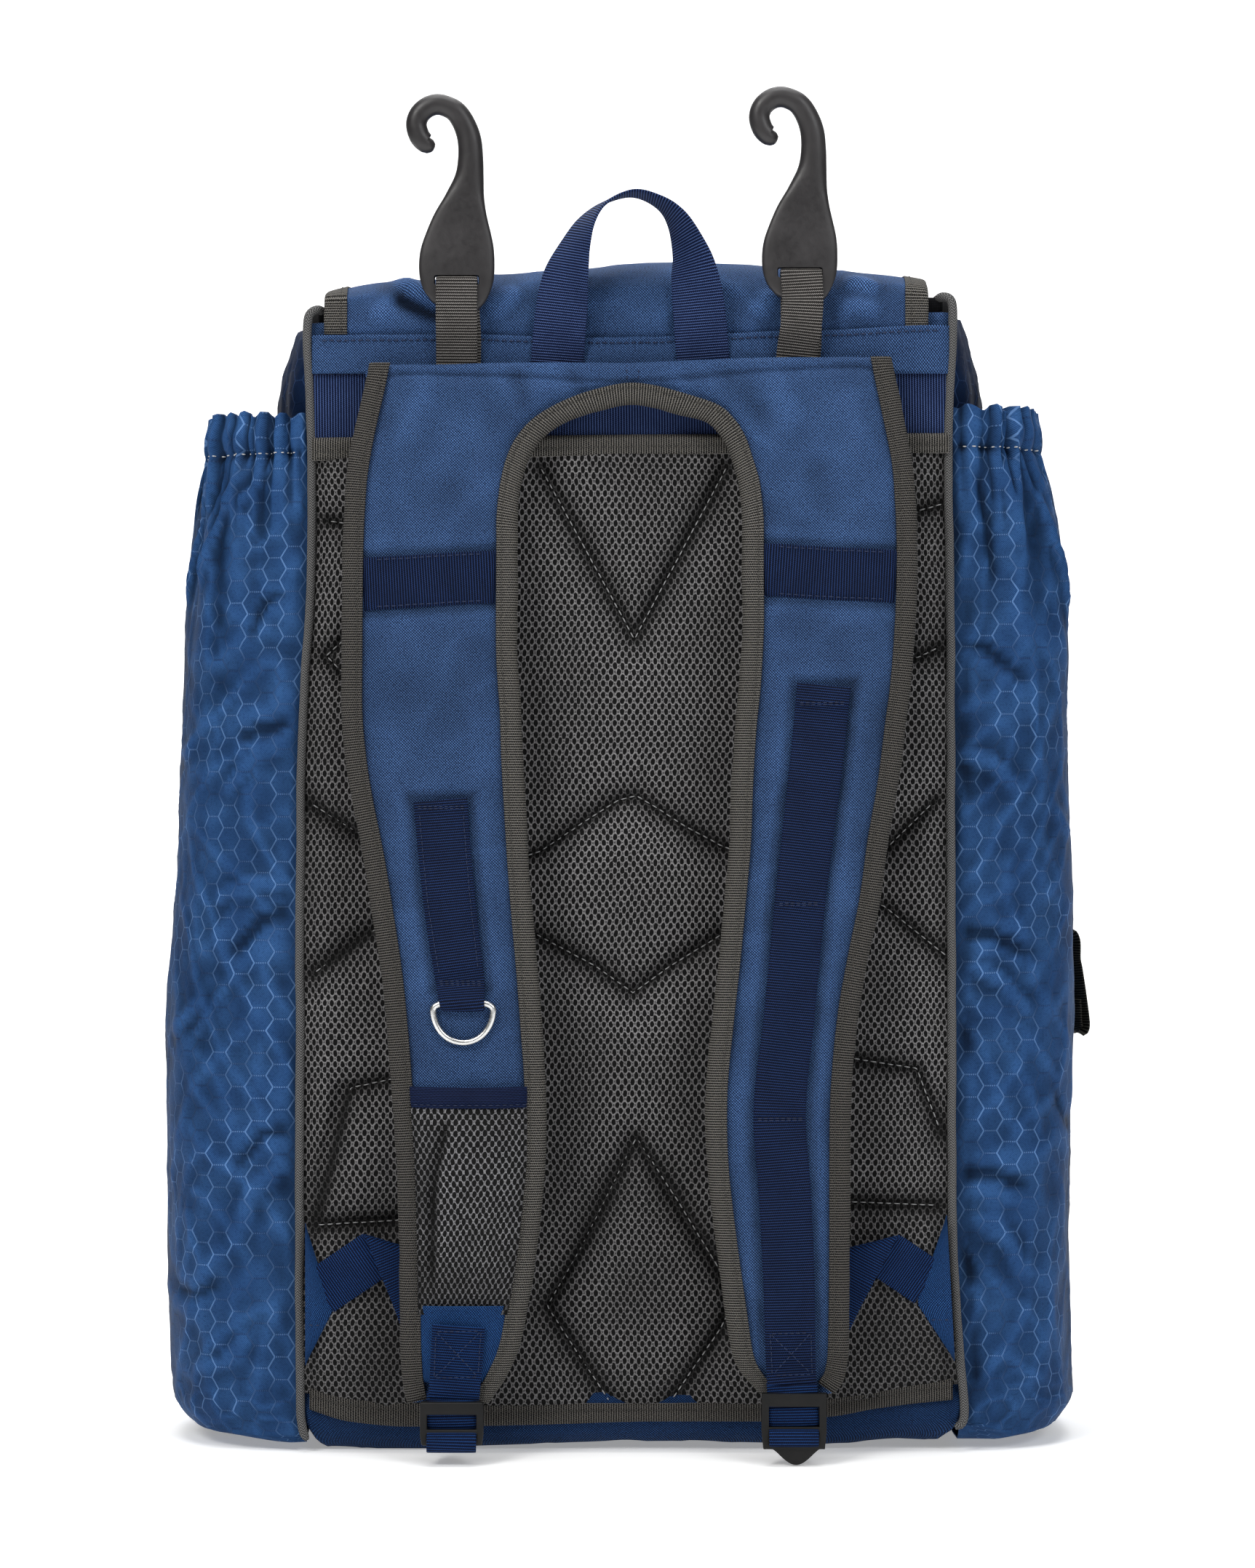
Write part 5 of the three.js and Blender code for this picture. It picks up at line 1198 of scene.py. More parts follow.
def make_back_bindings():
    # above the mesh
    x = np.linspace(-146.0, 146.4, 190)
    hi = np.interp(x, [-146, -100, 0, 146], [466.4, 466.8, 468.0, 468.6]) + 0.4 * n2(x, 0 * x, 40, 81)
    lo = np.interp(x, [-146, -100, 0, 146], [456.0, 456.6, 458.8, 459.6]) + 0.4 * n2(x, 0 * x, 34, 82)
    v = np.linspace(0, 1, 12)
    Zb = lo[None] + (hi - lo)[None] * v[:, None]
    Xb = np.repeat(x[None], 12, 0)
    prof = np.interp(v, [0, 0.06, 0.25, 0.38, 0.5, 0.8, 0.94, 1.0], [0.5, 1.0, 1.0, 0.75, 1.0, 1.1, 0.8, 0.0])
    Yb = -95.2 - 2.2 * prof[:, None] + 0.5 * n2(Xb, Zb, 14, 83)
    Yb = np.where(v[:, None] > 0.9, Yb + 1.0, Yb)
    b = Builder()
    F = np.stack([Xb, Yb, Zb], -1)
    B = np.stack([Xb, np.full_like(Yb, -92.4), Zb], -1)
    b.sheet(F.transpose(1, 0, 2), B.transpose(1, 0, 2), x, np.linspace(0, 10, 12), mat=0)
    o = b.object("back_binding_top_tape", [BIND], "binding")
    made(o, "back_binding_top")
    stitch_line(DARK_ST, np.stack([x, Yb[4] - 0.1, lo + 3.6], 1), FRONT, 2.2, 1.1, 0.24, 0.1, seed=84)
    # below the mesh
    t = BOTTOM_BIND
    w = np.array(photo_to_panel([(420, 1937), (480, 1955), (560, 1962), (720, 1960), (900, 1955), (1040, 1955), (1145, 1948), (1200, 1938), (1260, 1930), (1313, 1925)], -94))
    x = np.linspace(-147.2, 148.2, 190)
    hi = hermite(t[:, 0], t[:, 1], x)
    lo = hermite(w[:, 0], w[:, 1], x)
    Zb = lo[None] + (hi - lo)[None] * v[:, None]
    Xb = np.repeat(x[None], 12, 0)
    prof = np.interp(v, [0, 0.06, 0.2, 0.5, 0.62, 0.75, 0.94, 1.0], [0.3, 0.9, 1.15, 1.0, 0.7, 1.0, 1.0, 0.45])
    Yb = -92.2 - 3.0 * prof[:, None] + 0.5 * n2(Xb, Zb, 14, 85)
    F = np.stack([Xb, Yb, Zb], -1)
    B = np.stack([Xb, np.full_like(Yb, -90.8), Zb], -1)
    b = Builder()
    b.sheet(F.transpose(1, 0, 2), B.transpose(1, 0, 2), x, np.linspace(0, 10, 12), mat=0)
    o = b.object("back_binding_bottom_tape", [BIND_SHADED_LOW], "binding")
    made(o, "back_binding_bottom")
    stitch_line(DARK_ST, np.stack([x, Yb[7] - 0.1, lo + (hi - lo) * 0.66], 1), FRONT, 2.2, 1.1, 0.24, 0.1, seed=86)


make_back_bindings()


def make_piping():
    for side, pts, sgn in (("left", PIPE_LEFT, -1), ("right", PIPE_RIGHT, 1)):
        p = [[x, -92.4, z] for x, z in pts]
        # over the rim towards the front
        first = p[0]
        head = [[first[0] - sgn * 8.0, -74.0, first[2] - 6.0], [first[0] - sgn * 5.0, -82.0, first[2] - 1.4], [first[0] - sgn * 1.6, -89.0, first[2] + 0.4]]
        rows = dense(head + p[1:], 1.3)
        rows[:, 1] += 0.25 * n2(rows[:, 2], 0 * rows[:, 2], 30, 91)
        rows[:, 0] += 0.35 * n2(rows[:, 2], 0 * rows[:, 2], 24, 92 + sgn)
        r = 2.05 + 0.06 * n2(rows[:, 2], 0 * rows[:, 2], 6, 94)
        r[-3:] *= np.array([0.95, 0.8, 0.5])
        b = Builder()
        tube(b, rows, r, 14)
        made(b.object(f"piping_{side}_cord", [CORD], "piping"), f"piping_{side}")


make_piping()


# ------------------------------------------------------------------ side pockets
_gus = BODY_PLAN[4:11]


def body_half(sgn, y, z):
    """Outside of the body's gusset, at a depth and a height."""
    y, z = np.broadcast_arrays(np.asarray(y, float), np.asarray(z, float))
    yn = (y - CY) / HALF_D
    k = np.interp(yn, np.concatenate([[-1.0], _gus[:, 2]]), np.concatenate([[0.0], _gus[:, 1]]))
    side = hermite(BODY_LEVELS[:, 0], BODY_LEVELS[:, 2], z.ravel()).reshape(z.shape)
    cad = hermite(BODY_LEVELS[:, 0], BODY_LEVELS[:, 1], z.ravel()).reshape(z.shape)
    pull = hermite(BODY_LEVELS[:, 0], BODY_LEVELS[:, 3], z.ravel()).reshape(z.shape)
    corner = corner_x(sgn, z) - 0.9
    mixy = smoothstep(-0.95, -0.3, yn)
    half = corner * (1 - mixy) + cad * mixy
    return half + (side - half) * k - pull


POCKET_CREASES = {
    -1: [  # a place along the cloth from the back seam, height; then width and depth
        ([(34, 462), (46, 440), (58, 415), (66, 392)], 4.5, 3.2), ([(52, 462), (62, 438), (78, 402)], 4.0, -2.6), ([(20, 462), (30, 448), (40, 436)], 3.5, 2.0),
        ([(64, 462), (72, 442), (84, 412), (90, 385)], 4.0, 2.8), ([(8, 398), (20, 392), (30, 372)], 5, -2.4), ([(2, 336), (16, 334), (34, 328)], 6, -2.8), ([(4, 326), (20, 322), (40, 300)], 5, 2.2),
        ([(2, 250), (18, 244), (34, 226)], 6, -2.8), ([(3, 262), (22, 262), (46, 252)], 5, 2.2), ([(0, 150), (16, 146), (30, 128)], 5, -2.4), ([(4, 136), (20, 120), (28, 96)], 6, 1.8),
        ([(60, 330), (72, 322), (88, 322)], 5, 1.6), ([(44, 210), (60, 196), (74, 190)], 6, 1.6), ([(30, 80), (52, 70), (76, 74)], 6, -1.8), ([(16, 60), (34, 40), (60, 34)], 6, 1.6)],
    1: [
        ([(28, 462), (34, 440), (36, 414)], 4.2, 2.8), ([(44, 462), (54, 436), (62, 410), (74, 372)], 4.8, 3.2), ([(60, 462), (70, 440), (82, 404)], 4.0, -2.4),
        ([(14, 460), (20, 430), (22, 396)], 4.5, -2.2), ([(2, 372), (18, 370), (40, 352)], 5, -2.2), ([(0, 322), (18, 318), (36, 300)], 6, 2.4), ([(2, 240), (20, 238), (44, 226)], 6, -2.6),
        ([(4, 226), (24, 216), (40, 196)], 5, 2.2), ([(0, 128), (18, 128), (38, 120)], 6, -2.4), ([(6, 112), (26, 96), (34, 70)], 6, 1.8), ([(50, 300), (66, 286), (84, 284)], 6, 1.6), ([(50, 170), (66, 150), (86, 146)], 6, -1.6)],
}


def painted_turn_shade(A, total):
    """Painted shade: 1 where the pocket turns out of sight, seen from the back."""
    return np.exp(-((A - 0.46 * total) / (0.1 * total)) ** 2)


def make_pocket(side, sgn, column):
    idx = np.concatenate([np.linspace(0, 3, 22, endpoint=False), np.linspace(3, 12, 182)])
    base = np.arange(13.0)
    zl = hermite(base, POCKET_LEVELS[:, 0], idx)
    zl = np.where(idx < 3, np.interp(idx, base, POCKET_LEVELS[:, 0]), zl)
    out = catmull(POCKET_LEVELS[:, [column]], idx)[:, 0]
    share = np.clip(hermite(base, POCKET_LEVELS[:, 3], idx), 0, 1)
    q = np.linspace(0, 11, 112)
    k = np.clip(catmull(POCKET_PLAN[:, [0]], q)[:, 0], 0, 1.01)
    y = catmull(POCKET_PLAN[:, [1]], q)[:, 0]
    k[0] = k[-1] = 0
    Y = np.repeat(y[None], len(idx), 0)
    Z = np.repeat(zl[:, None], len(q), 1)
    foot = body_half(sgn, Y, np.maximum(Z, 4)) + 0.9 + 0.9 * smoothstep(9, 5, Z)
    X = foot + (out[:, None] - foot) * k[None] * share[:, None]
    P = np.stack([sgn * X, Y, Z], -1)
    N = normals_of(P)
    if (N[100, 60, 0] * sgn) < 0:
        N = -N
    a = np.concatenate([[0], np.cumsum(np.linalg.norm(np.diff(P[120], axis=0), axis=1))])
    A = np.repeat(a[None], len(idx), 0)
    total = a[-1]
    seam = smoothstep(0, 9, A) * smoothstep(0, 9, total - A)
    seed = 100 if sgn < 0 else 140
    d = np.zeros_like(Z)
    # gathers of the elastic mouth, fading into long folds
    ph = A / 13.0 * 2 * math.pi + 5.0 * n2(A, Z * 0.15, 30, seed)
    gather = np.sin(ph + 0.7 * np.sin(ph)) + 0.4 * np.sin(2.3 * ph + 1.0)
    g_amp = 2.3 * smoothstep(452, 470, Z) + 1.2 * smoothstep(418, 455, Z) * smoothstep(474, 462, Z)
    d += gather * g_amp * (0.4 + 2.2 * np.abs(n2(A, 0 * Z, 30, seed + 1)))
    ph2 = A / 30 * 2 * math.pi + 2.0 * n2(A, Z * 0.3, 50, seed + 2)
    d += (1.4 * np.sin(ph2 + (470 - Z) * 0.012)) * smoothstep(330, 440, Z) * smoothstep(478, 455, Z)
    # casing drawn in along its stitches
    d -= 1.6 * np.exp(-((Z - 464.0) / 2.2) ** 2) * (1.0 - 0.4 * gather)
    d += 1.3 * np.exp(-((Z - 472.5) / 4.5) ** 2)
    # slack and dents
    body = smoothstep(8, 40, Z) * smoothstep(476, 440, Z)
    turned = 1 - 0.55 * np.exp(-((A - 0.46 * total) / (0.17 * total)) ** 2)
    body = body * turned
    d += body * (3.4 * n2(A * 0.9, Z * 0.5, 52, seed + 3) + 1.1 * n2(A, Z, 26, seed + 4))
    u1, u2 = A * 0.86 + Z * 0.5, Z * 0.86 - A * 0.5
    v1, v2 = A * 0.86 - Z * 0.5, Z * 0.86 + A * 0.5
    d += body * (1.1 * (ridge(u1 * 1.5, u2 * 0.62, 34, seed + 5) - 0.3) + 0.9 * (ridge(v1 * 1.5, v2 * 0.62, 30, seed + 6) - 0.3))
    d += body * (0.22 * (ridge(u1, u2, 14, seed + 7) - 0.3))
    d += smoothstep(3, 12, Z) * smoothstep(44, 16, Z) * (1.2 * n2(A, Z * 1.5, 20, seed + 9) + 0.8 * (ridge(A, Z * 1.6, 15, seed + 10) - 0.3))
    for line, w, dep in POCKET_CREASES[sgn]:
        d += crease(A, Z, line, w * 0.62, dep * 1.05, 0.3)
    # puckers where it is sewn into the corded corner
    pull = np.exp(-(A / 13.0) ** 2)
    d -= pull * 1.5 * (0.5 + 0.5 * np.sin(Z / 9.5 + 2.5 * n2(Z, 0 * Z, 40, seed + 11))) * smoothstep(10, 40, Z)
    d *= seam
    # painted shade in the folds and painted highlight on the crests, with noise; painted shade along the corded corner,
    # in the casing's groove by its stitches and where the cloth turns out of sight
    painted_shading = painted_fold_shade(d, 0.2, 16, -0.22, 0.32) + painted_fold_shade(d, 0.7, 3, -0.28, 0.34) + 0.16 * n2(A, Z, 60, seed + 15)
    painted_shading = painted_shading + (0.4 if sgn < 0 else 0.6) * np.exp(-(A / (5.0 if sgn < 0 else 7.5)) ** 2) + 0.3 * np.exp(-((Z - 462.5) / 2.4) ** 2) + 0.66 * painted_turn_shade(A, total)
    P = P + N * d[..., None]
    P[..., 2] += (1.5 * np.sin(ph * 1.0 + 1.2) + 1.2 * n2(A, 0 * Z, 22, seed + 12)) * smoothstep(466, 482, Z) * seam
    P[..., 2] -= (4.0 if sgn < 0 else 1.0) * smoothstep(380, 462, Z)
    P[..., 2] = np.maximum(P[..., 2], 0.9 + (4.5 * np.exp(-(A / 26.0) ** 2) if sgn < 0 else 12.0 * np.exp(-(A / 38.0) ** 2)))
    P[..., 1] = np.maximum(P[..., 1], -90.6)
    N = normals_of(P)
    if (N[100, 60, 0] * sgn) < 0:
        N = -N
    th = 0.55
    F, B = P + N * th, P - N * th
    b = Builder()
    hz = np.concatenate([[0], np.cumsum(np.linalg.norm(np.diff(P[:, 55], axis=0), axis=1))])
    b.sheet(F, B, hz, a, mat=0, back_mat=0, painted_shading=np.clip(painted_shading, -0.35, 0.85))
    for i in range(2):
        b.c[i] = b.c[i][:, ::-1].copy()
    o = b.object(f"side_pocket_{side}_cloth", [RIP], "ripstop")
    made(o, f"side_pocket_{side}")
    row = int(np.argmin(np.abs(zl - 464.0)))
    line = F[row, 4:-4]
    stitch_line(PALE_ST, line, N[row, 4:-4], 2.0, 2.6, 0.3, 0.15, seed=seed + 20)
    return F, N, a, zl


POCKET_L = make_pocket("left", -1, 1)
POCKET_R = make_pocket("right", 1, 2)


# ------------------------------------------------------------------ harness
EDGE = 1.15
MID = len(STRAP_LEFT) - 1
HARNESS = np.array([*STRAP_LEFT[::-1], *STRAP_RIGHT[1:]], float)
H_ROWS = np.concatenate([((HARNESS[:, 0] + HARNESS[:, 2]) / 2)[:, None], ((HARNESS[:, 1] + HARNESS[:, 3]) / 2)[:, None], HARNESS[:, 4:5],
                         HARNESS[:, 0:4], np.arange(len(HARNESS))[:, None]], 1)
H = dense(H_ROWS, 2.0)
H_O = np.stack([H[:, 3], H[:, 2], H[:, 4]], 1)
H_I = np.stack([H[:, 5], H[:, 2], H[:, 6]], 1)
H_E = unit(H_I - H_O)
H_W = np.linalg.norm(H_I - H_O, axis=1)
H_K = H[:, 7]
DIPS = []


def strap_rows(side, z):
    t = np.array((STRAP_LEFT if side < 0 else STRAP_RIGHT)[9:], float)[::-1]
    z = np.asarray(z, float)
    return [np.interp(z, t[:, 1], t[:, k]) for k in (0, 2, 4)]


def pad_profile(u, w):
    """Outward crown of the padding at a distance from both edges."""
    m = np.minimum(u, w - u)
    round_ = 4.0 * (1 - np.sqrt(np.clip(1 - ((4.2 - np.clip(m, 0, 4.2)) / 4.2) ** 2, 0, 1)))
    crown = 1.5 * smoothstep(8.6, 20, m) - 0.9 * np.exp(-((m - 9.6) / 1.6) ** 2)
    return crown - round_


def strap_y(side, x, z):
    o, i, y = strap_rows(side, z)
    w = np.abs(i - o)
    u = np.abs(np.asarray(x, float) - o)
    return y - pad_profile(u, w)


def on_strap(side, x, z, lift):
    return strap_y(side, x, z) - lift


def web_dip(side, X, Z, edges, depth=0.9, beyond=0.8):
    """The padding is pressed under a sewn webbing and drawn in beside it. edges: z, left x, right x."""
    e = np.array(edges, float)[::-1]
    zl, zh = e[0, 0], e[-1, 0]
    xl, xr = np.interp(Z, e[:, 0], e[:, 1]), np.interp(Z, e[:, 0], e[:, 2])
    inside = np.minimum(np.minimum(X - xl, xr - X), np.minimum(Z - zl, zh - Z))
    return -depth * smoothstep(-1.0, 1.5, inside) - beyond * np.exp(-((inside + 1.5) / 2.6) ** 2)


def bar_dip(side, X, Z):
    a, b_ = (413.4, 409.4) if side < 0 else (416.7, 412.7)
    xo, xi = (-124, -52) if side < 0 else (124, 52)
    t = (X - xi) / (xo - xi)
    top = a + (b_ - a) * t
    mid = top - 11.9
    return -0.7 * np.exp(-((np.abs(Z - mid) - 13.2) / 2.4) ** 2) - 0.5 * smoothstep(13, 11, np.abs(Z - mid))


def make_yoke():
    T = STRAP_T
    q = np.linspace(0, 1, 47)
    q = 0.5 - 0.5 * np.cos(q * math.pi) * (0.75 + 0.25 * np.abs(np.cos(q * math.pi)))
    q = (q - q[0]) / (q[-1] - q[0])
    W = (H_W - 2 * EDGE)[:, None]
    u = q[None] * W
    C = H_O[:, None] + H_E[:, None] * (EDGE + u)[..., None]
    X, Z = C[..., 0], C[..., 2]
    prof = pad_profile(u, W)
    k = H_K[:, None] + 0 * u
    yoke = smoothstep(MID - 7.5, MID - 3, k) * smoothstep(MID + 7.5, MID + 3, k)
    low = smoothstep(440, 405, Z)
    nz = 0.55 * n2(X, Z, 44, 151) + 0.30 * n2(X, Z, 18, 152) + 0.22 * (ridge(X, Z, 26, 153) - 0.3)
    f = prof + nz * smoothstep(0, 12, np.minimum(u, W - u))
    # soft shallow folds on the yoke, from its top edge and from the shoulders
    for line, w, dep in [([(-55, 500), (-50, 488), (-46, 474)], 5, -0.8), ([(-92, 498), (-98, 476), (-104, 452)], 8, 0.8), ([(36, 500), (52, 486), (66, 466)], 6, -0.9),
                         ([(60, 500), (70, 482), (78, 462)], 7, 0.7), ([(96, 498), (104, 470), (106, 446)], 8, 0.7), ([(-30, 500), (-24, 490), (-20, 482)], 4, -0.6),
                         ([(16, 500), (22, 490), (30, 482)], 4, 0.6), ([(-70, 470), (-78, 450), (-84, 430)], 8, -0.6), ([(80, 460), (88, 440), (90, 424)], 8, -0.6)]:
        f = f + crease(X, Z, line, w, dep)
    left = (X < 0)
    f = f + np.where(left, bar_dip(-1, X, Z), bar_dip(1, X, Z))
    f = f + np.where(left & (Z < 330), web_dip(-1, X, Z, D_RING_WEB[:-1], 0.8, 0.9), 0)
    f = f + np.where(~left & (Z < 380), web_dip(1, X, Z, LONG_WEB, 0.8, 0.9), 0)
    # centre seam
    f = f - 0.9 * np.exp(-((X - 1.2) / 0.5) ** 2) * smoothstep(470, 480, Z)
    # under the strap pocket the padding is flat
    f = f - np.where(left & (Z < 169), 1.8 * smoothstep(169, 164, Z), 0)
    Fr = C.copy()
    Fr[..., 1] = H[:, 2][:, None] - f
    Bk = C.copy()
    Bk[..., 1] = H[:, 2][:, None] + T + np.minimum(prof * 0.8, 0.4) + 0.3 * n2(X, Z, 30, 154)
    gap = smoothstep(0, 5, np.minimum(u, W - u))
    Bk[..., 1] = np.maximum(Bk[..., 1], Fr[..., 1] + 1.2)
    b = Builder()
    s2 = np.concatenate([X, X[:, -1:]], 1)
    t2 = np.concatenate([Z, Z[:, -1:]], 1)
    rings = np.concatenate([Fr, Bk[:, ::-1]], 1)
    n = Fr.shape[1]
    mat = np.zeros(rings.shape[:2], int)
    mat[:, n - 1:] = 1
    mat[:, 2 * n - 1] = 0
    SX, SZ = rings[..., 0], rings[..., 2]
    # painted shade in the padding's folds and painted highlight on its crests, with noise; painted shade in the dip
    # beside the bindings and towards the bottom; none on the back skin
    df = painted_fold_shade(f - prof, 0.8, 10, -0.25, 0.6) + 0.22 * n2(X, Z, 34, 155) + 0.3 * np.exp(-((np.minimum(u, W - u) - 8.6) / 1.6) ** 2) + 0.15 * smoothstep(450, 390, Z)
    painted_shading = np.concatenate([df, 0 * df], 1)
    b.loft(rings, np.concatenate([SX, SX[:, :1]], 1), np.concatenate([SZ, SZ[:, :1]], 1), mat=mat, painted_shading=painted_shading)
    o = b.object("harness_padding", [POLY, MESH], "navy_polyester")
    made(o, "harness_yoke")
    return Fr, X, Z


YOKE, YX, YZ = make_yoke()
_yp = YOKE[::2, ::2].reshape(-1, 3)


def yoke_y(x, z):
    """Front of the padding near a place, from its own points."""
    x, z = np.atleast_1d(x), np.atleast_1d(z)
    out = []
    for a, c in zip(x, z):
        d = (_yp[:, 0] - a) ** 2 + (_yp[:, 2] - c) ** 2
        j = np.argpartition(d, 4)[:4]
        w = 1 / (d[j] + 0.3)
        out.append((w * _yp[j, 1]).sum() / w.sum())
    return np.array(out)


def make_strap_bindings():
    half = STRAP_T / 2
    toward = FRONT
    mid_y = H[:, 2] + half

    def edge(points, e, sl, name, node, seed, top_z=None):
        pts = points[sl].copy()
        inward = e[sl]
        pts = pts + inward * EDGE
        pts[:, 1] = mid_y[sl]
        if top_z is not None:
            # straight on up to the yoke's top edge
            if pts[0, 2] > pts[-1, 2]:
                pts = pts[::-1]
            pts = pts[pts[:, 2] < top_z - 13.5]
            step = (pts[-1] - pts[-9]) / 8
            n = int(round((top_z - pts[-1, 2]) / step[2]))
            pts = np.concatenate([pts, pts[-1] + step * np.arange(1, n + 1)[:, None]])
            T = unit(np.gradient(pts, axis=0) * np.array([1, 0, 1.0]))
            inward = np.stack([T[:, 2], 0 * T[:, 0], -T[:, 0]], 1)
            inward = inward * -np.sign(inward[:, :1] * pts[:, :1])
            ends = np.array([1, 0, 0]) * inward[-1, 0] / abs(inward[-1, 0])
            blend = smoothstep(10, 0, top_z - pts[:, 2])[:, None]
            inward = unit(inward * (1 - blend) + (ends + np.array([0, 0, 0.0])) * blend)
        b = Builder()
        rolled(b, pts, inward, toward, half + 0.15, width=8.8, wall=0.95, round_=4.2, seed=seed)
        made(b.object(name, [BIND if node.endswith("arch") else BIND_SHADED_LOW], "binding"), node)
        line = pts + inward * 6.3 + toward * (half + 1.12)
        stitch_line(DARK_ST, line, toward, 2.3, 1.0, 0.24, 0.02, seed=seed)

    top = 0.12
    left = np.where(H_K <= MID - 4 + top)[0]
    right = np.where(H_K >= MID + 4 - top)[0]
    edge(H_O, H_E, left, "strap_binding_left_tape", "strap_binding_left", 161, 498.9)
    edge(H_O, H_E, right, "strap_binding_right_tape", "strap_binding_right", 162, 502.6)
    # the inner arch, a little wavy on the right
    arch = H_I.copy()
    k = H_K
    wavy = smoothstep(MID + 0.5, MID + 2.0, k) * smoothstep(MID + 7, MID + 4.5, k)
    run = np.concatenate([[0], np.cumsum(np.linalg.norm(np.diff(arch, axis=0), axis=1))])
    arch = arch + (-H_E) * (wavy * 0.8 * np.sin(run / 7.5))[:, None]
    edge(arch, -H_E, slice(None), "strap_binding_arch_tape", "strap_binding_arch", 163)


make_strap_bindings()


def yoke_stitches():
    # centre seam with a line of stitches on each side
    for dx, seed in ((-2.6, 171), (2.6, 172)):
        z = np.linspace(499.5, 484.5, 12)
        stitch_line(NAVY_ST, np.stack([np.full(12, 1.2 + dx), yoke_y(np.full(12, 1.2 + dx), z) - 0.1, z], 1), FRONT, 2.0, 0.9, 0.22, 0.1, seed=seed)


yoke_stitches()


# ------------------------------------------------------------------ crossbars and sewn webbings
def make_crossbars():
    for side, sgn, inner, outer_ in (("left", -1, 413.4, 409.4), ("right", 1, 416.7, 412.7)):
        xs = np.arange(57.0, 124.6, 1.2) * sgn
        t = (np.abs(xs) - 52) / 74
        top = inner + (outer_ - inner) * t
        bow = 0.5 * n2(xs, 0 * xs, 30, 181 + sgn)
        zc = top - 11.9 + bow
        y = on_strap(sgn, xs, np.minimum(zc, 418), 0.75)
        m = np.minimum(np.abs(xs) - 50.8, 130.6 - np.abs(xs))
        y = y + 1.9 * smoothstep(13.0, 8.6, m)
        C = np.stack([xs, y, zc], 1)
        b = Builder()
        C, T, W, N, s = strip(b, C, np.array([0, 0, 1.0]), 23.9, 1.5, n=15, wave=0.35, seed=183 + sgn, crown=0.25)
        made(b.object(f"crossbar_{side}_weave", [WEB], "navy_webbing"), f"crossbar_{side}")
        keep = slice(8, -8)
        for off, sd in ((10.6, 1), (-10.6, 2)):
            line = C[keep] + np.array([0, -0.95, off])
            stitch_line(NAVY_ST, line, FRONT, 2.2, 1.0, 0.24, 0.1, seed=184 + sd)


make_crossbars()


def box_x(points4, y, builder, seed, length=1.9, r=0.24):
    """Stitches round a box and across it. points4 are its corners in x-z."""
    p = [np.array(c, float) for c in points4]
    for i in range(4):
        stitch_line(builder, flat_line([p[i], p[(i + 1) % 4]], y), FRONT, length, 0.8, r, 0.08, seed=seed + i)
    stitch_line(builder, flat_line([p[0], p[2]], y), FRONT, length, 0.8, r, 0.08, seed=seed + 5)
    stitch_line(builder, flat_line([p[1], p[3]], y), FRONT, length, 0.8, r, 0.08, seed=seed + 6)


def make_long_webbing():
    rows = np.array(LONG_WEB)
    z = np.arange(352.0, 35.0, -1.4)
    xl = hermite(rows[::-1, 0], rows[::-1, 1], z)
    xr = hermite(rows[::-1, 0], rows[::-1, 2], z)
    xc = (xl + xr) / 2
    depth = strap_y(1, xc, z)
    s = 352 - z
    hem = 0.9 * smoothstep(9.5, 8.0, s)
    pinch = sum(-0.45 * np.exp(-((z - zz) / 2.2) ** 2) for zz in (253.5, 156.5, 348.5))
    puff = 0.5 * n2(z, 0 * z, 26, 191)
    y = depth - 0.75 - hem - np.maximum(0, pinch + puff + 0.25)
    # the last stretch runs to the top bar of the ladder lock
    y = np.where(z < 44, y - 1.4 * smoothstep(44, 36, z), y)
    C = np.stack([xc, y, z], 1)
    b = Builder()
    C, T, W, N, s = strip(b, C, np.array([1.0, 0, 0]), xr - xl, 1.5, n=13, crown=0.2, seed=192)
    made(b.object("long_webbing_weave", [WEB], "navy_webbing"), "long_webbing")
    yy = lambda x, zz: np.interp(-zz, -z, y) - 0.95
    for z0, sd in ((344.0, 1), (253.5, 2), (156.5, 3)):
        l, r = np.interp(z0, z[::-1], xl[::-1]), np.interp(z0, z[::-1], xr[::-1])
        stitch_line(NAVY_ST, flat_line([(l + 1.2, z0), (r - 1.2, z0 + 0.2)], yy), FRONT, 1.9, 0.7, 0.28, 0.1, seed=193 + sd)
        stitch_line(NAVY_ST, flat_line([(l + 1.2, z0 - 0.9), (r - 1.2, z0 - 0.7)], yy), FRONT, 1.9, 0.7, 0.26, 0.1, seed=198 + sd)
    box_x([(63.2, 59.2), (81.6, 59.6), (82.2, 40.6), (64.2, 40.2)], yy, NAVY_ST, 205)


make_long_webbing()


RING_FACE = float(strap_rows(-1, D_RING_BAR)[2])
RING_Y = RING_FACE - 3.9


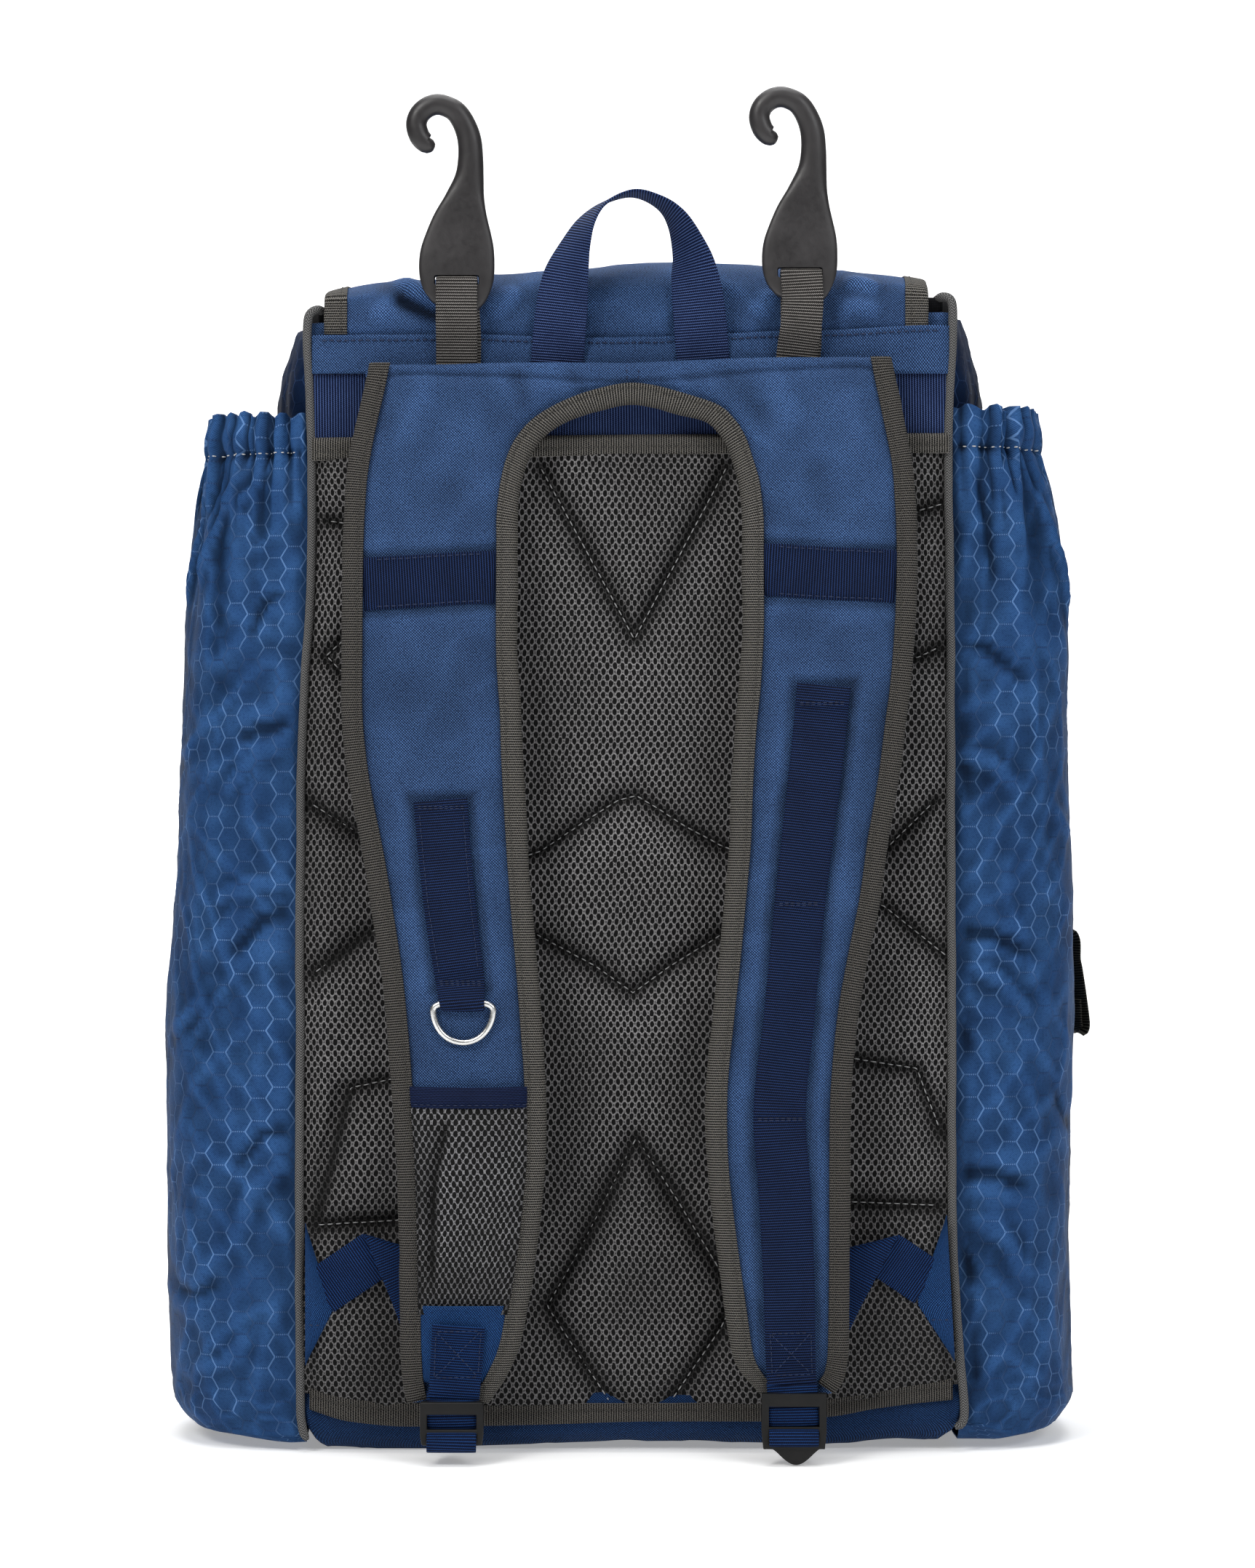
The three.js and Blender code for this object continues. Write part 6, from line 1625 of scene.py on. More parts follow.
def make_ring_webbing():
    path = [[300.1, 1.5], [296, 1.5], [285, 1.15], [273.8, 1.15], [247.5, 1.25], [226, 1.3], [219, 1.8], [214, 4.2], [210.5, 6.1], [D_RING_BAR, 6.35],
            [D_RING_BAR - 2.1, 5.6], [D_RING_BAR - 2.8, 3.9], [D_RING_BAR - 2.1, 2.1], [D_RING_BAR, 1.45], [212, 1.3], [216.5, 1.2]]
    e = np.array(D_RING_WEB)[::-1]
    rows = []
    for z, lift in path:
        xl, xr = np.interp(z, e[:, 0], e[:, 1]), np.interp(z, e[:, 0], e[:, 2])
        base = float(strap_rows(-1, z)[2])
        rows.append([(xl + xr) / 2, base - lift, z, xr - xl])
    R = dense(rows, 1.0)
    # above the ring the strap's own crown carries it
    crown = strap_y(-1, R[:, 0], R[:, 2]) - strap_rows(-1, R[:, 2])[2]
    on = smoothstep(216, 228, R[:, 2]) * (np.arange(len(R)) < len(R) * 0.8)
    R[:, 1] += np.minimum(crown, 0) * on
    b = Builder()
    C, T, W, N, s = strip(b, R[:, :3], np.array([1.0, 0, 0]), R[:, 3], 1.4, n=13, crown=0.15, seed=211)
    made(b.object("d_ring_webbing_weave", [WEB], "navy_webbing"), "d_ring_webbing")
    front = R[:, 1] - 0.9
    n = int(len(R) * 0.7)
    yy = lambda x, zz: np.interp(-zz, -R[:n, 2], front[:n])
    for z0, sd in ((297.2, 1), (296.2, 2), (218.4, 3), (217.4, 4), (216.6, 5)):
        l, r = np.interp(z0, e[:, 0], e[:, 1]), np.interp(z0, e[:, 0], e[:, 2])
        stitch_line(NAVY_ST, flat_line([(l + 1.0, z0), (r - 1.0, z0)], yy), FRONT, 1.8, 0.6, 0.28, 0.1, seed=212 + sd)
    for k in (2.2, -2.2):
        z = np.linspace(294, 222, 30)
        xe = np.interp(z, e[:, 0], e[:, 1] if k > 0 else e[:, 2]) + k
        stitch_line(NAVY_ST, np.stack([xe, yy(xe, z), z], 1), FRONT, 2.0, 0.9, 0.22, 0.06, seed=218 + int(k))


make_ring_webbing()


def make_d_ring():
    half, low, wire = 13.6, 17.6, 1.5
    route = [[t * half, 0.0] for t in np.linspace(-0.78, 0.78, 10)]
    for a in np.linspace(-0.06, math.pi + 0.06, 60)[::-1][::-1]:
        route.append([half * math.cos(a), -1.6 - (low - 1.6) * max(0.0, math.sin(a)) ** 0.94])
    p = np.array([[D_RING_X + x, RING_Y, D_RING_BAR + z] for x, z in route])
    # even spacing round the loop
    q = np.concatenate([p, p[:1]])
    L = np.concatenate([[0], np.cumsum(np.linalg.norm(np.diff(q, axis=0), axis=1))])
    at = np.linspace(0, L[-1], 141)[:-1]
    p = np.stack([np.interp(at, L, q[:, k]) for k in range(3)], 1)
    for _ in range(6):
        p = (np.roll(p, 1, 0) + 2 * p + np.roll(p, -1, 0)) / 4
    b = Builder()
    tube(b, p, wire, 18, closed=True)
    made(b.object("d_ring_wire", [STEEL], "ring_steel"), "d_ring")


make_d_ring()


# ------------------------------------------------------------------ mesh pocket, patch and box webbing on the left strap
def pocket_edges(z):
    o, i, y = strap_rows(-1, z)
    return o + 8.6, i - 8.6, y


def make_strap_pocket():
    z = np.arange(163.0, 66.5, -1.15)
    q = np.linspace(0, 1, 110)
    xo, xi, y0 = pocket_edges(z)
    Z = np.repeat(z[:, None], len(q), 1)
    X = xo[:, None] + (xi - xo)[:, None] * q[None]
    lift = np.interp(z, [69, 72, 76.6, 90, 103, 135.9, 160.5, 163], [0.2, 0.5, 1.8, 4.4, 5.8, 6.6, 6.7, 6.4])[:, None] * np.minimum(1, np.sin(np.pi * np.clip(q, 0, 1)) * 1.25)[None] ** 0.8
    # a fold of the mesh laid over towards the outside
    fx = photo_to_panel([(624, 1520), (618, 1550), (612, 1579), (604, 1615), (601, 1645), (600, 1700), (599, 1740), (597, 1793)], -133)
    fz = np.array([p[1] for p in fx])[::-1]
    fxx = np.interp(Z, fz, np.array([p[0] for p in fx])[::-1])
    side = X - fxx
    fold = 3.6 * smoothstep(-0.9, 0.9, side) * np.exp(-np.clip(side, 0, None) / 8.0) - 2.2 * np.exp(-((side + 2.4) / 2.2) ** 2)
    amt = smoothstep(159, 150, Z) * smoothstep(72, 96, Z)
    D = lift + fold * np.minimum(amt, 1.0) + 0.6 * n2(X, Z, 24, 221) * np.sin(np.pi * q)[None]
    # drawn in below the elastic
    D = D - 0.8 * np.exp(-((Z - 161.5) / 2.5) ** 2)
    D = np.maximum(D, np.interp(Z, [66, 72.5, 76], [-0.7, -0.5, 0.5]))
    base = y0[:, None] + 0 * X
    F = np.stack([X, base - 0.4 - D - 0.8, Z], -1)
    B = np.stack([X, base - 0.4 - D + 0.4, Z], -1)
    b = Builder()
    # painted shade in the valley on the low side of the fold and painted highlight on its raised side; painted shade
    # towards the bottom and along the sides, with noise
    painted_shading = 0.85 * np.exp(-((side + 1.5) / 1.5) ** 2) * np.minimum(amt, 1) + 0.35 * np.exp(-((side + 5.5) / 4.5) ** 2) * amt - 0.25 * np.exp(-((side - 4.5) / 4.0) ** 2) * amt
    painted_shading = painted_shading + 0.32 * smoothstep(110, 70, Z) + 0.35 * smoothstep(0.07, 0.0, np.minimum(q, 1 - q))[None] + 0.35 * n2(X, Z, 20, 225) - 0.08
    b.sheet(F, B, z, q * 50, painted_shading=np.clip(painted_shading, -0.3, 0.9))
    for i in range(2):
        b.c[i] = b.c[i][:, ::-1].copy()
    cloth = made(b.object("strap_pocket_mesh_cloth", [MESH_LIGHT], "spacer_mesh"), "strap_pocket_mesh")
    # elastic band at the mouth
    z = np.arange(170.8, 161.0, -0.5)
    xo, xi, y0 = pocket_edges(z)
    Z = np.repeat(z[:, None], len(q), 1)
    X = xo[:, None] + (xi - xo)[:, None] * q[None]
    lift = 6.9 * np.minimum(1, np.sin(np.pi * q) * 1.3)[None] ** 0.8
    prof = np.interp(z, [161.0, 161.7, 162.8, 166, 169.8, 170.8], [0.35, 0.95, 1.15, 1.2, 1.1, 0.55])[:, None]
    D = lift + prof + 0.3 * n2(X, Z * 2, 9, 222) - 0.35 * np.exp(-((Z - 163.0) / 0.5) ** 2) + 0.35 * n2(X, Z * 0.2, 20, 223)
    F = np.stack([X, y0[:, None] - 0.5 - D, Z], -1)
    B = np.stack([X, y0[:, None] - 0.5 - D + 1.3 + 0 * Z, Z], -1)
    b = Builder()
    b.sheet(F, B, z, q * 52)
    band = made(b.object("strap_pocket_band_elastic", [ELASTIC], "navy_webbing"), "strap_pocket_band")
    r = 16
    stitch_line(NAVY_ST, F[r, 1:-1] + np.array([0, -0.1, 0]), FRONT, 2.0, 1.2, 0.26, 0.1, seed=224)


ELASTIC = webbing("navy_elastic", srgb(40, 58, 104), srgb(5, 12, 36), 0.75, 1.6)
make_strap_pocket()


def make_patch():
    z = np.arange(71.5, 36.0, -1.2)
    q = np.linspace(0, 1, 30)
    xo, xi, y0 = pocket_edges(z)
    xo, xi = xo + 0.1, xi - 0.1
    Z = np.repeat(z[:, None], len(q), 1)
    X = xo[:, None] + (xi - xo)[:, None] * q[None]
    Y = np.array([strap_y(-1, X[i], z[i]) for i in range(len(z))])
    top = 1.5 * np.exp(-((71.5 - Z) / 2.2) ** 2) * smoothstep(0.0, 0.14, np.minimum(q, 1 - q))[None]
    box = web_dip(-1, X, Z, [[62.7, -89.2, -65.3], [32.5, -90.8, -67.8]], 0.3, 0.5)
    D = 0.9 + top + box + 0.35 * n2(X, Z, 12, 231)
    F = np.stack([X, Y - D - 0.4, Z], -1)
    B = np.stack([X, Y - 0.1 + 0 * D, Z], -1)
    b = Builder()
    b.sheet(F, B, z, q * 44)
    made(b.object("strap_lower_patch_cloth", [POLY_SHADED_LOW], "navy_polyester"), "strap_lower_patch")
    # webbing with a stitched box, running to the ladder lock
    z = np.arange(62.7, 29.0, -1.2)
    xl = np.interp(z, [30, 62.7], [-91.0, -89.2])
    xr = np.interp(z, [30, 62.7], [-68.0, -65.3])
    xc = (xl + xr) / 2
    y = strap_y(-1, xc, np.maximum(z, 30)) - 2.1 - 0.8 * smoothstep(55, 61, z)
    y = y - 1.2 * smoothstep(42, 33, z)
    b = Builder()
    C, T, W, N, s = strip(b, np.stack([xc, y, z], 1), np.array([1.0, 0, 0]), xr - xl, 1.5, n=13, crown=0.2, seed=232)
    made(b.object("box_webbing_left_weave", [WEB_LOW], "navy_webbing"), "box_webbing_left")
    yy = lambda x, zz: np.interp(-zz, -z, y) - 0.95
    box_x([(-87.6, 60.4), (-67.2, 60.6), (-68.6, 39.6), (-88.4, 39.2)], yy, NAVY_ST, 233)


make_patch()


# ------------------------------------------------------------------ ladder locks
def ladder(name, node, x, z, wide, tall, bars, tab):
    """A flat frame with two windows. bars: heights of the three bars and two windows from the top."""
    bm_x = [-wide / 2, -wide / 2 + 3.2, wide / 2 - 3.2, wide / 2]
    zz = [0]
    for h in bars:
        zz.append(zz[-1] - h)
    solid = lambda i, j: (j % 2 == 0) or i in (0, 2)
    verts, faces, key = [], [], {}

    def vid(i, j, k):
        if (i, j, k) not in key:
            key[(i, j, k)] = len(verts)
            verts.append([bm_x[i], (-2.8, 2.8)[k], zz[j]])
        return key[(i, j, k)]

    for i in range(3):
        for j in range(5):
            if not solid(i, j):
                continue
            faces.append([vid(i, j, 0), vid(i, j + 1, 0), vid(i + 1, j + 1, 0), vid(i + 1, j, 0)])
            faces.append([vid(i, j, 1), vid(i + 1, j, 1), vid(i + 1, j + 1, 1), vid(i, j + 1, 1)])
            if i == 0 or not solid(i - 1, j):
                faces.append([vid(i, j, 0), vid(i, j, 1), vid(i, j + 1, 1), vid(i, j + 1, 0)])
            if i == 2 or not solid(i + 1, j):
                faces.append([vid(i + 1, j, 0), vid(i + 1, j + 1, 0), vid(i + 1, j + 1, 1), vid(i + 1, j, 1)])
            if j == 0 or not solid(i, j - 1):
                faces.append([vid(i, j, 0), vid(i + 1, j, 0), vid(i + 1, j, 1), vid(i, j, 1)])
            if j == 4 or not solid(i, j + 1):
                faces.append([vid(i, j + 1, 0), vid(i, j + 1, 1), vid(i + 1, j + 1, 1), vid(i + 1, j + 1, 0)])
    v = np.array(verts)
    # drawn-in foot, rocked middle bar
    v[:, 0] *= 1 - 0.05 * smoothstep(-tall * 0.75, -tall, v[:, 2])
    v[:, 1] -= 0.6 * smoothstep(-tall * 0.2, 0, v[:, 2]) - 0.5 * smoothstep(-tall * 0.7, -tall, v[:, 2])
    mesh = bpy.data.meshes.new(name)
    mesh.from_pydata((v * MM + np.array([x, -131.9, z]) * MM).tolist(), [], faces)
    o = bpy.data.objects.new(name, mesh)
    bpy.context.scene.collection.objects.link(o)
    outward(o)
    parts = [o]
    if tab:
        # a thumb tab under the foot
        half = []
        for a in np.linspace(0, 1, 26):
            xx = -11.6 + 23.4 * a
            dep = -1.0 - 7.2 * math.sin(math.pi * np.clip((a - 0.04) / 0.92, 0, 1)) ** 1.25
            half.append([xx + 0.8, dep])
        ring_ = [[-11.2, 1.2]] + half + [[12.2, 1.2]]
        lo, hi = -1.5, 1.7
        V = [[p[0], lo, p[1]] for p in ring_] + [[p[0], hi, p[1]] for p in ring_]
        n = len(ring_)
        Fs = [list(range(n)), list(range(2 * n - 1, n - 1, -1))] + [[i, n + i, n + (i + 1) % n, (i + 1) % n] for i in range(n)]
        m2 = bpy.data.meshes.new(name + "_tab")
        m2.from_pydata((np.array(V) * MM + np.array([x, -131.9, z - tall + 1.0]) * MM).tolist(), [], Fs)
        t = bpy.data.objects.new(name + "_tab", m2)
        bpy.context.scene.collection.objects.link(t)
        outward(t)
        boo = o.modifiers.new("join", "BOOLEAN")
        boo.operation, boo.object, boo.solver = "UNION", t, "EXACT"
        apply_modifiers(o)
        bpy.data.objects.remove(t)
    bev = o.modifiers.new("round", "BEVEL")
    bev.width, bev.segments, bev.limit_method, bev.angle_limit = 0.75 * MM, 3, "ANGLE", math.radians(40)
    apply_modifiers(o)
    o.data.materials.clear()
    o.data.materials.append(BUCKLE)
    o.data.polygons.foreach_set("use_smooth", [True] * len(o.data.polygons))
    o.data.set_sharp_from_angle(angle=math.radians(38))
    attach(o, "root")
    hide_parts(node)
    return o


ladder("ladder_lock_left_frame", "ladder_lock_left", -80.4, 28.8, 28.6, 19.6, (5.8, 6.6, 2.4, 2.4, 2.4), False)
ladder("ladder_lock_right_frame", "ladder_lock_right", 73.9, 32.6, 29.2, 25.0, (5.8, 9.2, 2.2, 5.9, 1.9), True)


def make_buckle_webbings():
    """The short stretches of webbing that show in the ladder locks' windows."""
    for name, node_x, rows, w in (
            ("ladder_webbing_left", -80.4, [[-80.6, -128.4, 33.0], [-80.5, -130.6, 27.5], [-80.4, -131.7, 22.0], [-80.3, -131.0, 17.5], [-80.3, -128.8, 15.0]], 22.6),
            ("ladder_webbing_right", 73.6, [[73.0, -128.6, 37.0], [73.4, -131.0, 30.0], [73.6, -132.6, 24.0], [73.7, -132.0, 18.6], [73.8, -129.6, 16.6]], 22.8)):
        R = dense(rows, 0.7)
        b = Builder()
        strip(b, R, np.array([1.0, 0, 0]), w, 1.4, n=13, crown=0.2, seed=241)
        made(b.object(name, [WEB_LOW], "navy_webbing"))


make_buckle_webbings()


# ------------------------------------------------------------------ lower webbings and corner tabs
def ribbon(b, P, thick, mat=0):
    """A woven strip whose middle surface is a grid: along, then across."""
    N = normals_of(P)
    u = np.linspace(-1, 1, P.shape[1])
    prof = ((1 - np.abs(u) ** 6) ** 0.5 * 0.85 + 0.15)[None, :, None] * thick / 2
    rings = np.concatenate([P + N * prof, (P - N * prof)[:, ::-1]], 1)
    s = lengths(P[:, P.shape[1] // 2][:, None], 0)
    t = lengths(P[:1].transpose(1, 0, 2), 0)
    t = np.concatenate([t, t[::-1], t[:1]])
    b.loft(rings, s, np.repeat(t[None], len(P), 0), mat=mat)


def make_lower_webbings():
    """Flat webbing from the corner tab, folded over itself along a slanted crease, then down to the ladder lock."""
    for side, sgn, start, crease_at, d1, d2, foot in (
            ("left", -1, (445.3, 1773.8), (503, 1704), (0.82, 0.573), (0.377, -0.926),
             [[-82.6, -113.0, 30], [-81.2, -114.8, 19], [-81.0, -119.0, 10.5], [-80.8, -126.6, 6.9], [-80.6, -133.0, 6.5], [-80.5, -136.0, 8.4], [-80.4, -136.3, 12.0], [-80.4, -134.4, 14.6], [-80.4, -130.6, 15.2]]),
            ("right", 1, (1269.9, 1761.6), (1246, 1702), (-0.82, 0.573), (-0.462, -0.887),
             [[76.4, -113.0, 33], [74.4, -114.8, 22], [73.9, -119.0, 14.0], [73.8, -126.6, 11.0], [73.8, -132.4, 9.6], [73.8, -136.0, 9.8], [73.8, -136.6, 12.6], [73.8, -136.0, 15.2], [73.8, -134.2, 16.4]])):
        c0, p0 = (np.array(v) for v in photo_to_panel([start, crease_at], -104))
        d1, d2 = unit(np.array(d1)), unit(np.array(d2))
        c = unit(d1 + d2)
        m = np.array([-c[1], c[0]])
        m = m if m @ d1 > 0 else -m
        n1 = np.array([-d1[1], d1[0]])
        n1 = n1 if n1[1] > 0 else -n1
        r, half = 1.9, 11.2
        t = half * np.sin(np.linspace(-math.pi / 2, math.pi / 2, 17))
        s = np.arange(-2.5, 90.0, 0.8)
        p = c0[None, None] + s[:, None, None] * d1 + t[None, :, None] * n1
        h = ((p - p0) * m).sum(-1)
        last = int(np.argmax(h.min(1) > math.pi * r + 1.0)) + 1
        p, h, s = p[:last], h[:last], s[:last]
        g = np.where(h < 0, h, np.where(h < math.pi * r, r * np.sin(np.clip(h / r, 0, math.pi)), -(h - math.pi * r)))
        flat = p + m * (g - h)[..., None]
        rise = r * (1 - np.cos(np.clip(h / r, 0, math.pi)))
        # slack: the strip lies on the tab at its end and lifts towards the crease
        base = -99.6 - 5.6 * smoothstep(0, 26, s)[:, None] - 0.9 * np.sin(np.pi * (t[None] / half + 1) / 2) * smoothstep(0, 20, s)[:, None]
        P = np.stack([flat[..., 0], base - rise, flat[..., 1]], -1)
        # the rest is carried down by its middle
        q0, q1 = P[-1, 8], P[-1, 8] + np.array([d2[0] * 18, -1.0, d2[1] * 18])
        W0 = unit(P[-1, -1] - P[-1, 0])
        W1 = np.array([np.sign(W0[0]), 0, 0])
        rows = dense([list(P[-3, 8]), list(q0), list(q1), *foot], 1.1)
        rows = rows[2:]
        k = smoothstep(0.15, 0.6, np.linspace(0, 1, len(rows)))[:, None]
        W = W0 * (1 - k) + W1 * k
        T = unit(np.gradient(rows, axis=0))
        W = unit(W - (W * T).sum(1, keepdims=True) * T)
        tail = rows[:, None] + W[:, None] * t[None, :, None]
        P = np.concatenate([P, tail[1:]])
        b = Builder()
        ribbon(b, P, 1.4)
        made(b.object(f"lower_webbing_{side}_weave", [WEB_LOW], "navy_webbing"), f"lower_webbing_{side}")


make_lower_webbings()


def make_tabs():
    for side, sgn, tri in (("left", -1, [(419, 1683), (457, 1803), (419, 1878)]), ("right", 1, [(1302, 1672), (1260, 1792), (1313, 1872)])):
        p = [np.array(a) for a in photo_to_panel(tri, -101)]
        n = 22
        F = np.zeros((n, n, 3))
        for i, a in enumerate(np.linspace(0, 1, n)):
            # from the upper corner to the lower one, each row reaching in to the point
            outer_pt = p[0] * (1 - a) + p[2] * a
            peak = (p[1][1] - p[0][1]) / (p[2][1] - p[0][1])
            reach = a / peak if a < peak else (1 - a) / (1 - peak)
            inner = outer_pt + (p[1] - (p[0] * (1 - peak) + p[2] * peak)) * max(reach, 0.02)
            for j, c in enumerate(np.linspace(0, 1, n)):
                q = outer_pt * (1 - c) + inner * c
                puff = 1.6 * math.sin(math.pi * min(1, c * 0.9 + 0.05)) * math.sin(math.pi * a) ** 0.5
                F[i, j] = [q[0], -99.6 - puff + 4.5 * (1 - c) ** 3 * 0 + 0.4 * float(n2(q[0], q[1], 9, 261)), q[1]]
        B = F.copy()
        B[..., 1] = F[..., 1] + 1.2
        b = Builder()
        b.sheet(F, B, F[:, 0, 2], np.linspace(0, 16, n))
        made(b.object(f"corner_tab_{side}_cloth", [POLY_SHADED_LOW], "navy_polyester"), f"corner_tab_{side}")
        a, c = F[15, 2], F[15, -3]
        L = np.stack([a + (c - a) * t for t in np.linspace(0, 1, 8)]) + np.array([0, -0.3, 0])
        stitch_line(NAVY_ST, L, FRONT, 1.9, 1.0, 0.26, 0.3, seed=262)


make_tabs()


# ------------------------------------------------------------------ fence hooks and their webbing
def make_hooks():
    for side, x, y, z in HOOKS:
        t = np.linspace(0, len(HOOK_LINE) - 1, 190)
        R = catmull(HOOK_LINE, t)
        L = np.concatenate([[0], np.cumsum(np.linalg.norm(np.diff(R[:, :2], axis=0), axis=1))])
        at = np.linspace(0, L[-1], 170)
        R = np.stack([np.interp(at, L, R[:, k]) for k in range(4)], 1)
        R[:, 2:] = np.maximum(R[:, 2:], 0.15)
        C = np.stack([x + R[:, 0], np.full(len(R), y), z + R[:, 1]], 1)
        T = unit(np.gradient(C, axis=0))
        N = unit(np.cross(T, np.array([[0, 1.0, 0]])))
        a = (np.arange(28) + 0.5) * 2 * math.pi / 28
        flat = smoothstep(5.5, 11, R[:, 2])
        e = 0.95 - 0.45 * flat
        c, s = np.cos(a), np.sin(a)
        u = np.sign(c)[None] * np.abs(c)[None] ** e[:, None]
        w = np.sign(s)[None] * np.abs(s)[None] ** e[:, None]
        rings = C[:, None] + N[:, None] * (u * R[:, 2][:, None])[..., None] + np.array([0, 1.0, 0]) * (w * R[:, 3][:, None])[..., None]
        b = Builder()
        b.loft(rings)
        o = b.object(f"fence_hook_{side}_moulding", [HOOK], "hook_plastic")
        outward(o)
        cut = Builder()
        zz = z + SLOT_Z
        hw, hh, r = 10.0, 2.2, 1.0
        box = []
        for cx, cz, a0 in ((hw - r, hh - r, 0), (-hw + r, hh - r, 90), (-hw + r, -hh + r, 180), (hw - r, -hh + r, 270)):
            for k in range(5):
                an = math.radians(a0 + k * 22.5)
                box.append([cx + r * math.cos(an), cz + r * math.sin(an)])
        rr = np.array([[[x + p[0] * f, y + d, zz + 0.1 + p[1] * f] for p in box] for d, f in ((-10, 1.16), (-3.2, 1.05), (-2.0, 1.0), (2.0, 1.0), (3.2, 1.05), (10, 1.16))])
        cut.loft(rr)
        k = cut.object(f"slot_cutter_{side}", [HOOK])
        outward(k)
        m = o.modifiers.new("slot", "BOOLEAN")
        m.operation, m.object, m.solver = "DIFFERENCE", k, "EXACT"
        apply_modifiers(o)
        bpy.data.objects.remove(k)
        o.data.polygons.foreach_set("use_smooth", [True] * len(o.data.polygons))
        o.data.set_sharp_from_angle(angle=math.radians(40))
        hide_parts(f"fence_hook_{side}")
        front, behind, s_ = y - 3.0 - 1.15, y + 3.0 + 1.15, z + SLOT_Z
        tilt = -0.8 if side == "left" else 3.0
        path = [[front + 8.0, 489], [front + 7.6, 500], [front + 6.2, 508], [front + 2.4, 516], [front + 0.4, z - 1], [front - 0.1, z + 5], [front, s_ - 2.0], [front + 0.5, s_ + 0.4],
                [y - 1.6, s_ + 1.6], [y + 1.6, s_ + 1.6], [behind - 0.6, s_ + 0.4], [behind, s_ - 2.2], [behind, z - 1], [behind + 0.2, 512], [front + 9.6, 502], [front + 9.6, 489]]
        rows = []
        for i, (py, pz) in enumerate(path):
            down = (s_ - pz) / 36.0
            back = smoothstep(7, 11, i)
            sway = (-0.2 if side == "left" else -1.8) * down
            if side == "right":
                sway += 1.4 * math.sin(np.clip(down, 0, 1) * math.pi) * (1 - back)
            rows.append([x + sway + (1.6 if side == "left" else 1.6) * float(back) * min(1.0, down * 1.5) + (0.0 if side == "left" else 0.6), py, pz])
        Rw = dense(rows, 0.9)
        bb = Builder()
        strip(bb, Rw, np.array([1.0, 0, 0]), 18.9, 1.3, n=13, crown=0.15, wave=0.2, seed=271)
        made(bb.object(f"hook_webbing_{side}_weave", [WEB_GREY], "grey_webbing"), f"hook_webbing_{side}")


make_hooks()


# ------------------------------------------------------------------ haul handle and side tail
def make_handle():
    R = dense(HANDLE[:, [0, 2, 1, 3]], 1.2)
    C = R[:, :3]
    T = unit(np.gradient(C, axis=0))
    flat = unit(np.cross(T, np.array([[0, 1.0, 0]])))
    a = np.radians(R[:, 3])[:, None]
    W = flat * np.cos(a) + np.array([[0, 1.0, 0]]) * np.sin(a)
    b = Builder()
    C, T, W, N, s = strip(b, C, W, 24.2, 1.6, n=15, wave=0.25, seed=281, crown=0.0)
    made(b.object("haul_handle_weave", [WEB_LIT_TOP], "navy_webbing"), "haul_handle")


make_handle()


def make_tail():
    path = [[209.5, 236.0], [212.6, 235.0], [214.0, 231.5], [214.2, 228.0], [214.2, 222.6], [215.2, 217.4], [217.2, 204.6], [218.6, 193.0], [218.4, 188.9], [217.1, 187.2], [215.7, 188.6],
            [214.9, 193.0], [214.4, 203.0]]
    R = dense([[x, 17.0, z] for x, z in path], 1.0)
    b = Builder()
    C, T, W, N, s = strip(b, R, np.array([0.46, -0.888, 0.0]), 15.5, 1.4, n=13, wave=0.3, seed=291)
    made(b.object("side_strap_tail_weave", [WEB_BLACK], "black_webbing"), "side_strap_tail")


make_tail()


# ------------------------------------------------------------------ the stitches
for builder, name, mat, slot_ in ((NAVY_ST, "stitches_navy", THREAD_NAVY, "navy_webbing"), (DARK_ST, "stitches_dark", THREAD_DARK, "binding"),
                                  (PALE_ST, "stitches_pale", THREAD_PALE, "ripstop"), (GREY_ST, "stitches_grey", THREAD_GREY, "spacer_mesh")):
    if builder.v:
        builder.object(name, [mat], slot_)


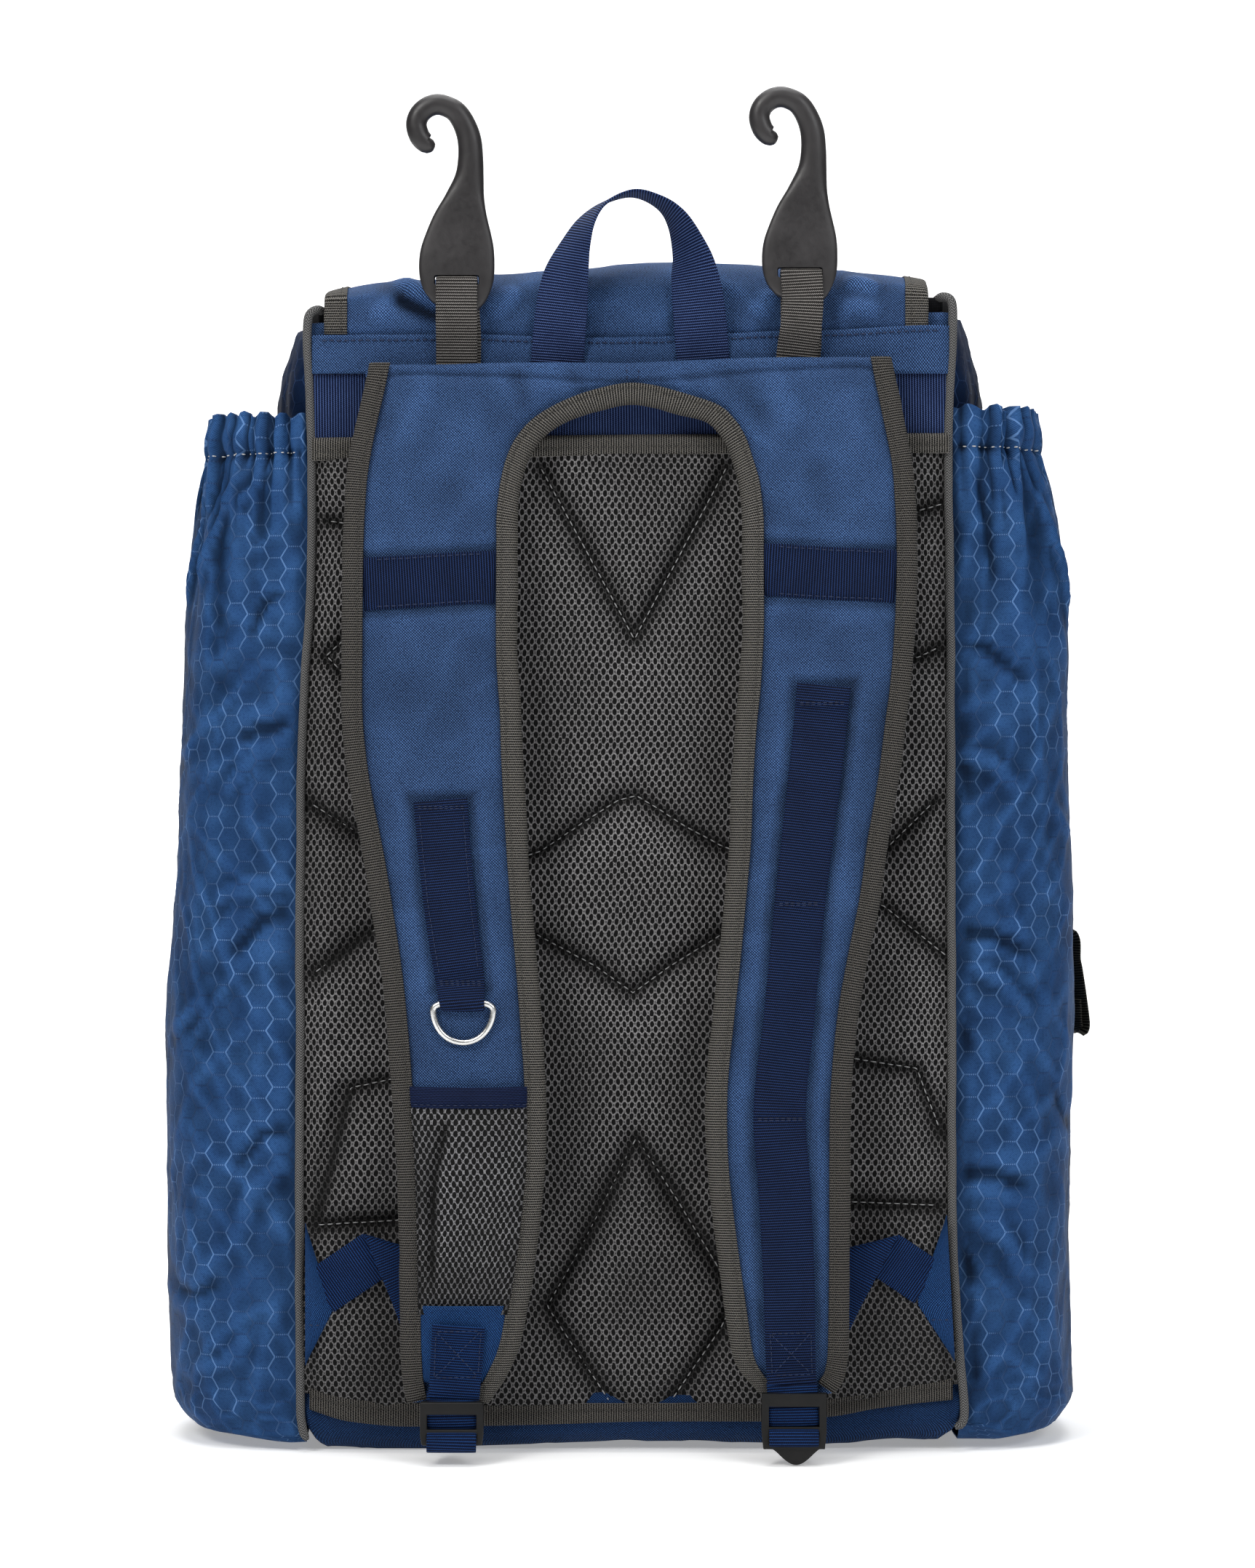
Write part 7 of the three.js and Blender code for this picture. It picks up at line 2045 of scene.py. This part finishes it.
# ------------------------------------------------------------------ stage, lights, camera
def make_stage():
    m = Shade("pale_studio", 0.9, Emission_Color=(1, 1, 1, 1), Emission_Strength=0.3)
    c = m.mix(m.noise(m.obj(), 0.004, 2.0), (0.86, 0.865, 0.87, 1), (0.9, 0.9, 0.9, 1))
    m.finish(c)
    prof = [(-4.0, 0.0), (1.4, 0.0)] + [(1.4 + 1.0 * math.sin(a), 1.0 - 1.0 * math.cos(a)) for a in np.linspace(0.08, math.pi / 2, 14)] + [(2.4, 4.5)]
    xs = [-2.2, 2.2]
    v = [[x, p[0], p[1] - 0.0002] for p in prof for x in xs]
    f = [[2 * i, 2 * i + 1, 2 * i + 3, 2 * i + 2] for i in range(len(prof) - 1)]
    mesh = bpy.data.meshes.new("studio_sweep")
    mesh.from_pydata(v, [], f)
    mesh.materials.append(m.mat)
    mesh.polygons.foreach_set("use_smooth", [True] * len(mesh.polygons))
    o = bpy.data.objects.new("studio_sweep", mesh)
    bpy.context.scene.collection.objects.link(o)


def area(name, loc, target, size, power, colour=(1, 1, 1)):
    d = bpy.data.lights.new(name, "AREA")
    d.shape, d.size, d.size_y, d.energy, d.color = "RECTANGLE", size[0], size[1], power, colour
    o = bpy.data.objects.new(name, d)
    o.location = loc
    from mathutils import Vector
    o.rotation_euler = (Vector(target) - Vector(loc)).to_track_quat("-Z", "Y").to_euler()
    bpy.context.scene.collection.objects.link(o)


make_stage()
area("key_left", (-1.3, -2.1, 2.1), (0, 0, 0.42), (1.0, 1.0), 44, (1.0, 0.99, 0.97))
area("fill_right", (1.5, -2.3, 1.8), (0, 0, 0.42), (1.1, 1.1), 25, (0.97, 0.985, 1.0))
area("top", (0, -0.5, 2.5), (0, -0.1, 0.3), (1.6, 1.0), 30)
area("back_wash", (0, 1.2, 3.4), (0, 2.4, 0.6), (3.0, 1.0), 70)
world = bpy.data.worlds.new("studio_world")
world.use_nodes = True
world.node_tree.nodes["Background"].inputs["Color"].default_value = (0.95, 0.97, 1.0, 1)
world.node_tree.nodes["Background"].inputs["Strength"].default_value = 0.14
bpy.context.scene.world = world
bpy.context.scene.view_settings.view_transform = "Standard"
bpy.context.scene.view_settings.look = "None"
bpy.context.scene.view_settings.exposure = 0.0

cam = bpy.data.cameras.new("camera")
cam.lens, cam.sensor_width, cam.sensor_fit = 100.186, 36.0, "AUTO"
cam.clip_start, cam.clip_end = 0.05, 50
cam.dof.use_dof = False
co = bpy.data.objects.new("camera", cam)
co.location = (-0.00117, -2.100, 0.30733)
co.rotation_euler = (math.pi / 2, 0, 0)
bpy.context.scene.collection.objects.link(co)
bpy.context.scene.camera = co
